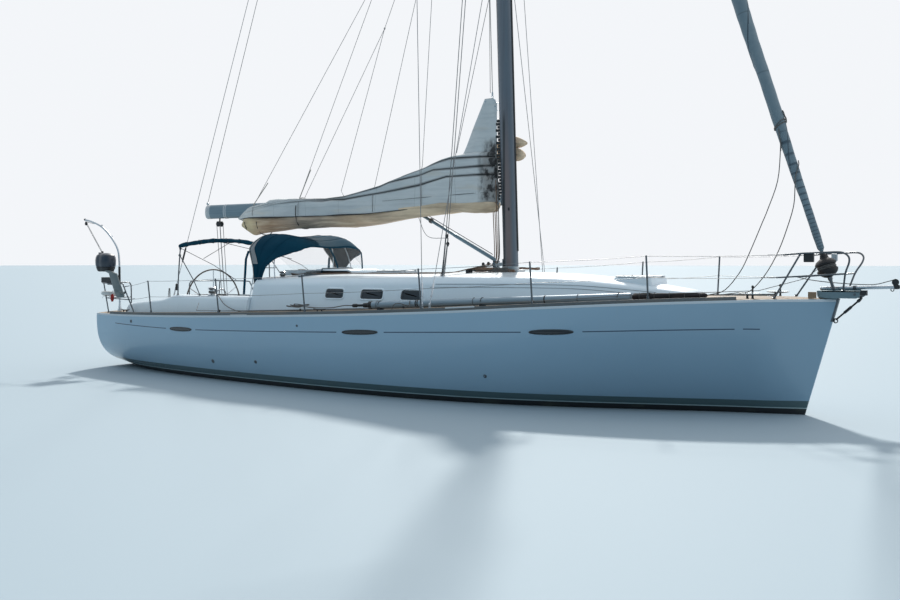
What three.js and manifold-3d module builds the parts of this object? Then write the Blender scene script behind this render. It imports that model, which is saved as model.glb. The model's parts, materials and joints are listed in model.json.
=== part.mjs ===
// Sloop-rigged sailing yacht with furled sails, lying afloat.
// Millimetres. X forward, Y to port, Z up. Origin amidships on the centreline, on the waterline.
import * as THREE from "three";
import { mergeVertices } from "three/addons/utils/BufferGeometryUtils.js";
import Module from "manifold-3d";

const wasm = await Module();
wasm.setup();

// Driving dimensions
const GAP = 0.3;
const STERN_X = -7250;
const STEM_HEAD_X = 7250;
const STEM_FOOT_X = 6790;
const STEM_FOOT_Z = -50;
const STEM_HALF = 15;
const DECK_THICK = 40;
const DECK_CROWN = 80;
const HULL_WALL = 60;
const SOLE_Z = -330;
const FORE_SOLE_Z = 350;
const ROOF_WALL = 45;
const ROOF_AFT_X = -3000;
const ROOF_FORE_X = 5230;
const MAST_X = 1880;
const MAST_FOOT_Z = 2040;
const MAST_TOP_Z = 21000;
const MAST_RAKE = THREE.MathUtils.degToRad(1.9);
const MAST_CHORD = 280;
const MAST_WIDTH = 160;
const HOUNDS_Z = 19350;
const GOOSENECK_X = 1620;
const BOOM_Z = 3210;
const BOOM_DEPTH = 290;
const BOOM_WIDTH = 150;
const BOOM_END_X = -5620;
const WHEEL_X = -5450;
const WHEEL_Z = 1270;
const WHEEL_RADIUS = 740;
const RUDDER_X = -6150;
const PROP_X = -2480;
const PROP_Z = -990;
const RAIL_HEIGHT = 606;
const RAIL_LEAN = 137;
const TUBE_RADIUS = 13;
const WIRE_RADIUS = 5;

// Hull stations: x, half beam at the deck, height of the sheer, depth of the canoe body, fullness
const STATIONS = [
  { x: STERN_X, beam: 1560, sheer: 1120, keel: 20, full: 3.0 },
  { x: -6000, beam: 1780, sheer: 1130, keel: -170, full: 2.9 },
  { x: -4000, beam: 2000, sheer: 1180, keel: -420, full: 2.8 },
  { x: -2000, beam: 2140, sheer: 1250, keel: -580, full: 2.75 },
  { x: 0, beam: 2200, sheer: 1330, keel: -660, full: 2.7 },
  { x: 2000, beam: 2130, sheer: 1430, keel: -640, full: 2.4 },
  { x: 3500, beam: 1900, sheer: 1520, keel: -550, full: 2.0 },
  { x: 5000, beam: 1400, sheer: 1600, keel: -380, full: 1.65 },
  { x: 6200, beam: 780, sheer: 1645, keel: -170, full: 1.5 },
];

// Coachroof stations: x, half width at the deck, half width and height of the roof edge, crown height
const ROOF_STATIONS = [
  { x: ROOF_AFT_X, foot: 1400, edge: 1220, edgeZ: 1790, crown: 1920 },
  { x: -1600, foot: 1430, edge: 1250, edgeZ: 1800, crown: 1960 },
  { x: 0, foot: 1410, edge: 1230, edgeZ: 1820, crown: 1970 },
  { x: 1700, foot: 1270, edge: 1080, edgeZ: 1850, crown: 2000 },
  { x: 2900, foot: 1050, edge: 850, edgeZ: 1860, crown: 1985 },
  { x: 3600, foot: 860, edge: 670, edgeZ: 1850, crown: 1945 },
  { x: 4400, foot: 620, edge: 440, edgeZ: 1790, crown: 1860 },
  { x: ROOF_FORE_X, foot: 400, edge: 250, edgeZ: 1715, crown: 1740 },
];

// Materials
function paint(colour, roughness, metalness) {
  return new THREE.MeshStandardMaterial({ color: colour, roughness, metalness });
}
const GELCOAT = paint(0xe4e8ea, 0.3, 0);
const ROOF_WHITE = paint(0xdedfdc, 0.4, 0);
const TEAK = paint(0x8a6b4c, 0.75, 0);
const TEAK_DARK = paint(0x4a3526, 0.7, 0);
const IRON = paint(0x20262b, 0.6, 0.1);
const BRONZE = paint(0x9a7440, 0.35, 0.9);
const SPAR = paint(0x8b98a3, 0.4, 0.7);
const STEEL = paint(0xb9bec2, 0.25, 1);
const WIRE = paint(0x8f9498, 0.35, 0.9);
const SAILCLOTH = paint(0xd9d6cc, 0.8, 0);
const GENOA_STRIP = paint(0x8397a6, 0.8, 0);
const NAVY = paint(0x123a5c, 0.85, 0);
const BLACK = paint(0x17191b, 0.5, 0.1);
const LEATHER = paint(0x9a6d47, 0.6, 0);
const TINTED = paint(0x11161b, 0.1, 0);
const ENGINE_GREY = paint(0x6c7277, 0.6, 0.4);
const POLE_PALE = paint(0xb9c3c9, 0.4, 0.3);
const BAG_BROWN = paint(0x3a2620, 0.85, 0);

// From a closed geometry to a solid and back
function solidOf(geometry) {
  const bare = geometry.clone();
  bare.deleteAttribute("normal");
  bare.deleteAttribute("uv");
  const merged = mergeVertices(bare, 0.01);
  return new wasm.Manifold(new wasm.Mesh({
    numProp: 3,
    vertProperties: new Float32Array(merged.attributes.position.array),
    triVerts: new Uint32Array(merged.index.array),
  }));
}
function geometryOf(solid) {
  const mesh = solid.getMesh();
  const geometry = new THREE.BufferGeometry();
  geometry.setAttribute("position", new THREE.BufferAttribute(new Float32Array(mesh.vertProperties), 3));
  geometry.setIndex(new THREE.BufferAttribute(new Uint32Array(mesh.triVerts), 1));
  geometry.computeVertexNormals();
  return geometry;
}

const yacht = new THREE.Group();
function addPiece(name, solid, material) {
  const mesh = new THREE.Mesh(geometryOf(solid), material);
  mesh.name = name;
  yacht.add(mesh);
}
function join(solids) {
  return solids.reduce((sum, solid) => sum.add(solid));
}
function cut(solid, tools) {
  return tools.reduce((rest, tool) => rest.subtract(tool), solid);
}

// Basic shapes
function block(x0, x1, y0, y1, z0, z1) {
  const geometry = new THREE.BoxGeometry(x1 - x0, y1 - y0, z1 - z0);
  return solidOf(geometry.translate((x0 + x1) / 2, (y0 + y1) / 2, (z0 + z1) / 2));
}
// A pair of blocks, to port and to starboard
function bothSides(x0, x1, yInner, yOuter, z0, z1) {
  return [block(x0, x1, yInner, yOuter, z0, z1), block(x0, x1, -yOuter, -yInner, z0, z1)];
}
function flatShape(points) {
  return new THREE.Shape(points.map(([a, b]) => new THREE.Vector2(a, b)));
}
// Outline in plan, raised from z0 to z1
function plate(points, z0, z1) {
  const geometry = new THREE.ExtrudeGeometry(flatShape(points), { depth: z1 - z0, bevelEnabled: false });
  return solidOf(geometry.translate(0, 0, z0));
}
// Outline seen from the side, running across the boat from y0 to y1
function sideProfile(points, y0, y1) {
  const geometry = new THREE.ExtrudeGeometry(flatShape(points), { depth: y1 - y0, bevelEnabled: false });
  geometry.rotateX(Math.PI / 2);
  return solidOf(geometry.translate(0, y1, 0));
}
// Straight round bar between two points
function rod(from, to, radius, sides = 8, endRadius = radius) {
  const a = new THREE.Vector3(...from);
  const b = new THREE.Vector3(...to);
  const geometry = new THREE.CylinderGeometry(endRadius, radius, a.distanceTo(b), sides);
  const turn = new THREE.Quaternion().setFromUnitVectors(
    new THREE.Vector3(0, 1, 0), b.clone().sub(a).normalize());
  geometry.applyQuaternion(turn);
  const middle = a.add(b).multiplyScalar(0.5);
  return solidOf(geometry.translate(middle.x, middle.y, middle.z));
}
// Round tube bent smoothly through the points
function bentTube(points, radius, steps, sides = 8) {
  const path = new THREE.CatmullRomCurve3(points.map((p) => new THREE.Vector3(...p)), false, "centripetal");
  const ring = [];
  for (let i = 0; i < sides; i += 1) {
    const angle = (i * 2 * Math.PI) / sides;
    ring.push([radius * Math.cos(angle), radius * Math.sin(angle)]);
  }
  return solidOf(new THREE.ExtrudeGeometry(flatShape(ring), { steps, extrudePath: path }));
}
// Straight bars end to end
function barChain(points, radius, sides = 8) {
  const solids = [];
  for (let i = 1; i < points.length; i += 1) {
    solids.push(rod(points[i - 1], points[i], radius, sides));
  }
  return join(solids);
}
// Turned shape: profile of [radius, height] along +Z, starting and ending on the axis
function turned(profile, centre, sides = 20) {
  const geometry = new THREE.LatheGeometry(profile.map(([r, h]) => new THREE.Vector2(r, h)), sides);
  geometry.rotateX(Math.PI / 2);
  return solidOf(geometry.translate(...centre));
}
// Solid through closed rings with equal point counts, its ends closed by flat fans
function loft(rings) {
  const count = rings[0].length;
  const positions = rings.flat(2);
  const faces = [];
  for (let i = 1; i < rings.length; i += 1) {
    for (let j = 0; j < count; j += 1) {
      const next = (j + 1) % count;
      const a = (i - 1) * count + j;
      const b = (i - 1) * count + next;
      const c = i * count + next;
      const d = i * count + j;
      faces.push([a, b, c], [a, c, d]);
    }
  }
  for (const end of [0, rings.length - 1]) {
    const centre = [0, 1, 2].map((k) => rings[end].reduce((sum, p) => sum + p[k], 0) / count);
    const middle = positions.length / 3;
    positions.push(...centre);
    for (let j = 0; j < count; j += 1) {
      const a = end * count + j;
      const b = end * count + ((j + 1) % count);
      faces.push(end === 0 ? [b, a, middle] : [a, b, middle]);
    }
  }
  const corner = (index) => new THREE.Vector3(...positions.slice(index * 3, index * 3 + 3));
  let volume = 0;
  for (const [a, b, c] of faces) {
    volume += corner(a).dot(corner(b).cross(corner(c)));
  }
  const outward = volume > 0 ? faces : faces.map(([a, b, c]) => [a, c, b]);
  const geometry = new THREE.BufferGeometry();
  geometry.setAttribute("position", new THREE.BufferAttribute(new Float32Array(positions), 3));
  geometry.setIndex(outward.flat());
  return solidOf(geometry);
}
// Ring from half a section, a list of [y, z] on the port side from the bottom up, mirrored to starboard
function mirrorRing(half, x) {
  const port = half.map(([y, z]) => [x, y, z]);
  const starboard = half.map(([y, z]) => [x, -y, z]).reverse().filter(([, y]) => y < 0);
  return [...port, ...starboard];
}
function mirrorY(point) {
  return [point[0], -point[1], point[2]];
}

// Smooth value of a station column at x, by a cubic through the neighbouring stations
function along(table, x, column) {
  const last = table.length - 2;
  let i = table.findIndex((row) => row.x > x) - 1;
  i = i < 0 ? last : Math.min(i, last);
  i = x <= table[0].x ? 0 : i;
  const slope = (k) => {
    const before = table[Math.max(k - 1, 0)];
    const after = table[Math.min(k + 1, table.length - 1)];
    return (after[column] - before[column]) / (after.x - before.x);
  };
  const a = table[i];
  const b = table[i + 1];
  const span = b.x - a.x;
  const t = (x - a.x) / span;
  const rest = 1 - t;
  return a[column] * (1 + 2 * t) * rest * rest + b[column] * (3 - 2 * t) * t * t
    + span * (slope(i) * t * rest * rest - slope(i + 1) * t * t * rest);
}

// Half beam of the hull at x and height z, from the superellipse of its section
function hullHalf(x, z) {
  const sheer = along(STATIONS, x, "sheer") - DECK_THICK;
  const keel = along(STATIONS, x, "keel");
  const full = along(STATIONS, x, "full");
  const down = (sheer - z) / (sheer - keel);
  return along(STATIONS, x, "beam") * (1 - down ** full) ** (1 / full);
}
const HULL_XS = [-7250, -6500, -5700, -4900, -4000, -3000, -2000, -1000, 0, 1000, 2000,
  2800, 3500, 4300, 5000, 5650, 6200];
const HULL_STEPS = 9;
function hullSection(x) {
  const half = [];
  const sheer = along(STATIONS, x, "sheer") - DECK_THICK;
  const keel = along(STATIONS, x, "keel");
  const power = 2 / along(STATIONS, x, "full");
  for (let i = 0; i <= HULL_STEPS; i += 1) {
    const angle = ((i / HULL_STEPS) * Math.PI) / 2;
    half.push([along(STATIONS, x, "beam") * Math.sin(angle) ** power,
      sheer - (sheer - keel) * Math.cos(angle) ** power]);
  }
  return mirrorRing(half, x);
}
const STEM_TOP_Z = 1655 - DECK_THICK;
function stemX(z) {
  return STEM_FOOT_X + ((z - STEM_FOOT_Z) * (STEM_HEAD_X - STEM_FOOT_X)) / (STEM_TOP_Z - STEM_FOOT_Z);
}
function stemSection() {
  const half = [];
  for (let i = 0; i <= HULL_STEPS; i += 1) {
    const z = STEM_TOP_Z - (STEM_TOP_Z - STEM_FOOT_Z) * Math.cos(((i / HULL_STEPS) * Math.PI) / 2);
    half.push([i === 0 ? 0 : STEM_HALF, z]);
  }
  return mirrorRing(half, 0).map(([, y, z]) => [stemX(z), y, z]);
}
const hullForm = loft([...HULL_XS.map(hullSection), stemSection()]);

// Deck slab with its crown, on top of the hull
const DECK_STEPS = 5;
function deckSection(x, beam, sheer, deep) {
  const under = sheer - DECK_THICK + GAP - deep;
  const half = [[0, under], [beam, under]];
  for (let i = 0; i <= DECK_STEPS; i += 1) {
    const part = 1 - i / DECK_STEPS;
    half.push([beam * part, sheer + (DECK_CROWN * beam * (1 - part * part)) / 2200]);
  }
  return mirrorRing(half, x);
}
function deckLoft(deep) {
  return loft([
    ...HULL_XS.map((x) => deckSection(x, along(STATIONS, x, "beam"), along(STATIONS, x, "sheer"), deep)),
    deckSection(STEM_HEAD_X, STEM_HALF, STEM_TOP_Z + DECK_THICK, deep),
  ]);
}
const deckForm = deckLoft(0);
// The same form raised by a gap and carried down through the hull, to seat what stands on the deck
const deckRaised = deckLoft(500).translate([0, 0, GAP]);

// Coachroof outer form, and the same form drawn in by a wall thickness
function roofSection({ x, foot, edge, edgeZ, crown }, wall) {
  const footZ = along(STATIONS, x, "sheer") - 150;
  const half = [
    [0, footZ], [foot - wall, footZ], [edge - wall, edgeZ - wall],
    [edge - wall - 70, edgeZ - wall + (crown - edgeZ) * 0.42],
    [(edge - wall) * 0.5, crown - wall - (crown - edgeZ) * 0.16], [0, crown - wall],
  ];
  return mirrorRing(half, x);
}
function roofLoft(wall) {
  const rings = ROOF_STATIONS.map((row) => roofSection(row, wall));
  rings[0] = rings[0].map(([x, y, z]) => [x + wall, y, z]);
  rings[rings.length - 1] = rings[rings.length - 1].map(([x, y, z]) => [x - wall * 2, y, z]);
  return loft(rings);
}
const roofOuter = roofLoft(0);
const roofInner = roofLoft(ROOF_WALL);
const roofRaised = roofOuter.translate([0, 0, GAP]);

// Cabin space inside the hull: saloon and raised fore cabin, open at the top
function cabinLoft(xs, sole) {
  return loft(xs.map((x) => {
    const top = along(STATIONS, x, "sheer") + 20;
    const heights = [sole, sole + 180, sole + 450, sole + 800, top - 70];
    const half = heights.map((z) => [hullHalf(x, z) - HULL_WALL, z]);
    half.push([hullHalf(x, top - 70) - HULL_WALL, top]);
    return mirrorRing([[0, sole], ...half, [0, top]], x);
  }));
}
const cabinSpace = cabinLoft([-2850, -2000, -1000, 0, 1000, 2000, 2800, 3500], SOLE_Z);
const foreSpace = cabinLoft([3440, 4300, 5000, 5300], FORE_SOLE_Z);

// Anchor locker well and its lid opening in the foredeck
const LOCKER = { aft: 5600, fore: 6350, aftHalf: 300, foreHalf: 210, floor: 1050 };
function lockerOutline(inset) {
  const { aft, fore, aftHalf, foreHalf } = LOCKER;
  return [[aft + inset, -(aftHalf - inset)], [fore - inset, -(foreHalf - inset)],
    [fore - inset, foreHalf - inset], [aft + inset, aftHalf - inset]];
}
const LOCKER_LEDGE_Z = 1640;
const lockerMouth = plate(lockerOutline(0), LOCKER_LEDGE_Z, 1900);
const lockerWell = plate(lockerOutline(40), LOCKER.floor, LOCKER_LEDGE_Z + 1);

// Cockpit tub between the coachroof and the aft deck
const TUB = { fore: -3010, aft: -6650, half: 1120, bottom: 390, coamTop: 1520, sole: 450 };
const SEAT_Z = 1080;
const HELM_FORE_X = -4950;
const HELM_AFT_X = -6150;
const tubPocket = block(TUB.aft - GAP, TUB.fore + GAP, -TUB.half - GAP, TUB.half + GAP,
  TUB.bottom - GAP, 1900);

// Hull
const STOCK_RADIUS = 35;
const stockBore = rod([RUDDER_X, 0, -700], [RUDDER_X, 0, 290], STOCK_RADIUS + 1, 16);
addPiece("hull", cut(hullForm, [cabinSpace, foreSpace, lockerWell, tubPocket, stockBore]), GELCOAT);

// Deck with the openings for the cabin, cockpit and anchor locker
addPiece("deck", cut(deckForm, [roofInner, tubPocket, lockerMouth, lockerWell]), TEAK);

// Anchor locker lid, lying on the hull rim inside the deck's opening
const lidBlank = plate(lockerOutline(6), LOCKER_LEDGE_Z + GAP, 1900);
addPiece("anchor_locker_lid", deckForm.intersect(lidBlank), TEAK);

// Coachroof: windows, hatch openings and the companionway
const WINDOWS = [{ from: -1140, to: -700 }, { from: -340, to: 160 }, { from: 500, to: 940 }];
const WINDOW_LOW_Z = 1540;
const WINDOW_HIGH_Z = 1700;
const WINDOW_RAKE = 60;
function windowPrism({ from, to }, side, inset) {
  const outline = [[from + inset, WINDOW_LOW_Z + inset], [to - inset, WINDOW_LOW_Z + inset],
    [to - inset - WINDOW_RAKE / 2, WINDOW_HIGH_Z - inset],
    [from + inset + WINDOW_RAKE / 2, WINDOW_HIGH_Z - inset]];
  return side > 0 ? sideProfile(outline, 1000, 1600) : sideProfile(outline, -1600, -1000);
}
// Flat-topped hatch rims on the roof: middle of the opening, half length, rim top
const HATCHES = [
  { name: "saloon_hatch", x: -550, half: 260, top: 1990 },
  { name: "fore_hatch", x: 4250, half: 270, top: 1925 },
];
const HATCH_RIM = 45;
const COMPANION = { aft: -3100, fore: -2250, half: 330, sill: 1290, top: 1960 };
const HATCH_GUIDE = { aft: -2990, fore: -1330, half: 395, width: 40, top: 2015 };
const SLIDE_LOW_Z = 1975;
const SLIDE_HIGH_Z = 2000;
const GARAGE_TOP_Z = 2035;
const rims = HATCHES.map(({ x, half, top }) => block(x - half - HATCH_RIM, x + half + HATCH_RIM,
  -half - HATCH_RIM, half + HATCH_RIM, top - 220, top).subtract(roofInner));
const hatchHoles = HATCHES.map(({ x, half, top }) => block(x - half, x + half, -half, half,
  top - 400, top + 9));
const GUIDE_OUTER = HATCH_GUIDE.half + HATCH_GUIDE.width;
const guides = join([
  ...bothSides(HATCH_GUIDE.aft, HATCH_GUIDE.fore, HATCH_GUIDE.half, GUIDE_OUTER, 1860, HATCH_GUIDE.top),
  ...bothSides(HATCH_GUIDE.aft, HATCH_GUIDE.fore, COMPANION.half + 10, HATCH_GUIDE.half + 5, 1860,
    SLIDE_LOW_Z - GAP),
  block(COMPANION.fore + 85, HATCH_GUIDE.fore, -GUIDE_OUTER, GUIDE_OUTER, SLIDE_HIGH_Z + 8, GARAGE_TOP_Z),
  block(HATCH_GUIDE.fore - 15, HATCH_GUIDE.fore, -GUIDE_OUTER, GUIDE_OUTER, 1900, GARAGE_TOP_Z),
]).subtract(roofInner);
const windowCuts = WINDOWS.flatMap((row) => [windowPrism(row, 1, 0), windowPrism(row, -1, 0)]);
const roofShell = cut(join([roofOuter.subtract(roofInner), ...rims, guides]), [
  ...hatchHoles, ...windowCuts, deckRaised,
  block(COMPANION.aft, COMPANION.fore, -COMPANION.half, COMPANION.half,
    COMPANION.top - 200, COMPANION.top + 14),
  block(COMPANION.aft, ROOF_AFT_X + 200, -COMPANION.half, COMPANION.half,
    COMPANION.sill, COMPANION.top),
]);
addPiece("coachroof", roofShell, ROOF_WHITE);

// Window panes set in the roof's sides
const PANE_THICK = 12;
const paneBand = roofOuter.subtract(roofLoft(PANE_THICK));
WINDOWS.forEach((row, index) => {
  addPiece(`window_port_${index + 1}`, paneBand.intersect(windowPrism(row, 1, GAP)), TINTED);
  addPiece(`window_starboard_${index + 1}`, paneBand.intersect(windowPrism(row, -1, GAP)), TINTED);
});

// Lifting hatch lids, hinged at their forward edge
for (const { name, x, half, top } of HATCHES) {
  const reach = half + HATCH_RIM - 5;
  addPiece(name, block(x - reach, x + reach, -reach, reach, top + GAP, top + 30), TINTED);
}
// Sliding companionway hatch between its guides
const SLIDE_HALF = HATCH_GUIDE.half - 6;
const slideLid = block(-2985, COMPANION.fore + 80, -SLIDE_HALF, SLIDE_HALF, SLIDE_LOW_Z, SLIDE_HIGH_Z);
addPiece("companionway_hatch", slideLid, TINTED);

// Cockpit moulding: coamings, seats, well, helm space and locker bins
const COAMING = { inner: 960, outerFore: 1400, outerAft: 1330, aft: -6620, slopeFrom: -5150 };
const BIN = { aft: -4750, fore: -3250, inner: 520, outer: 860, bottom: 700 };
const LID_RIM = 25;
const LID_THICK = 25;
const coamingPlan = [[TUB.fore, -COAMING.outerFore], [TUB.fore, COAMING.outerFore],
  [COAMING.aft, COAMING.outerAft], [COAMING.aft, -COAMING.outerAft]];
const aboveSlope = sideProfile([[COAMING.slopeFrom, TUB.coamTop], [-5500, 1430], [COAMING.aft - 9, 1325],
  [COAMING.aft - 9, TUB.coamTop + 9], [COAMING.slopeFrom, TUB.coamTop + 9]], -1500, 1500);
const coamingBlock = cut(plate(coamingPlan, 1000, TUB.coamTop), [deckRaised.subtract(tubPocket), aboveSlope]);
const tubBlock = block(TUB.aft, TUB.fore, -TUB.half, TUB.half, TUB.bottom, SEAT_Z + 60);
const cockpit = cut(tubBlock.add(coamingBlock), [
  block(HELM_FORE_X, TUB.fore - 40, -430, 430, TUB.sole, 1700),
  block(HELM_FORE_X, TUB.fore + 9, -COAMING.inner, COAMING.inner, SEAT_Z, 1700),
  block(HELM_AFT_X, HELM_FORE_X + 1, -980, 980, TUB.sole, 1700),
  block(TUB.aft - 9, HELM_AFT_X + 1, -980, 980, SEAT_Z, 1700),
  block(TUB.aft + 40, HELM_AFT_X - 40, -900, 900, TUB.sole + 60, SEAT_Z - 40),
  block(HELM_AFT_X - 60, HELM_AFT_X + 10, -350, 350, TUB.sole + 60, SEAT_Z - 60),
  ...bothSides(BIN.aft, BIN.fore, BIN.inner, BIN.outer, BIN.bottom, SEAT_Z + 1),
  ...bothSides(BIN.aft - LID_RIM, BIN.fore + LID_RIM, BIN.inner - LID_RIM, BIN.outer + LID_RIM,
    SEAT_Z - LID_THICK, SEAT_Z + 1),
]);
addPiece("cockpit", cockpit, ROOF_WHITE);

const LID_CLEAR = 6;
for (const [side, name] of [[1, "locker_lid_port"], [-1, "locker_lid_starboard"]]) {
  const inner = side * (BIN.inner - LID_RIM + LID_CLEAR);
  const outer = side * (BIN.outer + LID_RIM - LID_CLEAR);
  addPiece(name, block(BIN.aft - LID_RIM + LID_CLEAR, BIN.fore + LID_RIM - LID_CLEAR,
    Math.min(inner, outer), Math.max(inner, outer), SEAT_Z - LID_THICK + GAP, SEAT_Z), TEAK);
}

// Keel: cast fin and bulb
function foilRing(leading, trailing, thick, z, steps = 7) {
  const half = [];
  for (let i = 0; i <= steps; i += 1) {
    const part = (1 - Math.cos((Math.PI * i) / steps)) / 2;
    const width = 2.6 * (Math.sqrt(part) - part) * (1 - 0.28 * part);
    half.push([leading + (trailing - leading) * part, (width * thick) / 2]);
  }
  const port = half.map(([x, y]) => [x, y, z]);
  return [...port, ...half.slice(1, -1).reverse().map(([x, y]) => [x, -y, z])];
}
const keelFin = loft([
  foilRing(1150, -650, 200, -400), foilRing(1020, -560, 190, -900), foilRing(780, -420, 165, -2000),
]);
const BULB = { x: 250, z: -2120, length: 2700, radius: 180 };
const bulbProfile = [];
for (let i = 0; i <= 12; i += 1) {
  const part = i / 12;
  const swell = i === 0 || i === 12 ? 0 : Math.sqrt(Math.sin(Math.PI * part ** 0.8));
  bulbProfile.push([BULB.radius * swell, BULB.length * (0.5 - part)]);
}
const bulbOutline = bulbProfile.reverse().map(([r, h]) => new THREE.Vector2(r, h));
const bulbGeometry = new THREE.LatheGeometry(bulbOutline, 14);
bulbGeometry.rotateZ(-Math.PI / 2);
const bulb = solidOf(bulbGeometry.scale(1, 1.25, 1).translate(BULB.x, 0, BULB.z));
const hullLowered = hullForm.translate([0, 0, -GAP]);
addPiece("keel", keelFin.add(bulb).subtract(hullLowered), IRON);

// Spade rudder on its stock
const rudderBlade = loft([
  foilRing(-5960, -6590, 92, -270), foilRing(-5970, -6500, 80, -1100), foilRing(-6030, -6400, 56, -1950),
]);
const rudderStock = rod([RUDDER_X, 0, -600], [RUDDER_X, 0, 280], STOCK_RADIUS, 16);
addPiece("rudder", rudderBlade.add(rudderStock), IRON);

// Sail drive leg and propeller
const LEG_X = -2180;
const driveLeg = join([
  loft([foilRing(LEG_X + 160, LEG_X - 190, 110, -400), foilRing(LEG_X + 150, LEG_X - 150, 96, PROP_Z)]),
  rod([LEG_X + 190, 0, PROP_Z], [LEG_X - 190, 0, PROP_Z], 62, 14),
  rod([LEG_X - 170, 0, PROP_Z], [PROP_X - 60, 0, PROP_Z], 13, 12),
]);
addPiece("saildrive", driveLeg.subtract(hullLowered), IRON);
const HUB_LENGTH = 140;
const PROP_RADIUS = 240;
const propHub = rod([LEG_X - 192, 0, PROP_Z], [LEG_X - 192 - HUB_LENGTH, 0, PROP_Z], 44, 16, 34);
const blades = [0, 1, 2].map((index) => {
  const outline = [[-14, 20], [-58, 120], [-50, 200], [-10, PROP_RADIUS], [34, 215], [52, 140], [14, 20]];
  const geometry = new THREE.ExtrudeGeometry(flatShape(outline), { depth: 12, bevelEnabled: false });
  geometry.translate(0, 0, -6);
  geometry.rotateY(THREE.MathUtils.degToRad(58));
  geometry.rotateX(Math.PI / 2 + (index * 2 * Math.PI) / 3);
  return solidOf(geometry.translate(LEG_X - 192 - HUB_LENGTH / 2, 0, PROP_Z));
});
const shaftBore = rod([LEG_X, 0, PROP_Z], [PROP_X - 50, 0, PROP_Z], 13.6, 12);
addPiece("propeller", cut(join([propHub, ...blades]), [shaftBore]), BRONZE);

// Engine, one block on the cabin sole under the companionway
addPiece("engine", block(-2750, -1950, -260, 260, SOLE_Z + GAP, 330), ENGINE_GREY);

// Toe rails along both deck edges
const RAIL_XS = [-6700, ...HULL_XS.filter((x) => x > -6700 && x < 6000), 6080];
for (const [side, name] of [[1, "toe_rail_port"], [-1, "toe_rail_starboard"]]) {
  const strip = loft(RAIL_XS.map((x) => {
    const outer = along(STATIONS, x, "beam") - 14;
    const low = along(STATIONS, x, "sheer") - 20;
    return [[outer, low], [outer, low + 66], [outer - 26, low + 66], [outer - 30, low]]
      .map(([y, z]) => [x, side * y, z]);
  }));
  addPiece(name, strip.subtract(deckRaised), TEAK_DARK);
}

// Mast, with its step, gooseneck lug and vang lug
function mastX(z) {
  return MAST_X - (z - 2070) * Math.tan(MAST_RAKE);
}
function sparRing(z, scale, chord = MAST_CHORD, width = MAST_WIDTH, sides = 16) {
  const ring = [];
  for (let i = 0; i < sides; i += 1) {
    const angle = (i * 2 * Math.PI) / sides;
    ring.push([mastX(z) + (scale * chord * Math.cos(angle)) / 2, (scale * width * Math.sin(angle)) / 2, z]);
  }
  return ring;
}
const mastTube = loft([sparRing(MAST_FOOT_Z - 30, 1), sparRing(15500, 1), sparRing(HOUNDS_Z, 0.86),
  sparRing(MAST_TOP_Z, 0.62)]);
const mastStep = plate([[1660, -130], [2100, -130], [2100, 130], [1660, 130]], 1960, MAST_FOOT_Z)
  .subtract(roofRaised);
const PIN_RADIUS = 10;
const pinBore = rod([GOOSENECK_X, 0, 2000], [GOOSENECK_X, 0, 3400], PIN_RADIUS + 0.5, 12);
const gooseneckLug = join([
  block(GOOSENECK_X, mastX(BOOM_Z), -15, 15, BOOM_Z - 35, BOOM_Z + 35),
  rod([GOOSENECK_X, 0, BOOM_Z - 35], [GOOSENECK_X, 0, BOOM_Z + 35], 30, 14),
]);
const VANG_LUG_Z = 2130;
const vangLug = join([
  block(GOOSENECK_X, mastX(VANG_LUG_Z), -15, 15, VANG_LUG_Z - 30, VANG_LUG_Z + 30),
  rod([GOOSENECK_X, 0, VANG_LUG_Z - 30], [GOOSENECK_X, 0, VANG_LUG_Z + 30], 30, 14),
]);
const CRANE = {
  aft: mastX(MAST_TOP_Z) - 330, fore: mastX(MAST_TOP_Z) + 190, half: 35,
  low: MAST_TOP_Z - 60, high: MAST_TOP_Z + 10,
};
const masthead = block(CRANE.aft, CRANE.fore, -CRANE.half, CRANE.half, CRANE.low, CRANE.high);
const mastLugs = gooseneckLug.add(vangLug).subtract(pinBore);
addPiece("mast", join([mastTube, mastStep, mastLugs, masthead]), SPAR);

// Spreaders: height, half span, sweep aft of the mast
const SPREADERS = [
  { name: "spreaders_lower", z: 8400, half: 1550, sweep: 620 },
  { name: "spreaders_upper", z: 14400, half: 1180, sweep: 470 },
];
function spreaderTip({ z, half, sweep }, side) {
  return [mastX(z) - sweep, side * half, z + 60];
}
for (const row of SPREADERS) {
  const arms = [1, -1].map((side) => {
    const tip = spreaderTip(row, side);
    const rootX = mastX(row.z) + 30;
    const root = [[rootX + 75, side * 40, row.z - 14], [rootX - 75, side * 40, row.z - 14],
      [rootX - 75, side * 40, row.z + 14], [rootX + 75, side * 40, row.z + 14]];
    const end = [[tip[0] + 40, tip[1], tip[2] - 10], [tip[0] - 40, tip[1], tip[2] - 10],
      [tip[0] - 40, tip[1], tip[2] + 10], [tip[0] + 40, tip[1], tip[2] + 10]];
    return loft([root, end]);
  });
  const collar = loft([sparRing(row.z - 45, 1.1), sparRing(row.z + 45, 1.1)]);
  const mastHole = loft([sparRing(row.z - 120, 1.006), sparRing(row.z + 120, 1.006)]);
  addPiece(row.name, join([collar, ...arms]).subtract(mastHole), SPAR);
}

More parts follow.
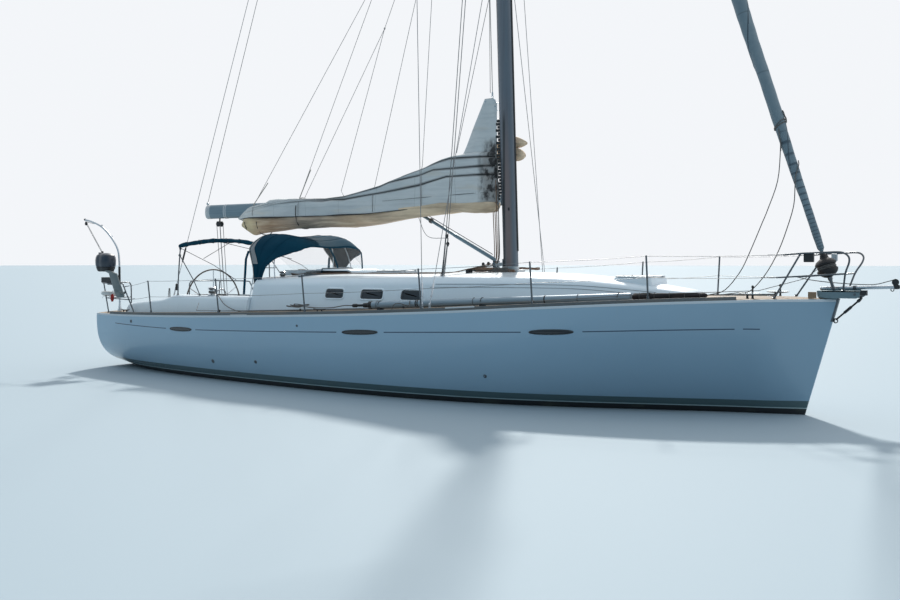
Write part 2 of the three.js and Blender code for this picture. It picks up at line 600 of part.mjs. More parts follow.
// Shrouds: cap wire over both spreader tips, a lower from the deck and an intermediate to the mast
const CHAINPLATE = { x: 1430, y: 1890, innerX: 1530, innerY: 1830 };
const TURNBUCKLE_RADIUS = 16;
for (const [side, name] of [[1, "shrouds_port"], [-1, "shrouds_starboard"]]) {
  const low = [CHAINPLATE.x, side * CHAINPLATE.y, 1420];
  const lowInner = [CHAINPLATE.innerX, side * CHAINPLATE.innerY, 1420];
  const lowerTip = spreaderTip(SPREADERS[0], side);
  const upperTip = spreaderTip(SPREADERS[1], side);
  const beyond = ([x, y, z], out) => [x - out * 0.35, y + side * out, z];
  const capLower = beyond(lowerTip, 16);
  const capUpper = beyond(upperTip, 16);
  const mastSide = (z, drop) => [mastX(z), side * (MAST_WIDTH / 2 + drop), z];
  const capEnd = [mastX(HOUNDS_Z + 300), side * 74, HOUNDS_Z + 300];
  const part = (a, b, t) => a.map((value, k) => value + (b[k] - value) * t);
  const lowerEnd = mastSide(8150, 6);
  const middleEnd = mastSide(14150, 6);
  const solids = [
    barChain([low, capLower, capUpper, capEnd], WIRE_RADIUS, 6),
    rod(lowInner, lowerEnd, WIRE_RADIUS, 6),
    rod(capLower, middleEnd, WIRE_RADIUS, 6),
    rod(part(low, capLower, 0.02), part(low, capLower, 0.075), TURNBUCKLE_RADIUS, 8),
    rod(part(lowInner, lowerEnd, 0.02), part(lowInner, lowerEnd, 0.075), TURNBUCKLE_RADIUS, 8),
    block(1400, 1570, Math.min(side * 1800, side * 1920), Math.max(side * 1800, side * 1920), 1400, 1500),
  ];
  const clearMast = loft([sparRing(2100, 1.01), sparRing(15500, 1.01), sparRing(HOUNDS_Z, 0.87),
    sparRing(MAST_TOP_Z, 0.63)]);
  addPiece(name, cut(join(solids), [deckRaised, clearMast]), WIRE);
}

// Backstay from the masthead crane to the aft deck
const BACKSTAY_TOP = [CRANE.aft + 30, 0, CRANE.low - GAP];
const BACKSTAY_FOOT = [-6800, 0, 1140];
const backstayWire = rod(BACKSTAY_TOP, BACKSTAY_FOOT, WIRE_RADIUS, 8);
const backstayPart = (t) => BACKSTAY_FOOT.map((value, k) => value + (BACKSTAY_TOP[k] - value) * t);
const backstay = join([
  backstayWire,
  rod(backstayPart(0.012), backstayPart(0.06), 17, 8),
  block(-6850, -6750, -30, 30, 1130, 1230),
]);
const craneClear = block(0, 2000, -100, 100, CRANE.low - GAP, 22000);
addPiece("backstay", cut(backstay, [deckRaised, craneClear]), WIRE);

// Furled headsail on its foil, and the furling drum at the tack
const STAY_FOOT = new THREE.Vector3(7030, 0, 2250);
const STAY_HEAD = new THREE.Vector3(1560, 0, HOUNDS_Z);
const STAY_LENGTH = STAY_FOOT.distanceTo(STAY_HEAD);
const STAY_SAG = 75;
// Height up the stay in the shape becomes height along the stay, which sags a little aft in its middle
function onStay(geometry) {
  const spots = geometry.attributes.position;
  const sags = [];
  for (let i = 0; i < spots.count; i += 1) {
    const part = spots.getY(i) / STAY_LENGTH;
    sags.push(4 * STAY_SAG * part * (1 - part));
  }
  const turn = new THREE.Quaternion().setFromUnitVectors(
    new THREE.Vector3(0, 1, 0), STAY_HEAD.clone().sub(STAY_FOOT).normalize());
  geometry.applyQuaternion(turn);
  for (let i = 0; i < spots.count; i += 1) {
    spots.setX(i, spots.getX(i) - sags[i]);
  }
  return solidOf(geometry.translate(STAY_FOOT.x, STAY_FOOT.y, STAY_FOOT.z));
}
// Furled radius against distance up the stay
const FURL_TABLE = [
  { up: 0, radius: 14 }, { up: 60, radius: 14 }, { up: 90, radius: 50 }, { up: 900, radius: 62 },
  { up: 2100, radius: 84 }, { up: 3900, radius: 108 }, { up: 8000, radius: 118 }, { up: 12500, radius: 92 },
  { up: 16200, radius: 46 }, { up: 16400, radius: 14 }, { up: STAY_LENGTH - 260, radius: 14 },
];
const furlProfile = [[0, 0], ...FURL_TABLE.map(({ up, radius }) => [radius, up]), [0, STAY_LENGTH - 260]];
addPiece("furled_genoa", onStay(new THREE.LatheGeometry(
  furlProfile.map(([r, h]) => new THREE.Vector2(r, h)), 12)), GENOA_STRIP);
addPiece("forestay_head", onStay(new THREE.LatheGeometry(
  [[0, STAY_LENGTH - 260 + GAP], [8, STAY_LENGTH - 260 + GAP], [8, STAY_LENGTH + 150], [0, STAY_LENGTH + 150]]
    .map(([r, h]) => new THREE.Vector2(r, h)), 8)).subtract(
  loft([sparRing(15500, 1.01), sparRing(HOUNDS_Z, 0.87), sparRing(MAST_TOP_Z, 0.63)])), WIRE);
const DRUM_PROFILE = [[0, -GAP], [50, -GAP], [60, -35], [128, -75], [148, -110], [148, -215], [128, -255],
  [70, -300], [30, -312], [22, -520], [0, -520]];
const drum = onStay(new THREE.LatheGeometry(
  DRUM_PROFILE.reverse().map(([r, h]) => new THREE.Vector2(r, h)), 18));

// Bow fitting: roller platform, sprit tube, strut to the stem
const PLATFORM = { aft: 6980, fore: 7570, half: 150, low: 1690, high: 1772 };
const platformTop = block(PLATFORM.aft, PLATFORM.fore, -PLATFORM.half, PLATFORM.half, PLATFORM.high - 22,
  PLATFORM.high);
const cheeks = [1, -1].map((side) => {
  const inner = side * (PLATFORM.half - 12);
  const outer = side * PLATFORM.half;
  return block(PLATFORM.aft + 10, PLATFORM.fore, Math.min(inner, outer), Math.max(inner, outer), PLATFORM.low - 20,
    PLATFORM.high);
});
const bowFitting = join([
  platformTop, ...cheeks,
  block(PLATFORM.aft + 10, 7240, -70, 70, 1640, PLATFORM.high - 5),
  rod([7480, -140, 1725], [7480, 140, 1725], 42, 12),
  rod([6970, 100, 1794], [8040, 100, 1830], 25, 12),
  block(7000, 7520, 84, 116, PLATFORM.high - 5, 1800),
  rod([7550, 0, 1665], [7140, 0, 1305], 16, 8),
  rod([7550, -140, 1712], [7550, 140, 1712], 14, 8),
  block(7530, 7562, -20, 20, 1655, 1712),
]);
const hullForward = hullForm.translate([GAP, 0, 0]);
addPiece("bow_fitting", cut(bowFitting, [deckRaised, deckForm.translate([GAP, 0, 0]), hullForward, hullForm]),
  STEEL);
addPiece("furler_drum", cut(drum, [block(6500, 7700, -300, 300, 1500, PLATFORM.high + GAP)]), BLACK);

// Boom with its end castings and fork, rigid vang, flaked mainsail
const boomGeometry = new THREE.CylinderGeometry(1, 1, GOOSENECK_X - 110 - BOOM_END_X, 16);
boomGeometry.rotateZ(Math.PI / 2);
boomGeometry.scale(1, BOOM_WIDTH / 2, BOOM_DEPTH / 2);
boomGeometry.translate((GOOSENECK_X - 110 + BOOM_END_X) / 2, 0, BOOM_Z);
const forkArm = (z0, z1) => block(GOOSENECK_X - 200, GOOSENECK_X + 22, -26, 26, z0, z1);
const boomSolid = join([
  solidOf(boomGeometry),
  forkArm(BOOM_Z + 42, BOOM_Z + 66), forkArm(BOOM_Z - 66, BOOM_Z - 42),
  rod([GOOSENECK_X, 0, BOOM_Z - 60], [GOOSENECK_X, 0, BOOM_Z + 60], PIN_RADIUS, 12),
  block(-170, -10, -14, 14, 3030, 3090),
]);
addPiece("boom", boomSolid, SPAR);
const vang = join([
  rod([GOOSENECK_X - 60, 0, VANG_LUG_Z + 36], [-80, 0, 3010], 34, 10),
  rod([GOOSENECK_X - 60, 0, VANG_LUG_Z + 36], [760, 0, 2574], 44, 10),
  block(GOOSENECK_X - 90, GOOSENECK_X + 24, -24, 24, VANG_LUG_Z + 36, VANG_LUG_Z + 56),
  block(GOOSENECK_X - 90, GOOSENECK_X + 24, -24, 24, VANG_LUG_Z - 56, VANG_LUG_Z - 36),
  block(GOOSENECK_X - 90, GOOSENECK_X - 50, -24, 24, VANG_LUG_Z - 56, VANG_LUG_Z + 56),
  rod([GOOSENECK_X, 0, VANG_LUG_Z - 50], [GOOSENECK_X, 0, VANG_LUG_Z + 50], PIN_RADIUS, 12),
  block(-150, -30, -34, -14.5, 2980, 3075), block(-150, -30, 14.5, 34, 2980, 3075),
  block(-110, -50, -30, 30, 2980, 3029),
]);

// Sail bundle: x, top, bottom, half width
const BUNDLE = [
  { x: 1470, top: 4020, low: 3040, half: 150 },
  { x: 1250, top: 4050, low: 3000, half: 190 },
  { x: 620, top: 4020, low: 2960, half: 235 },
  { x: -40, top: 3770, low: 2930, half: 250 },
  { x: -960, top: 3550, low: 2880, half: 250 },
  { x: -1680, top: 3490, low: 2840, half: 245 },
  { x: -2960, top: 3410, low: 2815, half: 235 },
  { x: -3780, top: 3390, low: 2770, half: 225 },
  { x: -4290, top: 3375, low: 2700, half: 190 },
  { x: -4640, top: 3365, low: 2900, half: 120 },
];
const bundle = loft(BUNDLE.map(({ x, top, low, half }) => {
  const ring = [];
  for (let i = 0; i < 16; i += 1) {
    const angle = (i * 2 * Math.PI) / 16;
    const rise = Math.sin(angle);
    ring.push([x, half * Math.cos(angle) * (rise > 0 ? 1 - 0.25 * rise : 1),
      (top + low) / 2 + ((top - low) / 2) * rise]);
  }
  return ring;
}));
const headboard = sideProfile([[900, 3900], [1500, 3900], [1500, 4930], [1350, 4940]], -18, 18);
// The boom's own outline with a gap all round, cut from what lies against it
const boomTunnel = solidOf(boomGeometry.clone().translate(-(GOOSENECK_X - 110 + BOOM_END_X) / 2, 0, -BOOM_Z)
  .scale(1.1, 1 + (2 * GAP) / BOOM_WIDTH, 1 + (2 * GAP) / BOOM_DEPTH)
  .translate((GOOSENECK_X - 110 + BOOM_END_X) / 2, 0, BOOM_Z));
addPiece("vang", cut(vang, [boomTunnel, block(-400, 400, -14 - GAP, 14 + GAP, 3029.5, 3200)]), SPAR);
const vangSlot = sideProfile([[-400, 2700], [1700, 2700], [1700, 3090], [-400, 3090]], -70, 70);
const neckSlot = block(1380, 1700, -60, 60, 2900, BOOM_Z + 100);
addPiece("mainsail", cut(bundle.add(headboard), [boomTunnel, vangSlot, neckSlot]), SAILCLOTH);

// Steering wheel and its pedestal
const rimGeometry = new THREE.TorusGeometry(WHEEL_RADIUS, 16, 6, 32);
rimGeometry.rotateY(Math.PI / 2);
const spokes = [];
for (let i = 0; i < 6; i += 1) {
  const angle = (i * Math.PI) / 3 + Math.PI / 6;
  spokes.push(rod([WHEEL_X, 0, WHEEL_Z],
    [WHEEL_X, WHEEL_RADIUS * Math.cos(angle), WHEEL_Z + WHEEL_RADIUS * Math.sin(angle)], 9, 6));
}
const wheelHub = rod([WHEEL_X - 25, 0, WHEEL_Z], [WHEEL_X + 30, 0, WHEEL_Z], 60, 14);
const axleBore = rod([WHEEL_X - 40, 0, WHEEL_Z], [WHEEL_X + 40, 0, WHEEL_Z], 15.9, 12);
const wheel = join([solidOf(rimGeometry.translate(WHEEL_X, 0, WHEEL_Z)), wheelHub, ...spokes]);
addPiece("steering_wheel", wheel.subtract(axleBore), LEATHER);
const PEDESTAL_X = WHEEL_X + 170;
const pedestal = join([
  turned([[0, TUB.sole + GAP], [150, TUB.sole + GAP], [150, 490], [85, 530], [75, 1150], [110, 1300],
    [110, 1420], [60, 1480], [0, 1485]], [PEDESTAL_X, 0, 0], 12),
  rod([PEDESTAL_X, 0, WHEEL_Z], [WHEEL_X - 32, 0, WHEEL_Z], 15, 12),
  bentTube([[PEDESTAL_X + 60, -150, 470], [PEDESTAL_X + 60, -150, 1400], [PEDESTAL_X + 60, -110, 1560],
    [PEDESTAL_X + 60, 0, 1600], [PEDESTAL_X + 60, 110, 1560], [PEDESTAL_X + 60, 150, 1400],
    [PEDESTAL_X + 60, 150, 470]], 14, 18, 6),
  rod([PEDESTAL_X, -150, 1390], [PEDESTAL_X + 60, 150, 1390], 12, 8),
  rod([PEDESTAL_X, 150, 1390], [PEDESTAL_X + 60, -150, 1390], 12, 8),
]);
addPiece("pedestal", pedestal.subtract(block(-6000, -4000, -400, 400, 300, TUB.sole + GAP)), ROOF_WHITE);

// Mainsheet track across the cockpit sole ahead of the wheel, with its car
const TRACK = { x: -5040, half: 940, width: 60, height: 45 };
const CAR = { length: 140, half: 70, low: 30, high: 110 };
addPiece("mainsheet_traveller", join([
  block(TRACK.x - TRACK.width / 2, TRACK.x + TRACK.width / 2, -TRACK.half, TRACK.half,
    TUB.sole + GAP, TUB.sole + TRACK.height),
  block(TRACK.x - CAR.length / 2, TRACK.x + CAR.length / 2, -CAR.half, CAR.half,
    TUB.sole + CAR.low, TUB.sole + CAR.high),
]), BLACK);

// Winches: x, y, base height, size
const WINCHES = [
  { name: "winch_primary_port", x: -4150, y: 1190, z: TUB.coamTop, size: 1 },
  { name: "winch_primary_starboard", x: -4150, y: -1190, z: TUB.coamTop, size: 1 },
  { name: "winch_halyard_port", x: -2700, y: 760, z: 1870, size: 0.75 },
  { name: "winch_halyard_starboard", x: -2700, y: -760, z: 1870, size: 0.75 },
];
for (const { name, x, y, z, size } of WINCHES) {
  const profile = [[0, -90], [92, -90], [92, 22], [72, 40], [62, 80], [68, 118], [90, 136], [90, 150],
    [60, 168], [0, 172]].map(([r, h]) => [r * size, h > 0 ? h * size : h]);
  const winch = turned(profile, [x, y, z], 12);
  const keep = z === TUB.coamTop ? block(-9000, 0, -2000, 2000, 0, TUB.coamTop + GAP) : roofRaised;
  addPiece(name, winch.subtract(keep), STEEL);
}

// Pushpit rails on each quarter
function pushpitRail(side, extra) {
  const put = ([x, y, z]) => [x, side * y, z];
  return join([
    bentTube([[-5950, 1700, 1090], [-5955, 1725, 1500], [-5990, 1735, 1690], [-6100, 1728, 1735],
      [-6900, 1620, 1740], [-7060, 1530, 1740], [-7120, 1400, 1740], [-7120, 900, 1740], [-7120, 810, 1700],
      [-7120, 790, 1600], [-7120, 790, 1090]].map(put), TUBE_RADIUS + extra, 32, 6),
    rod(put([-6950, 1480, 1090]), put([-6985, 1572, 1736]), TUBE_RADIUS + extra, 6),
    rod(put([-5955, 1718, 1420]), put([-6965, 1524, 1430]), TUBE_RADIUS - 3 + extra, 6),
    rod(put([-6965, 1524, 1430]), put([-7120, 790, 1430]), TUBE_RADIUS - 3 + extra, 6),
  ]);
}
for (const [side, name] of [[1, "pushpit_port"], [-1, "pushpit_starboard"]]) {
  addPiece(name, pushpitRail(side, 0).subtract(deckRaised), STEEL);
}

// Pulpit in two halves, either side of the stay
function pulpitRail(side, extra) {
  const put = ([x, y, z]) => [x, side * y, z];
  return join([
    bentTube([[6670, 622, 2266], [6900, 585, 2284], [7150, 525, 2294], [7330, 465, 2302], [7420, 430, 2290],
      [7475, 390, 2240], [7470, 340, 2160], [7400, 250, 2010], [7345, 138, 1765]].map(put),
    TUBE_RADIUS + extra, 26, 6),
    rod(put([6495, 490, 1630]), put([6895, 586, 2284]), TUBE_RADIUS + extra, 6),
    rod(put([6560, 584, 1952]), put([7398, 248, 2008]), TUBE_RADIUS - 2 + extra, 6),
  ]);
}
const platformClear = block(6600, 7700, -160, 160, 1600, PLATFORM.high + GAP);
for (const [side, name] of [[1, "pulpit_port"], [-1, "pulpit_starboard"]]) {
  addPiece(name, cut(pulpitRail(side, 0), [deckRaised, platformClear]), STEEL);
}

// Stanchions with two lifelines on each side, reaching to the pushpit and the pulpit
const STANCHIONS = [-5220, -3100, -1000, 1200, 3400, 4990];
const WIRE_PARTS = [{ part: 0.52, fore: [6568, 581, 1952] }, { part: 0.98, fore: [6680, 620, 2266] }];
function stanchionAt(x, side, part) {
  const foot = along(STATIONS, x, "beam") - 85;
  return [x, side * (foot + RAIL_LEAN * part * 0.55), along(STATIONS, x, "sheer") + 8 + RAIL_HEIGHT * part];
}
for (const [side, name] of [[1, "lifelines_port"], [-1, "lifelines_starboard"]]) {
  const posts = STANCHIONS.flatMap((x) => [
    rod(stanchionAt(x, side, -0.05), stanchionAt(x, side, 1), TUBE_RADIUS, 6),
    rod(stanchionAt(x, side, -0.07), stanchionAt(x, side, 0.13), TUBE_RADIUS + 8, 6),
  ]);
  const wires = WIRE_PARTS.map(({ part, fore }) => barChain([
    [-5952, side * 1716, 1142 + RAIL_HEIGHT * part * 0.9],
    ...STANCHIONS.map((x) => stanchionAt(x, side, part)),
    [fore[0], side * fore[1], fore[2]],
  ], WIRE_RADIUS, 4));
  addPiece(name, cut(join([...posts, ...wires]), [deckRaised, pushpitRail(side, GAP), pulpitRail(side, GAP)]),
    STEEL);
}

// Sprayhood: canvas shell on two hoops. Stations: x, half width, crown
const HOOD = [
  { x: -3500, half: 1160, crown: 2690 },
  { x: -3000, half: 1160, crown: 2745 },
  { x: -2650, half: 1150, crown: 2735 },
  { x: -2400, half: 1120, crown: 2660 },
  { x: -2290, half: 1100, crown: 2500 },
  { x: -1950, half: 1040, crown: 1950 },
];
const HOOD_BASE_Z = 1400;
const HOOD_WALL = 14;
const HOOD_SQUARE_Y = 0.42;
const HOOD_SQUARE_Z = 0.55;
function hoodHalf({ half, crown }, inset, steps) {
  const points = [];
  for (let i = 0; i <= steps; i += 1) {
    const angle = ((i / steps) * Math.PI) / 2;
    points.push([(half - inset) * Math.cos(angle) ** HOOD_SQUARE_Y,
      HOOD_BASE_Z + (crown - inset - HOOD_BASE_Z) * Math.sin(angle) ** HOOD_SQUARE_Z]);
  }
  return points;
}
function hoodRing(row, inset) {
  return mirrorRing([[0, HOOD_BASE_Z], ...hoodHalf(row, inset, 8)], row.x);
}
const hoodOuter = loft(HOOD.map((row) => hoodRing(row, 0)));
const hoodInner = loft(HOOD.map((row, index) => hoodRing(
  { ...row, x: row.x + (index === 0 ? -10 : -HOOD_WALL * Math.min(1, index / 3)) }, HOOD_WALL)));
const hoodAftCut = sideProfile([[-4000, 1000], [-3230, 1000], [-3330, 1690], [-2950, 2760], [-2950, 3200],
  [-4000, 3200]], -1500, 1500);
const hoodSeat = [
  roofRaised,
  block(-4000, ROOF_AFT_X + 1, -1500, 1500, 1000, TUB.coamTop + GAP),
  block(HATCH_GUIDE.aft - 90, HATCH_GUIDE.fore + 20, -GUIDE_OUTER - GAP, GUIDE_OUTER + GAP, 1500,
    GARAGE_TOP_Z + GAP),
];
addPiece("sprayhood", cut(hoodOuter, [hoodInner, hoodAftCut, ...hoodSeat]), NAVY);

// Hoops under the canvas, each leaning from its foot to its top, with a strap bar on either side
const HOOPS = [
  { footX: -2560, topX: -2700, footZ: 1800, row: { half: 1150, crown: 2735 } },
  { footX: -3210, topX: -2950, footZ: 1480, row: { half: 1160, crown: 2742 } },
];
const HOOP_INSET = HOOD_WALL + 34;
const STRAP_Z = 2060;
function hoopAt({ footX, topX, footZ, row }, z) {
  const rise = ((z - HOOD_BASE_Z) / (row.crown - HOOP_INSET - HOOD_BASE_Z)) ** (1 / HOOD_SQUARE_Z);
  const y = (row.half - HOOP_INSET) * (1 - rise * rise) ** (HOOD_SQUARE_Y / 2);
  return [footX + ((topX - footX) * (z - footZ)) / (row.crown - footZ), y, z];
}
const hoops = HOOPS.map((hoop) => {
  const heights = hoodHalf(hoop.row, HOOP_INSET, 8).map(([, z]) => z).filter((z) => z > hoop.footZ + 60);
  const top = heights.pop();
  const port = [hoop.footZ, ...heights].map((z) => hoopAt(hoop, z));
  const crown = [hoopAt(hoop, top - 1)[0], 0, top];
  return bentTube([...port, crown, ...port.reverse().map(mirrorY)], 11, 24, 6);
});
const strapBars = [1, -1].map((side) => {
  const ends = HOOPS.map((hoop) => hoopAt(hoop, STRAP_Z));
  return rod(...ends.map(([x, y, z]) => [x, side * y, z]), 9, 6);
});
addPiece("sprayhood_frame", cut(join([...hoops, ...strapBars]), hoodSeat), STEEL);

// Folded bimini in its cover, athwartships over the helm, on a leg and a brace at each side
const BIMINI = { x: -5050, half: 1230, endZ: 2480, crown: 2610, radius: 52 };
const biminiArc = [];
for (let i = 0; i <= 8; i += 1) {
  const part = (i / 8) * 2 - 1;
  biminiArc.push([BIMINI.x, BIMINI.half * part, BIMINI.crown - (BIMINI.crown - BIMINI.endZ) * part * part]);
}
addPiece("bimini_cover", bentTube(biminiArc, BIMINI.radius, 16, 10), NAVY);
const biminiClear = bentTube(biminiArc, BIMINI.radius + GAP, 16, 10);
for (const [side, name] of [[1, "bimini_leg_port"], [-1, "bimini_leg_starboard"]]) {
  const put = ([x, y, z]) => [x, side * y, z];
  const leg = join([
    rod(put([BIMINI.x - 20, 1260, 1400]), put([BIMINI.x, 1205, 2470]), 14, 8),
    rod(put([-4360, 1260, 1400]), put([BIMINI.x, 1213, 2300]), 11, 8),
  ]);
  addPiece(name, cut(leg, [biminiClear, block(-9000, 0, -2000, 2000, 1000, TUB.coamTop + GAP)]), STEEL);
}

// Long pole lying in chocks on the starboard side deck, with a rolled dark cover ahead of it
const POLE = { aft: [-90, -1770, 1445], fore: [4700, -1240, 1668], radius: 60 };
const poleAt = (t) => POLE.aft.map((value, k) => value + (POLE.fore[k] - value) * t);
const chocks = [0.04, 0.5, 0.96].map((t) => {
  const [x, y, z] = poleAt(t);
  return block(x - 30, x + 30, y - 55, y + 55, z - 120, z);
});
const pole = join([rod(POLE.aft, POLE.fore, POLE.radius, 12), ...chocks]);
addPiece("deck_pole", pole.subtract(deckRaised), POLE_PALE);
const bagStart = poleAt(1 + GAP / 4800);
const BAG_END = [5700, -900, 1700];
const poleEnd = rod(poleAt(0.9), bagStart, POLE.radius * 1.5, 12);
addPiece("pole_bag", cut(rod(poleAt(0.99), BAG_END, POLE.radius, 12, 38), [poleEnd, deckRaised]), BAG_BROWN);

// Davit in its socket on the starboard quarter
const DAVIT = { x: -6900, y: -1250, seat: 1200, radius: 21 };
const davitArm = [[0, DAVIT.seat + GAP], [0, 1700], [0, 2200], [60, 2450], [560, 2900], [1150, 3070]]
  .map(([reach, z]) => [DAVIT.x - reach, DAVIT.y, z]);
addPiece("davit", bentTube(davitArm, DAVIT.radius, 22, 8), STEEL);
const socket = turned([[0, 900], [46, 900], [46, DAVIT.seat], [0, DAVIT.seat]], [DAVIT.x, DAVIT.y, 0], 12);
addPiece("davit_socket", socket.subtract(deckRaised), STEEL);

// Outboard motor stowed on the starboard quarter rail, its leg slanting forward from the clamp
const COWL = { x: -6730, y: -1710, stretch: 1.55 };
// Columns: radius, height
const cowlRows = [[120, 1980], [150, 2060], [155, 2200], [130, 2310], [60, 2345]];
const cowl = loft(cowlRows.map(([r, z]) => Array.from({ length: 14 }, (_, i) => {
  const angle = (i * 2 * Math.PI) / 14;
  return [COWL.x + r * COWL.stretch * Math.cos(angle), COWL.y + r * Math.sin(angle), z];
})));
// Columns: aft edge, forward edge, height
const legRows = [[-6740, -6600, 2010], [-6660, -6460, 1920], [-6400, -6200, 1460]];
const LEG = { outer: -1800, inner: -1740 };
const leg = loft(legRows.map(([aft, fore, z]) => [
  [aft, LEG.outer, z], [fore, LEG.outer, z], [fore, LEG.inner, z], [aft, LEG.inner, z]]));
const outboard = join([cowl, leg, block(-6800, -6450, -1770, -1590, 1700, 1860)]);
addPiece("outboard", outboard.subtract(pushpitRail(-1, GAP)), BLACK);

export default yacht;
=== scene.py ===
# The sailing yacht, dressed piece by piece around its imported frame. Metres, X to the bow, Y to port.
# First the view: a camera at the photograph's angle, a pale floor at the waterline and soft light,
# with a low sun behind the boat. None of it is part of the yacht.
import json
import math
import random

import bmesh
import bpy
import numpy as np
from mathutils import Matrix, Vector

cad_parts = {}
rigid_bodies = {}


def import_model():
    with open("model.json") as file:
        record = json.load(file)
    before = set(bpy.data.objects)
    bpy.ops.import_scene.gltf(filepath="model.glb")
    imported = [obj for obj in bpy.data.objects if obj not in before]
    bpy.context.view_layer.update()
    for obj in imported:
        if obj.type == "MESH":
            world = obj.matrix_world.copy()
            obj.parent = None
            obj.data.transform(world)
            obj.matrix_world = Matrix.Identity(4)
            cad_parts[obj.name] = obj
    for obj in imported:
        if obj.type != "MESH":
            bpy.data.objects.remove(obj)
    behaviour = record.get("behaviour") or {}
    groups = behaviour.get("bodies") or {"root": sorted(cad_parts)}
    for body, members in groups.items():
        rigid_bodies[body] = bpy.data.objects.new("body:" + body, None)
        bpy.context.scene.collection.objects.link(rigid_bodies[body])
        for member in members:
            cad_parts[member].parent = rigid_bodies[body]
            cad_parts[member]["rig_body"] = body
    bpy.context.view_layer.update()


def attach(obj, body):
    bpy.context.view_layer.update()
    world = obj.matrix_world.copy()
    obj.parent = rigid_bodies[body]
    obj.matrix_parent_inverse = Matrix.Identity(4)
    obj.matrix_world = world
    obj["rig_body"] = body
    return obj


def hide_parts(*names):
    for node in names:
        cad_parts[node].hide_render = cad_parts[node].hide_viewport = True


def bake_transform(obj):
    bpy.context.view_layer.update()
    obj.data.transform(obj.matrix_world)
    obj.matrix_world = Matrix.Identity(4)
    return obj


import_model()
scene = bpy.context.scene

EYE = (11.30, -15.02, 2.167)
HEADING = math.radians(35.42)
DIP = math.radians(2.07)
camera = bpy.data.objects.new("camera", bpy.data.cameras.new("camera"))
camera.data.lens = 42.0
camera.data.sensor_width = 36.0
camera.data.clip_end = 3000.0
camera.location = EYE
camera.rotation_euler = (math.pi / 2 - DIP, 0.0, HEADING)
scene.collection.objects.link(camera)
scene.camera = camera
scene.view_settings.view_transform = "Standard"

SUN_TURN = math.radians(150.0)
SUN_RISE = math.radians(38.0)
sun = bpy.data.objects.new("sun", bpy.data.lights.new("sun", "SUN"))
sun.data.energy = 3.2
sun.data.angle = math.radians(4.0)
sun.data.color = (1.0, 0.96, 0.90)
sun.rotation_euler = (math.pi / 2 - SUN_RISE, 0.0, SUN_TURN + math.radians(60.0))
scene.collection.objects.link(sun)

world = bpy.data.worlds.new("haze")
scene.world = world
world.use_nodes = True
SKY_BRIGHT = (0.90, 0.92, 0.95, 1.0)
SKY_DIM = (0.20, 0.32, 0.41, 1.0)
sky_nodes = world.node_tree.nodes
sky_links = world.node_tree.links
sky_place = sky_nodes.new("ShaderNodeTexCoord")
sky_parts = sky_nodes.new("ShaderNodeSeparateXYZ")
sky_links.new(sky_place.outputs["Generated"], sky_parts.inputs[0])
sky_side = sky_nodes.new("ShaderNodeMapRange")
sky_side.inputs["From Min"].default_value = -0.9
sky_side.inputs["From Max"].default_value = 0.1
sky_links.new(sky_parts.outputs["Y"], sky_side.inputs["Value"])
sky_ramp = sky_nodes.new("ShaderNodeValToRGB")
sky_ramp.color_ramp.elements[0].color = SKY_DIM
sky_ramp.color_ramp.elements[1].color = SKY_BRIGHT
sky_links.new(sky_side.outputs["Result"], sky_ramp.inputs["Fac"])
sky_links.new(sky_ramp.outputs["Color"], sky_nodes["Background"].inputs["Color"])
sky_nodes["Background"].inputs["Strength"].default_value = 1.0

FLOOR_SIZE = 600.0
floor_mesh = bpy.data.meshes.new("floor")
floor_mesh.from_pydata([(-FLOOR_SIZE, -FLOOR_SIZE, 0), (FLOOR_SIZE, -FLOOR_SIZE, 0),
                        (FLOOR_SIZE, FLOOR_SIZE, 0), (-FLOOR_SIZE, FLOOR_SIZE, 0)], [], [(0, 1, 2, 3)])
floor = bpy.data.objects.new("floor", floor_mesh)
scene.collection.objects.link(floor)
floor_look = bpy.data.materials.new("pale_floor")
floor_look.use_nodes = True
floor_look.node_tree.nodes["Principled BSDF"].inputs["Base Color"].default_value = (0.34, 0.43, 0.49, 1)
floor_look.node_tree.nodes["Principled BSDF"].inputs["Roughness"].default_value = 0.75
floor_mesh.materials.append(floor_look)


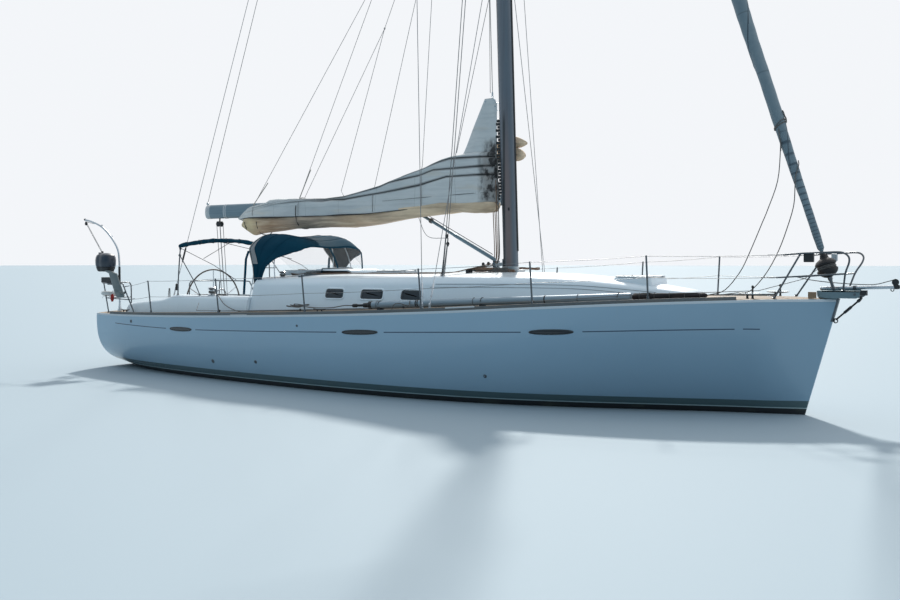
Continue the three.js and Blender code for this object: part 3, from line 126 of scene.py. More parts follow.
# Hull: a moulded shell of white gelcoat, its base colour a cool blue-grey that paints in its shade, with a
# thin dark line under the sheer, a grey-green boot-top at the water and black antifouling below. Laid up in
# one mould, hollow under the coachroof and the cockpit.
class Finish:
    """A material and short calls that add to its node tree."""

    def __init__(self, name, colour, roughness, metallic=0.0, coat=0.0, sheen=0.0, clear=0.0):
        self.material = bpy.data.materials.new(name)
        self.material.use_nodes = True
        self.nodes = self.material.node_tree.nodes
        self.links = self.material.node_tree.links
        self.shader = self.nodes["Principled BSDF"]
        self.put("Base Color", colour)
        self.put("Roughness", roughness)
        self.put("Metallic", metallic)
        self.put("Coat Weight", coat)
        self.put("Sheen Weight", sheen)
        self.put("Transmission Weight", clear)

    def put(self, name, value, node=None):
        """Sets an input of the shader, or of another node, to a number, a colour or a link."""
        socket = (node or self.shader).inputs[name]
        if isinstance(value, bpy.types.NodeSocket):
            self.links.new(value, socket)
        elif socket.type == "RGBA":
            socket.default_value = (*value[:3], 1.0)
        else:
            socket.default_value = value
        return self

    def node(self, kind, inputs, **settings):
        made = self.nodes.new(kind)
        for key, value in settings.items():
            setattr(made, key, value)
        for key, value in inputs.items():
            self.put(key, value, made)
        return made

    def place(self, which="Object", stretch=(1, 1, 1)):
        """Where a point of the surface is: in the boat, or on the piece's own pattern."""
        at = self.nodes.new("ShaderNodeTexCoord").outputs[which]
        return self.node("ShaderNodeMapping", {"Vector": at, "Scale": stretch}).outputs[0]

    def noise(self, scale, stretch=(1, 1, 1), detail=4.0, which="Object"):
        return self.node("ShaderNodeTexNoise", {"Vector": self.place(which, stretch), "Scale": scale,
                                                "Detail": detail}).outputs["Fac"]

    def split(self, which="Object"):
        parts = self.node("ShaderNodeSeparateXYZ", {"Vector": self.place(which)})
        return parts.outputs["X"], parts.outputs["Y"], parts.outputs["Z"]

    def maths(self, operation, first, second=0.0):
        return self.node("ShaderNodeMath", {0: first, 1: second}, operation=operation).outputs[0]

    def span(self, value, start, end, low=0.0, high=1.0):
        """Carries a value from the range start..end to low..high, held at both ends."""
        return self.node("ShaderNodeMapRange", {"Value": value, "From Min": start, "From Max": end,
                                                "To Min": low, "To Max": high}).outputs["Result"]

    def within(self, value, start, end, soft=0.0005):
        """1 between start and end, 0 outside."""
        rise = self.span(value, start - soft, start + soft)
        fall = self.span(value, end - soft, end + soft, 1.0, 0.0)
        return self.maths("MULTIPLY", rise, fall)

    def mix(self, share, first, second):
        blend = self.node("ShaderNodeMix", {}, data_type="RGBA")
        self.put(0, share, blend)
        self.put(6, first, blend)
        self.put(7, second, blend)
        return blend.outputs[2]

    def tint(self, share, colour):
        """Mixes a colour over what the base colour is so far."""
        socket = self.shader.inputs["Base Color"]
        under = socket.links[0].from_socket if socket.links else tuple(socket.default_value)
        return self.put("Base Color", self.mix(share, under, colour))

    def rough(self, value, low, high):
        return self.put("Roughness", self.span(value, 0.3, 0.7, low, high))

    def bump(self, height, depth, strength=1.0):
        socket = self.shader.inputs["Normal"]
        inputs = {"Height": height, "Distance": depth, "Strength": strength}
        if socket.links:
            inputs["Normal"] = socket.links[0].from_socket
        return self.put("Normal", self.node("ShaderNodeBump", inputs).outputs[0])


def spline(points, steps):
    """A smooth line through the points, with so many steps between each two."""
    p = [Vector(q) for q in points]
    p = [p[0] * 2 - p[1], *p, p[-1] * 2 - p[-2]]
    line = []
    for i in range(1, len(p) - 2):
        for k in range(steps):
            t = k / steps
            line.append(0.5 * ((2 * p[i]) + (p[i + 1] - p[i - 1]) * t
                               + (2 * p[i - 1] - 5 * p[i] + 4 * p[i + 1] - p[i + 2]) * t * t
                               + (3 * p[i] - p[i - 1] - 3 * p[i + 1] + p[i + 2]) * t ** 3))
    return [*line, p[-2]]


class Shape:
    """Corners and faces of one piece, gathered from simple forms."""

    def __init__(self):
        self.corners = []
        self.faces = []
        self.marks = []

    def add(self, corners, faces, marks=None):
        start = len(self.corners)
        self.corners += [tuple(c) for c in corners]
        self.faces += [tuple(start + i for i in face) for face in faces]
        self.marks += list(marks) if marks else [(c[0], c[1]) for c in corners]
        return self

    def loft(self, rings, ends=True, looped=True, marks=None):
        """Skin over rings with equal counts of points. Ends are closed with flat faces."""
        count = len(rings[0])
        span = count if looped else count - 1
        faces = []
        for i in range(len(rings) - 1):
            for j in range(span):
                k = (j + 1) % count
                faces.append((i * count + j, i * count + k, (i + 1) * count + k, (i + 1) * count + j))
        if ends:
            faces.append(tuple(range(count))[::-1])
            faces.append(tuple((len(rings) - 1) * count + j for j in range(count)))
        return self.add([c for ring in rings for c in ring], faces, marks)

    def tube(self, line, radius, sides=10):
        """Round tube along a line, its radius one number or one for each point."""
        line = [Vector(p) for p in line]
        radii = radius if hasattr(radius, "__len__") else [radius] * len(line)
        ahead = [(line[min(i + 1, len(line) - 1)] - line[max(i - 1, 0)]).normalized()
                 for i in range(len(line))]
        across = ahead[0].orthogonal().normalized()
        rings = []
        for point, way, size in zip(line, ahead, radii):
            across = (across - way * across.dot(way)).normalized()
            beside = way.cross(across)
            rings.append([point + (across * math.cos(a) + beside * math.sin(a)) * size
                          for a in (math.tau * k / sides for k in range(sides))])
        return self.loft(rings)

    def turned(self, profile, base, axis=(0, 0, 1), sides=28):
        """Turned form: profile of (radius, height) along the axis from its base."""
        turn = Vector((0, 0, 1)).rotation_difference(Vector(axis)).to_matrix()
        rings = [[Vector(base) + turn @ Vector((max(r, 1e-4) * math.cos(a), max(r, 1e-4) * math.sin(a), h))
                  for a in (math.tau * k / sides for k in range(sides))] for r, h in profile]
        return self.loft(rings)

    def bar(self, low, high, place=None):
        """Box between two corners, carried by a matrix if one is given."""
        (x0, y0, z0), (x1, y1, z1) = low, high
        corners = [Vector((x, y, z)) for x in (x0, x1) for y in (y0, y1) for z in (z0, z1)]
        if place is not None:
            corners = [place @ c for c in corners]
        return self.add(corners, [(0, 1, 3, 2), (4, 6, 7, 5), (0, 4, 5, 1), (2, 3, 7, 6), (0, 2, 6, 4),
                                  (1, 5, 7, 3)])

    def ring(self, centre, axis, radius, thick, sides=40, round_sides=10):
        """Round ring lying square to its axis."""
        turn = Vector((0, 0, 1)).rotation_difference(Vector(axis)).to_matrix()
        rings = []
        for a in (math.tau * k / sides for k in range(sides)):
            out = Vector((math.cos(a), math.sin(a), 0))
            rings.append([Vector(centre) + turn @ (out * (radius + thick * math.cos(b))
                                                   + Vector((0, 0, thick * math.sin(b))))
                          for b in (math.tau * m / round_sides for m in range(round_sides))])
        rings.append(rings[0])
        return self.loft(rings, ends=False)

    def mirrored(self):
        """The same form again on the other side of the centreline."""
        self.add([(x, -y, z) for x, y, z in self.corners], [face[::-1] for face in self.faces],
                 list(self.marks))
        return self

    def piece(self, name, finish, body="hull_and_rig", slot=None, bevel=0.0, sharp=38.0, replaces=()):
        """Makes the piece, dresses it and lets it ride on its body."""
        mesh = bpy.data.meshes.new(name)
        mesh.from_pydata(self.corners, [], self.faces)
        pattern = mesh.uv_layers.new(name="pattern")
        for corner in mesh.loops:
            pattern.data[corner.index].uv = self.marks[corner.vertex_index]
        tidy = bmesh.new()
        tidy.from_mesh(mesh)
        bmesh.ops.remove_doubles(tidy, verts=tidy.verts, dist=1e-5)
        bmesh.ops.recalc_face_normals(tidy, faces=tidy.faces)
        tidy.to_mesh(mesh)
        tidy.free()
        mesh.shade_smooth()
        mesh.set_sharp_from_angle(angle=math.radians(sharp))
        made = bpy.data.objects.new(name, mesh)
        scene.collection.objects.link(made)
        mesh.materials.append(finish.material)
        if bevel:
            edges = made.modifiers.new("soft_edges", "BEVEL")
            edges.width = bevel
            edges.segments = 2
            edges.limit_method = "ANGLE"
            edges.harden_normals = True
        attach(made, body)
        if replaces:
            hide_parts(*replaces)
        return made


def along(table, x, column):
    """Smooth value of a table's column at x, by a cubic through its rows."""
    last = len(table) - 2
    i = max(0, min(last, sum(row[0] <= x for row in table) - 1))

    def slope(k):
        before, after = table[max(k - 1, 0)], table[min(k + 1, last + 1)]
        return (after[column] - before[column]) / (after[0] - before[0])

    a, b = table[i], table[i + 1]
    span = b[0] - a[0]
    t = (x - a[0]) / span
    rest = 1 - t
    return (a[column] * (1 + 2 * t) * rest * rest + b[column] * (3 - 2 * t) * t * t
            + span * (slope(i) * t * rest * rest - slope(i + 1) * t * t * rest))


# Columns: x, half beam, sheer height, keel depth, fullness of the section
STATIONS = [
    (-7.25, 1.56, 1.120, 0.02, 3.0), (-6.0, 1.78, 1.130, -0.17, 2.9), (-4.0, 2.00, 1.180, -0.42, 2.8),
    (-2.0, 2.14, 1.250, -0.58, 2.75), (0.0, 2.20, 1.330, -0.66, 2.7), (2.0, 2.13, 1.430, -0.64, 2.4),
    (3.5, 1.90, 1.520, -0.55, 2.0), (5.0, 1.40, 1.600, -0.38, 1.65), (6.2, 0.78, 1.645, -0.17, 1.5),
]
BEAM, SHEER, KEEL, FULL = 1, 2, 3, 4
STERN_X = -7.25
BOW_X = 6.2
DECK_THICK = 0.04
STEM_TOP = Vector((7.25, 0.015, 1.615))
STEM_FOOT = Vector((6.79, 0.015, -0.05))


def hull_point(x, turn):
    """Point of the hull's port side: turn is 0 at the keel and a right angle at the deck."""
    top = along(STATIONS, x, SHEER) - DECK_THICK
    power = 2 / along(STATIONS, x, FULL)
    return Vector((x, along(STATIONS, x, BEAM) * math.sin(turn) ** power,
                   top - (top - along(STATIONS, x, KEEL)) * math.cos(turn) ** power))


def bow_point(part, turn):
    """Port side of the bow, from the last station at part 0 to the stem at part 1."""
    start = hull_point(BOW_X, turn)
    run = (start - hull_point(BOW_X - 0.05, turn)) / 0.05
    end = STEM_TOP.lerp(STEM_FOOT, math.cos(turn))
    if turn == 0:
        end.y = 0
    length = end.x - start.x
    leave, arrive = run * length, (end - start) * 1.15
    t = part
    return (start * (2 * t ** 3 - 3 * t * t + 1) + leave * (t ** 3 - 2 * t * t + t)
            + end * (3 * t * t - 2 * t ** 3) + arrive * (t ** 3 - t * t))


def hull_half(x, z):
    """Half beam of the hull at x and height z, aft of the bow's last station."""
    top = along(STATIONS, x, SHEER) - DECK_THICK
    full = along(STATIONS, x, FULL)
    down = max(0.0, (top - z) / (top - along(STATIONS, x, KEEL)))
    return along(STATIONS, x, BEAM) * max(0.0, 1 - down ** full) ** (1 / full)


# Columns: x, how far the dark line runs below the sheer
LINE_DROP = [(-7.25, 0.15), (-6.58, 0.178), (-4.8, 0.245), (-3.5, 0.27), (0.0, 0.30), (2.1, 0.33),
             (4.0, 0.385), (6.1, 0.41), (7.25, 0.42)]
# Lens-shaped ports along that line: middle and half length
PORTS = [(-4.15, 0.33), (0.40, 0.36), (3.70, 0.31)]
LINE_ENDS = (-6.45, 6.06)
LINE_DASH = (6.16, 6.36)


def line_height(x):
    return along(STATIONS, min(x, BOW_X), SHEER) - along(LINE_DROP, x, 1)


GIRTH_STEPS = 40
turns = [math.pi / 2 * (j / GIRTH_STEPS) for j in range(GIRTH_STEPS + 1)]
hull_columns = [[hull_point(STERN_X + (BOW_X - STERN_X) * i / 110, a) for a in turns] for i in range(111)]
hull_columns += [[bow_point(i / 14, a) for a in turns] for i in range(1, 15)]
rings, hull_marks = [], []
for column in hull_columns:
    ring = column + [Vector((p.x, -p.y, p.z)) for p in reversed(column[1:])]
    rings.append(ring)
    hull_marks += [(p.x, p.z - line_height(p.x)) for p in ring]
hull_shape = Shape().loft(rings, marks=hull_marks)

# Painted shade: the gelcoat's base colour is white darkened to the cool blue-grey of the shaded hull side.
gelcoat = Finish("white_gelcoat_in_painted_shade", (0.30, 0.455, 0.58), 0.22, coat=0.35)
hull_x, _, hull_z = gelcoat.split()
gelcoat.tint(gelcoat.span(gelcoat.noise(0.7, detail=3), 0.35, 0.75, 0.0, 0.25), (0.265, 0.41, 0.53))
gelcoat.tint(gelcoat.span(gelcoat.noise(3.0, (6, 6, 0.35)), 0.60, 0.85, 0.0, 0.22), (0.36, 0.44, 0.48))
gelcoat.tint(gelcoat.span(hull_z, 0.25, 0.9, 0.28, 0.0), (0.33, 0.45, 0.53))
# Painted shade: the hull darkens towards the bow.
gelcoat.tint(gelcoat.span(hull_x, 3.2, 7.0, 0.0, 0.85), (0.205, 0.335, 0.445))
line_at, line_off, _ = gelcoat.split("UV")
line_mask = gelcoat.within(line_off, -0.008, 0.008, 0.002)
line_run = gelcoat.maths("ADD", gelcoat.within(line_at, *LINE_ENDS), gelcoat.within(line_at, *LINE_DASH))
for middle, half_length in PORTS:
    clear = gelcoat.within(line_at, middle - half_length - 0.13, middle + half_length + 0.13)
    line_run = gelcoat.maths("SUBTRACT", line_run, clear)
line_mask = gelcoat.maths("MULTIPLY", line_mask, gelcoat.maths("MAXIMUM", line_run, 0.0))
gelcoat.tint(line_mask, (0.02, 0.045, 0.09))
BOOT_TOP = (0.10, 0.20)
PALE_BAND = (0.085, 0.10)
grime = gelcoat.noise(2.2, (1, 1, 3))
gelcoat.tint(gelcoat.within(hull_z, *BOOT_TOP, 0.003), (0.07, 0.12, 0.13))
gelcoat.tint(gelcoat.within(hull_z, *PALE_BAND, 0.002), (0.40, 0.50, 0.50))
gelcoat.tint(gelcoat.span(hull_z, PALE_BAND[0] + 0.002, PALE_BAND[0] - 0.002), (0.012, 0.014, 0.016))
gelcoat.tint(gelcoat.maths("MULTIPLY", gelcoat.span(grime, 0.55, 0.75, 0.0, 0.5),
                           gelcoat.span(hull_z, 0.22, 0.02)), (0.10, 0.12, 0.08))
gelcoat.put("Roughness", gelcoat.span(hull_z, 0.08, 0.11, 0.65, 0.24))
gelcoat.bump(gelcoat.noise(1.3, detail=2), 0.004, 0.25)


def cavity(xs, floor_z, wall=0.06):
    """Inside of the cabin between the stations, open at the top."""
    rings = []
    for x in xs:
        top = along(STATIONS, x, SHEER) + 0.02
        heights = [floor_z + (top - 0.07 - floor_z) * k / 8 for k in range(9)]
        side = [(hull_half(x, z) - wall, z) for z in heights]
        side.append((side[-1][0], top))
        rings.append([(x, y, z) for y, z in side] + [(x, -y, z) for y, z in reversed(side)])
    return Shape().loft(rings)


def carve(piece, cutters):
    """Cuts the cutters' forms out of a piece and leaves a plain mesh."""
    for cutter in cutters:
        tool = cutter.piece("cutter", gelcoat)
        cut = piece.modifiers.new("cut", "BOOLEAN")
        cut.operation = "DIFFERENCE"
        cut.solver = "EXACT"
        cut.object = tool
        bpy.context.view_layer.update()
        result = bpy.data.meshes.new_from_object(piece.evaluated_get(bpy.context.evaluated_depsgraph_get()))
        piece.modifiers.clear()
        piece.data = result
        bpy.data.objects.remove(tool)
    return piece


def spaced(start, end, count):
    return [start + (end - start) * i / (count - 1) for i in range(count)]


cockpit_pocket = Shape().bar((-6.651, -1.121, 0.389), (-3.009, 1.121, 2.0))
LOCKER = [(5.64, 0.26), (6.31, 0.17)]


def locker_block(grow, low, high):
    """Anchor locker's tapered outline between two heights."""
    (aft, aft_half), (fore, fore_half) = LOCKER
    plan = [(aft - grow, -aft_half - grow), (fore + grow, -fore_half - grow),
            (fore + grow, fore_half + grow), (aft - grow, aft_half + grow)]
    return Shape().loft([[(x, y, z) for x, y in plan] for z in (low, high)])


hull = hull_shape.piece("hull_shell", gelcoat, slot="gelcoat", replaces=("hull",))
carve(hull, [cavity(spaced(-2.85, 3.5, 14), -0.33), cavity(spaced(3.44, 5.3, 6), 0.35), cockpit_pocket,
             locker_block(0.0, 1.05, 1.7)])
hull.data.shade_smooth()
hull.data.set_sharp_from_angle(angle=math.radians(38))


# Hull ports and outlets: long lens-shaped panes of dark glass bonded into the topsides in a thin rubber
# frame, three on each side, and small moulded skin fittings where drains leave the hull.
port_glass = Finish("port_glass", (0.012, 0.016, 0.022), 0.08, coat=0.4)
port_glass.rough(port_glass.noise(30.0), 0.05, 0.12)
port_rubber = Finish("port_rubber", (0.05, 0.055, 0.06), 0.6)
port_rubber.bump(port_rubber.noise(300.0), 0.0005, 0.3)


def lens(middle, half_length, half_height, side, grow, rise):
    """One closed line round a port, grown by so much and standing off the hull by rise."""
    ring = []
    for k in range(40):
        a = math.tau * k / 40
        reach, lift = math.cos(a), math.sin(a)
        x = middle + (half_length + grow) * math.copysign(abs(reach) ** 0.85, reach)
        z = line_height(x) + (half_height + grow) * math.copysign(abs(lift) ** 0.8, lift)
        ring.append((x, side * (hull_half(x, z) + rise), z))
    return ring


PORT_HALF_HEIGHT = 0.029
for side, word in ((1, "port"), (-1, "starboard")):
    for number, (middle, half_length) in enumerate(PORTS, 1):
        place = (middle, half_length, PORT_HALF_HEIGHT, side)
        steps = [(0.0, -0.02), (0.0, 0.003), (-0.012, 0.006), (-0.03, 0.007), (-0.05, 0.0075)]
        pane = Shape().loft([lens(*place, grow, rise) for grow, rise in steps])
        pane.piece(f"hull_port_{word}_{number}", port_glass, slot="tinted")
        steps = [(0.012, -0.01), (0.012, 0.004), (0.006, 0.008), (-0.002, 0.008), (-0.002, -0.01)]
        rim = Shape().loft([lens(*place, grow, rise) for grow, rise in steps], ends=False)
        rim.piece(f"hull_port_rim_{word}_{number}", port_rubber)

OUTLETS = [(-5.82, 1.00, 0.022), (-0.98, 1.10, 0.014), (-3.3, 0.36, 0.026), (-2.1, 0.42, 0.022),
           (2.6, 0.45, 0.02)]
outlets = Shape()
for x, z, radius in OUTLETS:
    y = hull_half(x, z)
    slope = (hull_half(x, z + 0.05) - hull_half(x, z - 0.05)) / 0.1
    out = Vector((0, 1, -slope)).normalized()
    outlets.turned([(radius * 1.5, -0.01), (radius * 1.5, 0.003), (radius * 1.2, 0.008), (radius, 0.008),
                    (radius * 0.9, 0.001)], (x, y, z), out, 18)
outlets.mirrored()
skin_metal = Finish("skin_fitting_metal", (0.16, 0.17, 0.18), 0.4, 0.8)
skin_metal.rough(skin_metal.noise(60.0), 0.3, 0.55)
outlets.piece("hull_outlets", skin_metal, slot="steel")


# Transom: the flat stern is closed by a moulded panel that lies flush in a dark joint, with a folded
# ladder of stainless tube and an exhaust flap under it. Panel of gelcoat, treads of teak.
TRANSOM_X = STERN_X


def rounded(half_wide, half_high, radius, steps=5):
    """Outline of a rectangle with round corners, as pairs about its middle."""
    line = []
    for cx, cy, start in ((1, 1, 0), (-1, 1, 1), (-1, -1, 2), (1, -1, 3)):
        for k in range(steps + 1):
            a = math.pi / 2 * (start + k / steps)
            line.append((cx * (half_wide - radius) + radius * math.cos(a),
                         cy * (half_high - radius) + radius * math.sin(a)))
    return line


stern_panel = Shape().loft([[(TRANSOM_X + depth, y, 0.66 + z) for y,
                             z in rounded(1.02 + g, 0.31 + g, 0.12 + g)]
                            for g, depth in ((0.0, 0.02), (0.0, -0.012), (-0.012, -0.02), (-0.6, -0.02))])
stern_panel.piece("transom_panel", gelcoat, slot="gelcoat")
stern_joint = Shape().loft([[(TRANSOM_X + depth, y, 0.66 + z) for y, z in rounded(1.035, 0.325, 0.13)]
                            for depth in (0.02, -0.003)])
stern_joint.piece("transom_joint", port_rubber)
stainless = Finish("polished_stainless", (0.62, 0.65, 0.68), 0.22, 1.0)
stainless.rough(stainless.noise(90.0, (1, 1, 6)), 0.16, 0.34)
stainless.tint(stainless.span(stainless.noise(9.0), 0.55, 0.8, 0.0, 0.45), (0.34, 0.37, 0.40))
ladder = Shape()
for y in (0.34, 0.66):
    ladder.tube(spline([(TRANSOM_X - 0.018, y, 0.40), (TRANSOM_X - 0.035, y, 0.44),
                        (TRANSOM_X - 0.035, y, 0.9),
                        (TRANSOM_X - 0.018, y, 0.94)], 5), 0.011)
ladder.piece("stern_ladder", stainless, slot="steel")
teak = Finish("oiled_teak", (0.30, 0.19, 0.11), 0.62)
grain = teak.noise(9.0, (0.25, 7, 7), 6)
teak.tint(teak.span(grain, 0.35, 0.7, 0.0, 0.7), (0.17, 0.10, 0.055))
teak.tint(teak.span(teak.noise(2.0), 0.5, 0.8, 0.0, 0.35), (0.36, 0.30, 0.23))
teak.rough(grain, 0.55, 0.75)
teak.bump(grain, 0.0008, 0.5)
treads = Shape()
for z in (0.50, 0.62, 0.74, 0.86):
    treads.bar((TRANSOM_X - 0.05, 0.35, z - 0.018), (TRANSOM_X - 0.022, 0.65, z + 0.018))
treads.piece("stern_ladder_treads", teak, slot="teak", bevel=0.006)
flap = Shape().turned([(0.062, 0.0), (0.062, 0.012), (0.048, 0.02), (0.0, 0.022)], (TRANSOM_X, -0.75, 0.22),
                      (-1, 0, 0))
flap.piece("exhaust_flap", port_rubber)


# Deck: teak planks sprung along the deck edge inside a covering board, seams payed with black rubber,
# laid on the moulded deck. The narrow white strip at the edge is the moulding itself.
DECK_CROWN = 0.08
DECK_BEAM = 2.2


def deck_rise(half, y):
    """How far the crowned deck stands above the sheer at y, where its half width is half."""
    return DECK_CROWN * half / DECK_BEAM * (1 - min(1.0, abs(y) / half) ** 2)


def deck_top(x, y):
    return along(STATIONS, x, SHEER) + deck_rise(along(STATIONS, x, BEAM), y)


deck_rings, deck_marks = [], []
for column in hull_columns:
    edge = column[-1]
    low, high = edge.z + 0.0005, edge.z + DECK_THICK
    half = [(0.0, low), (edge.y, low), (edge.y, high - 0.012), (edge.y - 0.003, high - 0.004)]
    for k in range(1, 13):
        y = edge.y * (1 - k / 12)
        half.append((max(y - 0.004 * (k == 1), 0.0), high + deck_rise(edge.y, y)))
    ring = [(edge.x, y, z) for y, z in half] + [(edge.x, -y, z) for y, z in reversed(half[1:-1])]
    deck_rings.append(ring)
    deck_marks += [(x, edge.y - abs(y)) for x, y, z in ring]
deck_shape = Shape().loft(deck_rings, marks=deck_marks)

deck_teak = Finish("laid_teak_deck", (0.34, 0.27, 0.20), 0.7)
_, deck_v, _ = deck_teak.split("UV")
_, deck_y, _ = deck_teak.split()
deck_grain = deck_teak.noise(5.0, (0.5, 9, 9), 6)
deck_teak.tint(deck_teak.span(deck_grain, 0.3, 0.75, 0.0, 0.6), (0.22, 0.165, 0.115))
deck_teak.tint(deck_teak.span(deck_teak.noise(0.8), 0.45, 0.8, 0.0, 0.5), (0.42, 0.37, 0.30))
PLANK = 0.048
SEAM = 0.10
plank_part = deck_teak.maths("FRACT", deck_teak.maths("DIVIDE", deck_v, PLANK))
seam_mask = deck_teak.span(plank_part, SEAM + 0.02, SEAM - 0.02)
king_half = deck_teak.maths("ABSOLUTE", deck_y)
seam_mask = deck_teak.maths("MULTIPLY", seam_mask, deck_teak.span(king_half, 0.068, 0.071))
seam_mask = deck_teak.maths("MAXIMUM", seam_mask, deck_teak.within(king_half, 0.070, 0.076, 0.001))
seam_mask = deck_teak.maths("MULTIPLY", seam_mask, deck_teak.span(deck_v, 0.07, 0.072))
seam_mask = deck_teak.maths("MAXIMUM", seam_mask, deck_teak.within(deck_v, 0.098, 0.104, 0.001))
deck_teak.tint(seam_mask, (0.012, 0.012, 0.013))
deck_teak.tint(deck_teak.span(deck_v, 0.0125, 0.0115), (0.55, 0.62, 0.67))
deck_teak.rough(deck_grain, 0.62, 0.8)
deck_teak.bump(deck_teak.maths("SUBTRACT", deck_grain, seam_mask), 0.0015, 0.5)
deck = deck_shape.piece("laid_deck", deck_teak, slot="teak", replaces=("deck",))


# Coachroof: a white moulded cabin top, 45 mm thick, with soft edges all round, bonded to the deck. It is
# cut for three windows on each side, two hatches and the companionway.
# Columns: x, half width at the deck, half width of the edge, height of the edge, height of the crown
ROOF_STATIONS = [
    (-3.0, 1.400, 1.220, 1.790, 1.920), (-1.6, 1.430, 1.250, 1.800, 1.960), (0.0, 1.410, 1.230, 1.820, 1.970),
    (1.7, 1.270, 1.080, 1.850, 2.000), (2.9, 1.050, 0.850, 1.860, 1.985), (3.6, 0.860, 0.670, 1.850, 1.945),
    (4.4, 0.620, 0.440, 1.790, 1.860), (5.23, 0.400, 0.250, 1.715, 1.740),
]
FOOT, EDGE, EDGE_Z, CROWN = 1, 2, 3, 4
ROOF_AFT, ROOF_FORE = -3.0, 5.23
ROOF_WALL = 0.045
ROOF_DIP = 0.15


def roof_half(x, inset=0.0, lower=0.0):
    """Half section of the roof from the deck up, as pairs of y and z."""
    foot, edge, edge_z, crown = (along(ROOF_STATIONS, x, column) for column in (FOOT, EDGE, EDGE_Z, CROWN))
    foot_z = along(STATIONS, x, SHEER) - ROOF_DIP
    rise = crown - edge_z
    foot, edge = foot - inset, edge - inset
    edge_z, crown = edge_z - inset - lower, crown - inset - lower
    turn_y, turn_z = edge + (foot - edge) * 0.10, edge_z - (edge_z - foot_z) * 0.10
    top_y, top_z = edge - 0.09, edge_z + rise * 0.47
    points = [(foot, foot_z), (foot + (turn_y - foot) * 0.5, foot_z + (turn_z - foot_z) * 0.5)]
    for k in range(9):
        t = k / 8
        points.append(((1 - t) ** 2 * turn_y + 2 * t * (1 - t) * edge + t * t * top_y,
                       (1 - t) ** 2 * turn_z + 2 * t * (1 - t) * (edge_z + 0.004) + t * t * top_z))
    for k in range(1, 13):
        y = top_y * (1 - k / 12)
        points.append((y, crown - (crown - top_z) * (y / top_y) ** 2))
    return points


def roof_ring(x, inset=0.0, lower=0.0, at=None):
    half = roof_half(x, inset, lower)
    place = x if at is None else at
    return [(place, y, z) for y, z in half] + [(place, -y, z) for y, z in reversed(half[:-1])]


def roof_top(x, y):
    """Height of the roof at x and y, inside its edge."""
    half = roof_half(x)
    top = [p for p in half[10:]]
    return float(np.interp(abs(y), [p[0] for p in reversed(top)], [p[1] for p in reversed(top)]))


roof_rings = [roof_ring(ROOF_AFT + 0.03, 0.022, 0.0, ROOF_AFT),
              roof_ring(ROOF_AFT + 0.03, 0.006, 0.0, ROOF_AFT + 0.008)]
roof_rings += [roof_ring(x) for x in spaced(ROOF_AFT + 0.03, ROOF_FORE - 0.03, 64)]
roof_rings += [roof_ring(ROOF_FORE, 0.012, 0.0), roof_ring(ROOF_FORE, 0.035, 0.0, ROOF_FORE + 0.02)]
roof_inside = Shape().loft([roof_ring(x, ROOF_WALL, 0.0, x) for x in spaced(ROOF_AFT + ROOF_WALL,
        ROOF_FORE - 0.12, 30)])

WINDOWS = [(-1.14, -0.70), (-0.34, 0.16), (0.50, 0.94)]
WINDOW_LOW, WINDOW_HIGH = 1.54, 1.70
WINDOW_RAKE = 0.03


def window_line(start, end, grow, steps=5):
    """Rounded outline of a window, as pairs of x and z."""
    middle_x, middle_z = (start + end) / 2, (WINDOW_LOW + WINDOW_HIGH) / 2
    half_high = (WINDOW_HIGH - WINDOW_LOW) / 2 + grow
    line = []
    for dx, dz in rounded((end - start) / 2 - WINDOW_RAKE / 2 + grow, half_high, 0.045 + grow, steps):
        line.append((middle_x + dx * (1 - WINDOW_RAKE / 2 * dz / half_high), middle_z + dz))
    return line


def roof_side(x, z, rise, side):
    """Point on the cabin side at x and z, standing off it by rise."""
    foot, edge, edge_z = (along(ROOF_STATIONS, x, column) for column in (FOOT, EDGE, EDGE_Z))
    foot_z = along(STATIONS, x, SHEER) - ROOF_DIP
    return (x, side * (foot + (edge - foot) * (z - foot_z) / (edge_z - foot_z) + rise), z)


def window_rings(start, end, side, steps):
    return [[roof_side(x, z, rise, side) for x, z in window_line(start, end, grow)] for grow, rise in steps]


HATCHES = [("saloon_hatch", -0.55, 0.26, 1.990), ("fore_hatch", 4.25, 0.27, 1.925)]
HATCH_RIM = 0.045
roof_cuts = [roof_inside]
roof_cuts += [Shape().loft(window_rings(a, b, side, [(0.0, -0.12), (0.0, 0.05)]))
              for a, b in WINDOWS for side in (1, -1)]
roof_cuts += [Shape().bar((x - half, -half, top - 0.4), (x + half, half, top + 0.1))
              for _, x, half, top in HATCHES]
roof_cuts += [Shape().bar((-3.1, -0.33, 1.76), (-2.25, 0.33, 2.05)),
              Shape().bar((-3.1, -0.33, 1.29), (-2.8, 0.33, 1.97))]
roof_white = Finish("roof_gelcoat", (0.75, 0.85, 0.92), 0.38, coat=0.15)
_, roof_y, _ = roof_white.split()
roof_white.tint(roof_white.span(roof_white.noise(1.6), 0.4, 0.75, 0.0, 0.3), (0.67, 0.77, 0.85))
roof_white.tint(roof_white.span(roof_white.noise(7.0, (5, 5, 0.5)), 0.62, 0.85, 0.0, 0.25),
                (0.45, 0.46, 0.45))
tread = roof_white.node("ShaderNodeTexVoronoi", {"Vector": roof_white.place(), "Scale": 130.0})
roof_up = roof_white.node("ShaderNodeSeparateXYZ", {"Vector": roof_white.node(
    "ShaderNodeNewGeometry", {}).outputs["Normal"]}).outputs["Z"]
grip = roof_white.maths("MULTIPLY", roof_white.span(roof_up, 0.93, 0.97),
                        roof_white.within(roof_white.maths("ABSOLUTE", roof_y), 0.10, 0.95, 0.004))
roof_white.bump(roof_white.maths("MULTIPLY", tread.outputs["Distance"], grip), 0.0015, 0.7)
roof_white.tint(roof_white.maths("MULTIPLY", grip, 0.35), (0.50, 0.53, 0.54))
roof = Shape().loft(roof_rings).piece("cabin_top", roof_white, slot="roof", replaces=("coachroof",))
carve(roof, roof_cuts)
roof.data.shade_smooth()
roof.data.set_sharp_from_angle(angle=math.radians(32))
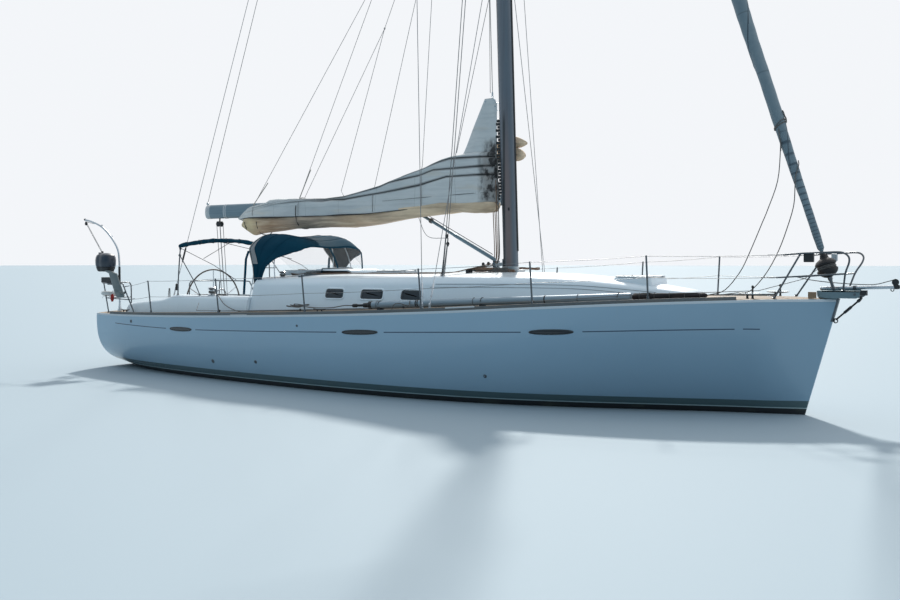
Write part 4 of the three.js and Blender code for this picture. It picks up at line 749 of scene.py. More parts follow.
deck_cabin = Shape().loft([[(x, y, z) for y, z in
                            [(along(ROOF_STATIONS, x, FOOT) - ROOF_WALL, 1.0),
                             (along(ROOF_STATIONS, x, FOOT) - ROOF_WALL, 1.8)]]
                           + [(x, -y, z) for y, z in
                              [(along(ROOF_STATIONS, x, FOOT) - ROOF_WALL, 1.8),
                               (along(ROOF_STATIONS, x, FOOT) - ROOF_WALL, 1.0)]]
                           for x in spaced(ROOF_AFT + 0.05, ROOF_FORE - 0.1, 12)])
carve(deck, [deck_cabin, cockpit_pocket, locker_block(0.04, 1.0, 1.9)])
deck.data.shade_smooth()
deck.data.set_sharp_from_angle(angle=math.radians(38))


# Cabin windows: panes of tinted acrylic with round corners, bonded into raised white surrounds that are
# moulded with the cabin side, three on each side.
tinted = Finish("tinted_acrylic", (0.015, 0.022, 0.030), 0.09, coat=0.3)
tinted.rough(tinted.noise(14.0), 0.05, 0.15)
tinted.tint(tinted.span(tinted.noise(5.0), 0.5, 0.8, 0.0, 0.4), (0.03, 0.045, 0.058))
for side, word in ((1, "port"), (-1, "starboard")):
    for number, (start, end) in enumerate(WINDOWS, 1):
        pane = Shape().loft(window_rings(start, end, side, [(-0.002, -0.012), (-0.002, 0.002),
                (-0.006, 0.005),
                                                            (-0.03, 0.006), (-0.06, 0.006)]))
        pane.piece(f"window_pane_{word}_{number}", tinted, slot="tinted",
                   replaces=(f"window_{word}_{number}",))
        rim = Shape().loft(window_rings(start, end, side, [(-0.001, -0.03), (-0.001, 0.009), (0.006, 0.014),
                                                           (0.018, 0.013), (0.026, 0.006), (0.028, -0.008)]),
                           ends=False)
        rim.piece(f"window_surround_{word}_{number}", roof_white, slot="roof")

# Two moulded feature lines run along each cabin side, from the last window towards the foredeck. They
# are part of the gelcoat skin; the thin tubes are coloured dark grey as painted shade, the thin shadow in
# each line.
side_lines = Shape()
for drop, start, end in ((0.035, 1.15, 4.7), (0.085, 1.05, 4.55)):
    xs = spaced(start, end, 40)
    for side in (1, -1):
        line = []
        for x in xs:
            edge_z = along(ROOF_STATIONS, x, EDGE_Z)
            line.append(Vector(roof_side(x, edge_z - drop - 0.02 * (x - start) / (end - start), 0.0, side)))
        side_lines.tube(line, 0.0055, 6)
# Painted shade: dark grey that stands for the shadow in the moulded grooves.
groove_shade_grey = Finish("feature_line_painted_shade", (0.28, 0.33, 0.37), 0.5)
groove_shade_grey.tint(groove_shade_grey.span(groove_shade_grey.noise(8.0), 0.4, 0.7, 0.0, 0.4), (0.40, 0.45, 0.49))
side_lines.piece("cabin_side_lines", groove_shade_grey, slot="roof")


# Hatches: each lid is a cast alloy frame round a tinted acrylic light, with two turning handles and a pair
# of hinges at its forward edge, closed on a rim that is moulded up from the roof.
hatch_alloy = Finish("hatch_alloy", (0.52, 0.55, 0.57), 0.4, 0.9)
hatch_alloy.rough(hatch_alloy.noise(40.0), 0.3, 0.5)
knob_black = Finish("moulded_black", (0.018, 0.019, 0.021), 0.5)
knob_black.rough(knob_black.noise(50.0), 0.4, 0.62)
knob_black.bump(knob_black.noise(400.0), 0.0004, 0.4)


def frame_rings(x, half, steps):
    return [[(x + dx, dy, z) for dx, dy in rounded(half + grow, half + grow, max(0.02, 0.05 + grow))]
            for grow, z in steps]


for name, x, half, top in HATCHES:
    body = name + "_lid"
    reach = half + HATCH_RIM - 0.005
    inner = reach - 0.042
    lid = Shape().loft(frame_rings(x, inner, [(0, top + 0.003), (0.042, top + 0.003), (0.042, top + 0.018),
                                              (0.034, top + 0.028), (0.004, top + 0.030), (0, top + 0.027),
                                              (0, top + 0.003)]), ends=False)
    for y in (-0.16, 0.16):
        lid.bar((x + reach - 0.05, y - 0.028, top + 0.004), (x + reach + 0.012, y + 0.028, top + 0.034))
    lid.piece(name + "_frame", hatch_alloy, body, "steel", bevel=0.002, replaces=(name,))
    light = Shape().loft(frame_rings(x, inner, [(-0.001, top + 0.006), (-0.001, top + 0.024),
                                                (-0.02, top + 0.026),
                                                (-0.12, top + 0.029)]))
    light.piece(name + "_light", tinted, body, "tinted")
    grips = Shape()
    for y in (-0.15, 0.15):
        grips.turned([(0.022, 0.0), (0.024, 0.005), (0.020, 0.012), (0.0, 0.013)],
                     (x - inner + 0.05, y, top + 0.024))
        grips.turned([(0.020, 0.0), (0.022, -0.012), (0.0, -0.014)], (x - inner + 0.05, y, top + 0.008))
        grips.bar((x - inner + 0.035, y - 0.045, top - 0.012), (x - inner + 0.065, y + 0.045, top - 0.003))
    grips.piece(name + "_handles", knob_black, body, "black_plastic", bevel=0.002)

RIM_LOW = 0.12
hatch_rims = Shape()
for name, x, half, top in HATCHES:
    outer = half + HATCH_RIM
    hatch_rims.loft([[(x + dx, dy, z) for dx, dy in rounded(r, r, max(0.03, c))] for r, c, z in (
        (half, 0.04, top - RIM_LOW), (outer + 0.012, 0.06, top - RIM_LOW), (outer, 0.06, top - 0.01),
        (outer - 0.006, 0.055, top), (half + 0.004, 0.045, top), (half, 0.04, top - 0.004),
        (half, 0.04, top - RIM_LOW))], ends=False)
hatch_rims.piece("hatch_rims", roof_white, slot="roof")


# Companionway: a tinted sliding hatch runs forward on moulded guides into a low garage. A teak grab
# strip closes its after edge.
GUIDE_AFT, GUIDE_FORE = -2.99, -1.33
GUIDE_HALF, GUIDE_WALL, GUIDE_TOP = 0.395, 0.04, 2.015
SLIDE_LOW, SLIDE_HIGH = 1.975, 2.000
GARAGE_AFT, GARAGE_TOP = -2.165, 2.035
guides = Shape()
for side in (1, -1):
    lows, highs = sorted((side * GUIDE_HALF, side * (GUIDE_HALF + GUIDE_WALL)))
    guides.bar((GUIDE_AFT, lows, 1.86), (GUIDE_FORE, highs, GUIDE_TOP))
    lows, highs = sorted((side * 0.34, side * GUIDE_HALF))
    guides.bar((GUIDE_AFT, lows, 1.86), (GUIDE_FORE, highs, SLIDE_LOW - 0.001))
guides.piece("companionway_guides", roof_white, slot="roof", bevel=0.008)
garage_half = GUIDE_HALF + GUIDE_WALL
garage = Shape()
rings = []
for x, low in ((GARAGE_AFT, 0.0), (GARAGE_AFT + 0.02, 0.0), (GUIDE_FORE - 0.06, 0.0), (GUIDE_FORE, 0.02)):
    half = [(garage_half, 1.90), (garage_half, GARAGE_TOP - 0.03 - low),
            (garage_half - 0.03, GARAGE_TOP - low),
            (0.0, GARAGE_TOP + 0.004 - low)]
    inner = [(0.0, SLIDE_HIGH + 0.008), (garage_half - 0.035, SLIDE_HIGH + 0.008),
             (garage_half - 0.035, 1.90)]
    ring = half + inner
    rings.append([(x, y, z) for y, z in ring])
for side in (1, -1):
    garage.loft([[(x, side * y, z) for x, y, z in ring] for ring in rings])
garage.bar((GUIDE_FORE - 0.015, -garage_half, 1.90), (GUIDE_FORE, garage_half, GARAGE_TOP - 0.03))
garage.piece("companionway_garage", roof_white, slot="roof", sharp=30)
SLIDE_SIDE = GUIDE_HALF - 0.006
slide = Shape().bar((-2.985, -SLIDE_SIDE, SLIDE_LOW), (-2.17, SLIDE_SIDE, SLIDE_HIGH))
slide.piece("sliding_hatch", tinted, "companionway_lid", "tinted", bevel=0.004,
            replaces=("companionway_hatch",))
strip = Shape().bar((-2.999, -SLIDE_SIDE, SLIDE_LOW - 0.004), (-2.955, SLIDE_SIDE, SLIDE_HIGH + 0.014))
strip.tube(spline([(-2.93, -0.10, 1.998), (-2.935, -0.08, 2.022), (-2.935, 0.08, 2.022),
                   (-2.93, 0.10, 1.998)], 6),
           0.007, 8)
strip.piece("sliding_hatch_grip", teak, "companionway_lid", "teak", bevel=0.006)
steps = Shape()
for k in range(4):
    steps.bar((-2.82 + 0.02 * k, -0.27, 1.08 - 0.27 * k), (-2.56 + 0.02 * k, 0.27, 1.11 - 0.27 * k))
for side in (1, -1):
    steps.loft([[(x, side * 0.27, z), (x + 0.05, side * 0.27, z), (x + 0.05, side * 0.295, z),
                 (x, side * 0.295, z)]
                for x, z in ((-2.80, 1.22), (-2.66, 0.20))])
steps.piece("companionway_steps", teak, slot="teak", bevel=0.008)
sole = Shape()
for i in range(10):
    y = -0.9 + 0.18 * i
    for x0, x1 in ((-1.85, 0.6), (0.61, 2.3), (2.31, 3.4)):
        sole.bar((x0, y + 0.002, -0.329), (x1, y + 0.178, -0.318))
sole.piece("cabin_sole", teak, slot="teak", bevel=0.002)


# Anchor locker lid: a teak-laid lid flush with the foredeck, tapered to the bow, with a pair of hinges
# at its after edge and a flush ring.
LID_GAP = 0.006
lid_rings = []
for x in spaced(5.606, 6.344, 12):
    part = (x - 5.6) / 0.75
    half = 0.300 + (0.210 - 0.300) * part - LID_GAP
    top = [(y, deck_top(x, y)) for y in (half * k / 5 for k in range(-5, 6))]
    lid_rings.append([(x, -half, 1.6405)] + [(x, y, z) for y, z in top] + [(x, half, 1.6405)])
lid_marks = [(x, 1.0 - abs(y)) for ring in lid_rings for x, y, z in ring]
Shape().loft(lid_rings, marks=lid_marks).piece("locker_lid_teak", deck_teak, "anchor_lid", "teak",
                                               bevel=0.003,
                                               replaces=("anchor_locker_lid",))
lid_metal = Shape()
for y in (-0.18, 0.18):
    lid_metal.bar((5.612, y - 0.02, deck_top(5.63, y) - 0.004), (5.68, y + 0.02, deck_top(5.63, y) + 0.003))
lid_metal.turned([(0.032, -0.01), (0.032, 0.002), (0.026, 0.003), (0.024, 0.0), (0.0, 0.0)],
                 (6.27, 0, deck_top(6.27, 0)))
lid_metal.ring((6.27, 0, deck_top(6.27, 0) + 0.003), (0, 0, 1), 0.017, 0.003, 24, 6)
lid_metal.piece("locker_lid_metal", stainless, "anchor_lid", "steel", bevel=0.001)


# Toe rails: a dark alloy-capped teak rail stands just inside each deck edge, through-bolted, with pale
# fairlead plates let into it and mooring cleats behind it.
rail_teak = Finish("weathered_rail", (0.115, 0.135, 0.145), 0.6)
rail_grain = rail_teak.noise(12.0, (0.2, 5, 5), 5)
rail_teak.tint(rail_teak.span(rail_grain, 0.35, 0.7, 0.0, 0.6), (0.065, 0.07, 0.07))
rail_teak.tint(rail_teak.span(rail_teak.noise(1.6), 0.5, 0.8, 0.0, 0.5), (0.20, 0.155, 0.12))
rail_teak.bump(rail_grain, 0.001, 0.5)
RAIL_XS = spaced(-6.70, 6.08, 92)
RAIL_SECTION = [(0.000, -0.020), (0.001, 0.036), (-0.005, 0.045), (-0.020, 0.046), (-0.026, 0.038),
                (-0.030, -0.020)]
for side, word in ((1, "port"), (-1, "starboard")):
    rings = []
    for x in RAIL_XS:
        outer, sheer = along(STATIONS, x, BEAM) - 0.014, along(STATIONS, x, SHEER)
        rings.append([(x, side * (outer + dy), sheer + dz) for dy, dz in RAIL_SECTION])
    Shape().loft(rings).piece(f"teak_toe_rail_{word}", rail_teak, slot="dark_teak",
                              replaces=(f"toe_rail_{word}",))

fairleads = Shape()
for x, half, low, high in ((-2.47, 0.22, -0.018, 0.008), (2.28, 0.25, 0.030, 0.052)):
    rings = []
    for part in spaced(-1.0, 1.0, 7):
        at = x + half * part
        y, z = along(STATIONS, at, BEAM) - 0.014, along(STATIONS, at, SHEER)
        rings.append([(at, y + dy, z + dz) for dy, dz in
                      ((0.004, low), (0.005, high - 0.006), (0.001, high), (-0.026, high), (-0.030, low))])
    fairleads.loft(rings)
fairleads.mirrored()
fairleads.piece("fairlead_plates", hatch_alloy, slot="steel", bevel=0.001)

CLEATS = [(-6.45, 1.46), (-0.70, 1.93)]
cleats = Shape()
for x, y in CLEATS:
    low = deck_top(x, y)
    for dx in (-0.05, 0.05):
        cleats.turned([(0.022, 0.0), (0.018, 0.006), (0.011, 0.018), (0.012, 0.042)],
                      (x + dx, y, low - 0.001), sides=14)
    cleats.tube(spline([(x - 0.14, y, low + 0.062), (x - 0.09, y, low + 0.053), (x, y, low + 0.05),
                        (x + 0.09, y, low + 0.053), (x + 0.14, y, low + 0.062)], 4),
                [0.006, 0.008, 0.010, 0.011, 0.012] + [0.012] * 7 + [0.012, 0.011, 0.010, 0.008, 0.006], 12)
cleats.mirrored()
cleats.piece("mooring_cleats", knob_black, slot="steel")


# Cockpit: one white moulding of coamings, seats and foot well with round edges, its seats and sole laid
# with teak. It drops into the deck between the cabin and the stern.
TUB_AFT, TUB_FORE, TUB_HALF, TUB_BOTTOM, COAM_TOP, SOLE_Z = -6.65, -3.01, 1.12, 0.39, 1.52, 0.45
SEAT_Z = 1.08
HELM_FORE, HELM_AFT, HELM_HALF = -4.95, -6.15, 0.98
tub = Shape().bar((TUB_AFT, -TUB_HALF, TUB_BOTTOM), (TUB_FORE, TUB_HALF, SEAT_Z + 0.06))
coaming_rings = []
COAM_AFT = -6.62
for x in [COAM_AFT, -6.60, -6.55, -6.3, -5.9, -5.56, -5.5, -5.44, -5.21, -5.15, -5.09, -4.6, -4.0, -3.4,
          TUB_FORE]:
    top = float(np.interp(x, [COAM_AFT, -6.55, -5.5, -5.15], [1.24, 1.33, 1.43, COAM_TOP]))
    outer = 1.33 + 0.07 * (x - COAM_AFT) / (TUB_FORE - COAM_AFT)
    low = [deck_top(x, y) - 0.01 for y in (outer, 1.12)]
    coaming_rings.append([(x, outer, low[0]), (x, outer - 0.02, top - 0.06), (x, outer - 0.07, top - 0.008),
                          (x, outer - 0.12, top), (x, 1.02, top), (x, 0.985, top - 0.01),
                          (x, 0.96, top - 0.045), (x, 0.96, 1.0), (x, 1.10, 1.0), (x, 1.119, low[1])])
tub_piece = tub.piece("cockpit_tub", roof_white, slot="roof", replaces=("cockpit",))
BIN_AFT, BIN_FORE, BIN_INNER, BIN_OUTER, BIN_LOW = -4.75, -3.25, 0.52, 0.86, 0.70
LID_RIM, LID_THICK = 0.025, 0.025
tub_cuts = [Shape().bar((HELM_FORE, -0.43, SOLE_Z), (TUB_FORE - 0.04, 0.43, 1.7)),
            Shape().bar((HELM_FORE, -0.96, SEAT_Z), (TUB_FORE + 0.1, 0.96, 1.7)),
            Shape().bar((HELM_AFT, -HELM_HALF, SOLE_Z), (HELM_FORE + 0.001, HELM_HALF, 1.7)),
            Shape().bar((TUB_AFT - 0.1, -HELM_HALF, SEAT_Z), (HELM_AFT + 0.001, HELM_HALF, 1.7)),
            Shape().bar((TUB_AFT + 0.04, -0.90, SOLE_Z + 0.06), (HELM_AFT - 0.04, 0.90, SEAT_Z - 0.04)),
            Shape().bar((HELM_AFT - 0.06, -0.35, SOLE_Z + 0.06), (HELM_AFT + 0.01, 0.35, SEAT_Z - 0.06))]
for side in (1, -1):
    a, b = sorted((side * BIN_INNER, side * BIN_OUTER))
    tub_cuts.append(Shape().bar((BIN_AFT, a, BIN_LOW), (BIN_FORE, b, SEAT_Z + 0.01)))
    a, b = sorted((side * (BIN_INNER - LID_RIM), side * (BIN_OUTER + LID_RIM)))
    tub_cuts.append(Shape().bar((BIN_AFT - LID_RIM, a, SEAT_Z - LID_THICK),
                                (BIN_FORE + LID_RIM, b, SEAT_Z + 0.01)))
carve(tub_piece, tub_cuts)
tub_edges = tub_piece.modifiers.new("soft_edges", "BEVEL")
tub_edges.width = 0.018
tub_edges.segments = 3
tub_edges.limit_method = "ANGLE"
tub_piece.data.shade_smooth()
tub_piece.data.set_sharp_from_angle(angle=math.radians(38))
coamings = Shape().loft(coaming_rings).mirrored()
coamings.piece("cockpit_coamings", roof_white, slot="roof", sharp=50)
coaming_bridge = Shape().bar((TUB_FORE - 0.04, -1.12, 1.0), (TUB_FORE, -0.96, COAM_TOP)).mirrored()
coaming_bridge.piece("coaming_ends", roof_white, slot="roof", bevel=0.006)


def slats(shape, x0, x1, y0, y1, z, thick, wide=0.048, gap=0.004):
    """Teak slats laid fore and aft between two sides."""
    count = max(1, round((y1 - y0 + gap) / (wide + gap)))
    step = (y1 - y0 + gap) / count
    for i in range(count):
        shape.bar((x0, y0 + i * step, z), (x1, y0 + (i + 1) * step - gap, z + thick))


seat_teak = Shape()
SLAT = 0.010
for side in (1, -1):
    for x0, x1, y0, y1 in ((HELM_FORE + 0.02, BIN_AFT - LID_RIM - 0.01, 0.45, 0.94),
                           (BIN_FORE + LID_RIM + 0.01, TUB_FORE - 0.03, 0.45, 0.94),
                           (BIN_AFT - LID_RIM - 0.005, BIN_FORE + LID_RIM + 0.005, 0.894, 0.94),
                           (BIN_AFT - LID_RIM - 0.005, BIN_FORE + LID_RIM + 0.005, 0.45, 0.487)):
        a, b = sorted((side * y0, side * y1))
        slats(seat_teak, x0, x1, a, b, SEAT_Z, SLAT)
slats(seat_teak, TUB_AFT + 0.03, HELM_AFT - 0.02, -0.94, 0.94, SEAT_Z, SLAT)
seat_teak.piece("cockpit_seat_teak", teak, slot="teak", bevel=0.002)
sole_teak = Shape()
slats(sole_teak, HELM_FORE + 0.02, TUB_FORE - 0.06, -0.40, 0.40, SOLE_Z, SLAT)
slats(sole_teak, HELM_AFT + 0.03, -5.09, -0.94, 0.94, SOLE_Z, SLAT)
sole_teak.piece("cockpit_sole_teak", teak, slot="teak", bevel=0.002)
for side, word, letter in ((1, "port", "p"), (-1, "starboard", "s")):
    inner, outer = side * (BIN_INNER - LID_RIM + 0.006), side * (BIN_OUTER + LID_RIM - 0.006)
    a, b = sorted((inner, outer))
    board = Shape().bar((BIN_AFT - LID_RIM + 0.006, a, SEAT_Z - LID_THICK + 0.0005),
                        (BIN_FORE + LID_RIM - 0.006, b, SEAT_Z - 0.001))
    board.piece(f"seat_locker_board_{word}", roof_white, f"locker_lid_{letter}", "roof", bevel=0.003,
                replaces=(f"locker_lid_{word}",))
    top = Shape()
    slats(top, BIN_AFT - LID_RIM + 0.012, BIN_FORE + LID_RIM - 0.012, a + 0.006, b - 0.006, SEAT_Z - 0.001,
          SLAT)
    top.piece(f"seat_locker_teak_{word}", teak, f"locker_lid_{letter}", "teak", bevel=0.002)
    hasp = Shape()
    for x in (-4.55, -3.45):
        y0, y1 = sorted((side * 0.868, side * 0.879))
        hasp.bar((x - 0.03, y0, SEAT_Z + 0.002), (x + 0.03, y1, SEAT_Z + 0.013))
    hasp.piece(f"seat_locker_hinges_{word}", stainless, f"locker_lid_{letter}", "steel", bevel=0.001)


# Keel: a cast iron fin with a torpedo bulb at its foot, faired and coated black, bolted up into the
# hull's bottom.
iron = Finish("antifouled_iron", (0.022, 0.026, 0.030), 0.65)
iron.tint(iron.span(iron.noise(3.0), 0.45, 0.75, 0.0, 0.5), (0.05, 0.055, 0.055))
iron.tint(iron.span(iron.noise(28.0), 0.62, 0.75, 0.0, 0.5), (0.09, 0.06, 0.04))
iron.rough(iron.noise(20.0), 0.55, 0.8)
iron.bump(iron.noise(45.0), 0.002, 0.4)


def foil(leading, trailing, thick, z, count=18):
    """Ring of a foil's section: round ahead, fine aft."""
    half = []
    for i in range(count + 1):
        part = (1 - math.cos(math.pi * i / count)) / 2
        width = 2.6 * (math.sqrt(part) - part) * (1 - 0.28 * part)
        half.append((leading + (trailing - leading) * part, max(width * thick / 2, 0.0)))
    return [(x, y, z) for x, y in half] + [(x, -y, z) for x, y in reversed(half[1:-1])]


def foil_blade(table, count):
    """Foil rings through a table of height, leading edge, trailing edge and thickness."""
    heights = spaced(table[0][0], table[-1][0], count)
    return [foil(*(along(table, z, column) for column in (1, 2, 3)), z) for z in heights]


KEEL_TABLE = [(-2.10, 0.74, -0.40, 0.16), (-2.0, 0.78, -0.42, 0.165), (-0.9, 1.02, -0.56, 0.19),
              (-0.52, 1.12, -0.63, 0.197)]
fin = Shape().loft(foil_blade(KEEL_TABLE, 16))
fin.piece("keel_fin", iron, slot="antifoul_iron", replaces=("keel",))
BULB_X, BULB_Z, BULB_LENGTH, BULB_RADIUS = 0.25, -2.12, 2.70, 0.18
bulb_rings = []
for i in range(1, 32):
    part = (1 - math.cos(math.pi * i / 32)) / 2
    swell = BULB_RADIUS * math.sqrt(math.sin(math.pi * part ** 0.8))
    bulb_rings.append([(BULB_X + BULB_LENGTH * (0.5 - part), 1.22 * swell * math.cos(a),
                        BULB_Z + swell * math.sin(a))
                       for a in (math.tau * k / 32 for k in range(32))])
Shape().loft(bulb_rings).piece("keel_bulb", iron, slot="antifoul_iron")


# Rudder: a balanced spade blade moulded on a steel stock, which turns in the hull under the helm.
RUDDER_TABLE = [(-1.95, -6.03, -6.40, 0.056), (-1.90, -6.015, -6.42, 0.060), (-1.1, -5.97, -6.50, 0.080),
                (-0.29, -5.96, -6.58, 0.091), (-0.27, -5.97, -6.57, 0.080)]
blade = Shape().loft(foil_blade(RUDDER_TABLE, 22))
blade.turned([(0.035, -0.5), (0.035, 0.86)], (-6.15, 0, -0.58), sides=24)
blade.piece("rudder_blade", iron, "rudder", "antifoul_iron", replaces=("rudder",))


# Sail drive: a cast leg of foil section under the engine with its gear case and anode, and a folding
# bronze propeller of three blades on its shaft.
LEG_X, SHAFT_Z = -2.18, -0.99
drive = Shape().loft([foil(LEG_X + 0.157, LEG_X - 0.18, 0.108, z) for z in spaced(-0.50, -0.6, 3)]
                     + [foil(LEG_X + 0.152, LEG_X - 0.155, 0.098, z) for z in spaced(-0.7, -0.97, 5)])
drive.turned([(0.0, 0.0), (0.03, 0.004), (0.05, 0.03), (0.061, 0.09), (0.062, 0.22), (0.058, 0.33),
              (0.050, 0.38)],
             (LEG_X + 0.19, 0, SHAFT_Z), (-1, 0, 0))
drive.turned([(0.013, 0.0), (0.013, 0.18)], (LEG_X - 0.18, 0, SHAFT_Z), (-1, 0, 0), 14)
drive.turned([(0.03, 0.0), (0.03, 0.02), (0.0, 0.02)], (LEG_X, 0.05, SHAFT_Z + 0.16), (0, 1, 0), 16)
drive.piece("drive_leg", iron, slot="antifoul_iron", replaces=("saildrive",))
bronze = Finish("worn_bronze", (0.42, 0.27, 0.12), 0.35, 1.0)
bronze.tint(bronze.span(bronze.noise(12.0), 0.45, 0.75, 0.0, 0.6), (0.16, 0.15, 0.09))
bronze.rough(bronze.noise(30.0), 0.28, 0.55)
HUB_X, PROP_RADIUS = LEG_X - 0.192 - 0.07, 0.238
screw = Shape().turned([(0.043, 0.0), (0.045, 0.02), (0.043, 0.08), (0.034, 0.125), (0.018, 0.139),
                        (0.0, 0.14)],
                       (LEG_X - 0.192, 0, SHAFT_Z), (-1, 0, 0))
for turn in (0, 1, 2):
    spin = Matrix.Translation((HUB_X, 0, SHAFT_Z)) @ Matrix.Rotation(math.tau * turn / 3, 4, "X")
    rings = []
    for i in range(11):
        part = i / 10
        r = 0.03 + (PROP_RADIUS - 0.03) * part
        chord = 0.12 * math.sin(math.pi * min(1.0, 0.16 + 0.80 * part)) ** 0.8 + 0.012
        pitch = math.atan2(0.30, math.tau * r)
        ring = []
        for k in range(14):
            a = math.tau * k / 14
            u, w = chord / 2 * math.cos(a), (0.008 - 0.005 * part) * math.sin(a)
            ring.append(spin @ Vector((u * math.sin(pitch) + w * math.cos(pitch),
                                       -u * math.cos(pitch) + w * math.sin(pitch), r)))
        rings.append(ring)
    screw.loft(rings)
screw.piece("propeller_screw", bronze, "propeller", "bronze", replaces=("propeller",))


# Engine: a small marine diesel on the sole under the steps, painted grey: block, head, rocker cover,
# alternator and belt wheels.
engine_grey = Finish("engine_paint", (0.15, 0.17, 0.185), 0.5, 0.2)
engine_grey.tint(engine_grey.span(engine_grey.noise(7.0), 0.5, 0.8, 0.0, 0.5), (0.06, 0.06, 0.055))
engine_grey.bump(engine_grey.noise(120.0), 0.0006, 0.3)
engine = Shape().bar((-2.72, -0.20, -0.22), (-2.02, 0.20, 0.12))
engine.bar((-2.66, -0.13, 0.12), (-2.10, 0.13, 0.24))
engine.bar((-2.62, -0.09, 0.24), (-2.16, 0.09, 0.325))
engine.bar((-2.74, -0.255, -0.325), (-1.98, -0.19, -0.20))
engine.bar((-2.74, 0.19, -0.325), (-1.98, 0.255, -0.20))
engine.bar((-2.60, -0.16, -0.325), (-2.10, 0.16, -0.22))
engine.turned([(0.075, 0.0), (0.08, 0.02), (0.08, 0.11), (0.06, 0.14)], (-2.30, 0.155, 0.16), (1, 0, 0))
engine.turned([(0.09, 0.0), (0.09, 0.015), (0.075, 0.02), (0.075, 0.035), (0.09, 0.04)], (-2.02, 0, -0.02),
              (1, 0, 0))
engine.turned([(0.05, 0.0), (0.05, 0.10), (0.03, 0.12)], (-2.45, -0.14, 0.14), (0, 0, 1))
engine.piece("engine_diesel", engine_grey, slot="engine_paint", bevel=0.008, replaces=("engine",))


# Pushpit and pulpit: bent rails of 25 mm stainless tube round the stern quarters and the bow, each leg
# welded to a round foot that is screwed to the deck.
TUBE = 0.013
PUSHPIT = [(-5.82, 1.70, 1.09), (-5.93, 1.714, 1.31), (-6.07, 1.722, 1.55), (-6.155, 1.722, 1.69),
           (-6.24, 1.714, 1.735), (-6.90, 1.62, 1.74), (-7.06, 1.53, 1.74), (-7.12, 1.40, 1.74),
           (-7.12, 0.90, 1.74),
           (-7.12, 0.81, 1.70), (-7.12, 0.79, 1.60), (-7.12, 0.79, 1.09)]
PUSHPIT_STRAIGHTS = [((-6.95, 1.48, 1.09), (-6.985, 1.572, 1.736), TUBE),
                     ((-5.995, 1.716, 1.42), (-6.965, 1.524, 1.43), TUBE - 0.003),
                     ((-6.965, 1.524, 1.43), (-7.12, 0.79, 1.43), TUBE - 0.003)]
PULPIT = [(6.67, 0.622, 2.266), (6.90, 0.585, 2.284), (7.15, 0.525, 2.294), (7.33, 0.465, 2.302),
          (7.42, 0.43, 2.29),
          (7.475, 0.39, 2.24), (7.47, 0.34, 2.16), (7.40, 0.25, 2.01), (7.345, 0.138, 1.785)]
PULPIT_STRAIGHTS = [((6.495, 0.49, 1.64), (6.895, 0.586, 2.284), TUBE),
                    ((6.56, 0.584, 1.952), (7.398, 0.248, 2.008), TUBE - 0.002)]
# Painted shade: a darkened copy of the polished stainless, its dark base colour standing for the shade on the
# tubes.
tube_steel = Finish("shaded_tube_steel", (0.13, 0.145, 0.16), 0.34, 0.9)
tube_steel.rough(tube_steel.noise(90.0, (1, 1, 6)), 0.26, 0.46)
tube_steel.tint(tube_steel.span(tube_steel.noise(7.0), 0.5, 0.8, 0.0, 0.6), (0.045, 0.055, 0.065))


def sided(point, side):
    return (point[0], side * point[1], point[2])


def foot(shape, at, low, side):
    """Round welded foot of a tube where it meets the deck."""
    shape.turned([(0.034, 0.0), (0.034, 0.006), (0.022, 0.010), (0.017, 0.026)], (at[0], side * at[1], low),
                 sides=18)


for side, word in ((1, "port"), (-1, "starboard")):
    rail = Shape().tube(spline([sided(p, side) for p in PUSHPIT], 6), TUBE, 12)
    for a, b, size in PUSHPIT_STRAIGHTS:
        rail.tube([sided(a, side), sided(b, side)], size, 10)
    for at in ((-5.83, 1.701, 0), (-6.953, 1.487, 0), (-7.12, 0.79, 0)):
        foot(rail, at, deck_top(at[0], at[1]), side)
    rail.piece(f"pushpit_rail_{word}", tube_steel, slot="steel", replaces=(f"pushpit_{word}",))
    rail = Shape().tube(spline([sided(p, side) for p in PULPIT], 6), TUBE, 12)
    for a, b, size in PULPIT_STRAIGHTS:
        rail.tube([sided(a, side), sided(b, side)], size, 10)
    foot(rail, (6.505, 0.494, 0), deck_top(6.505, 0.49), side)
    rail.turned([(0.03, 0.0), (0.03, 0.006), (0.018, 0.012)], (7.345, side * 0.136, 1.772), sides=16)
    rail.piece(f"pulpit_rail_{word}", tube_steel, slot="steel", replaces=(f"pulpit_{word}",))


# Guard rails: stainless stanchions lean a little outboard in cast feet along the toe rail, with two
# wires drawn through them, each ended in a tapered fitting.
STANCHIONS = [-5.22, -3.10, -0.87, 1.55, 3.40, 4.99]
RAIL_HEIGHT, RAIL_LEAN = 0.655, 0.137
WIRES = [(0.52, (6.568, 0.581, 1.952)), (0.98, (6.680, 0.620, 2.266))]


def stanchion_at(x, side, part):
    return Vector((x, side * (along(STATIONS, x, BEAM) - 0.085 + RAIL_LEAN * part * 0.55),
                   along(STATIONS, x, SHEER) + 0.008 + RAIL_HEIGHT * part))


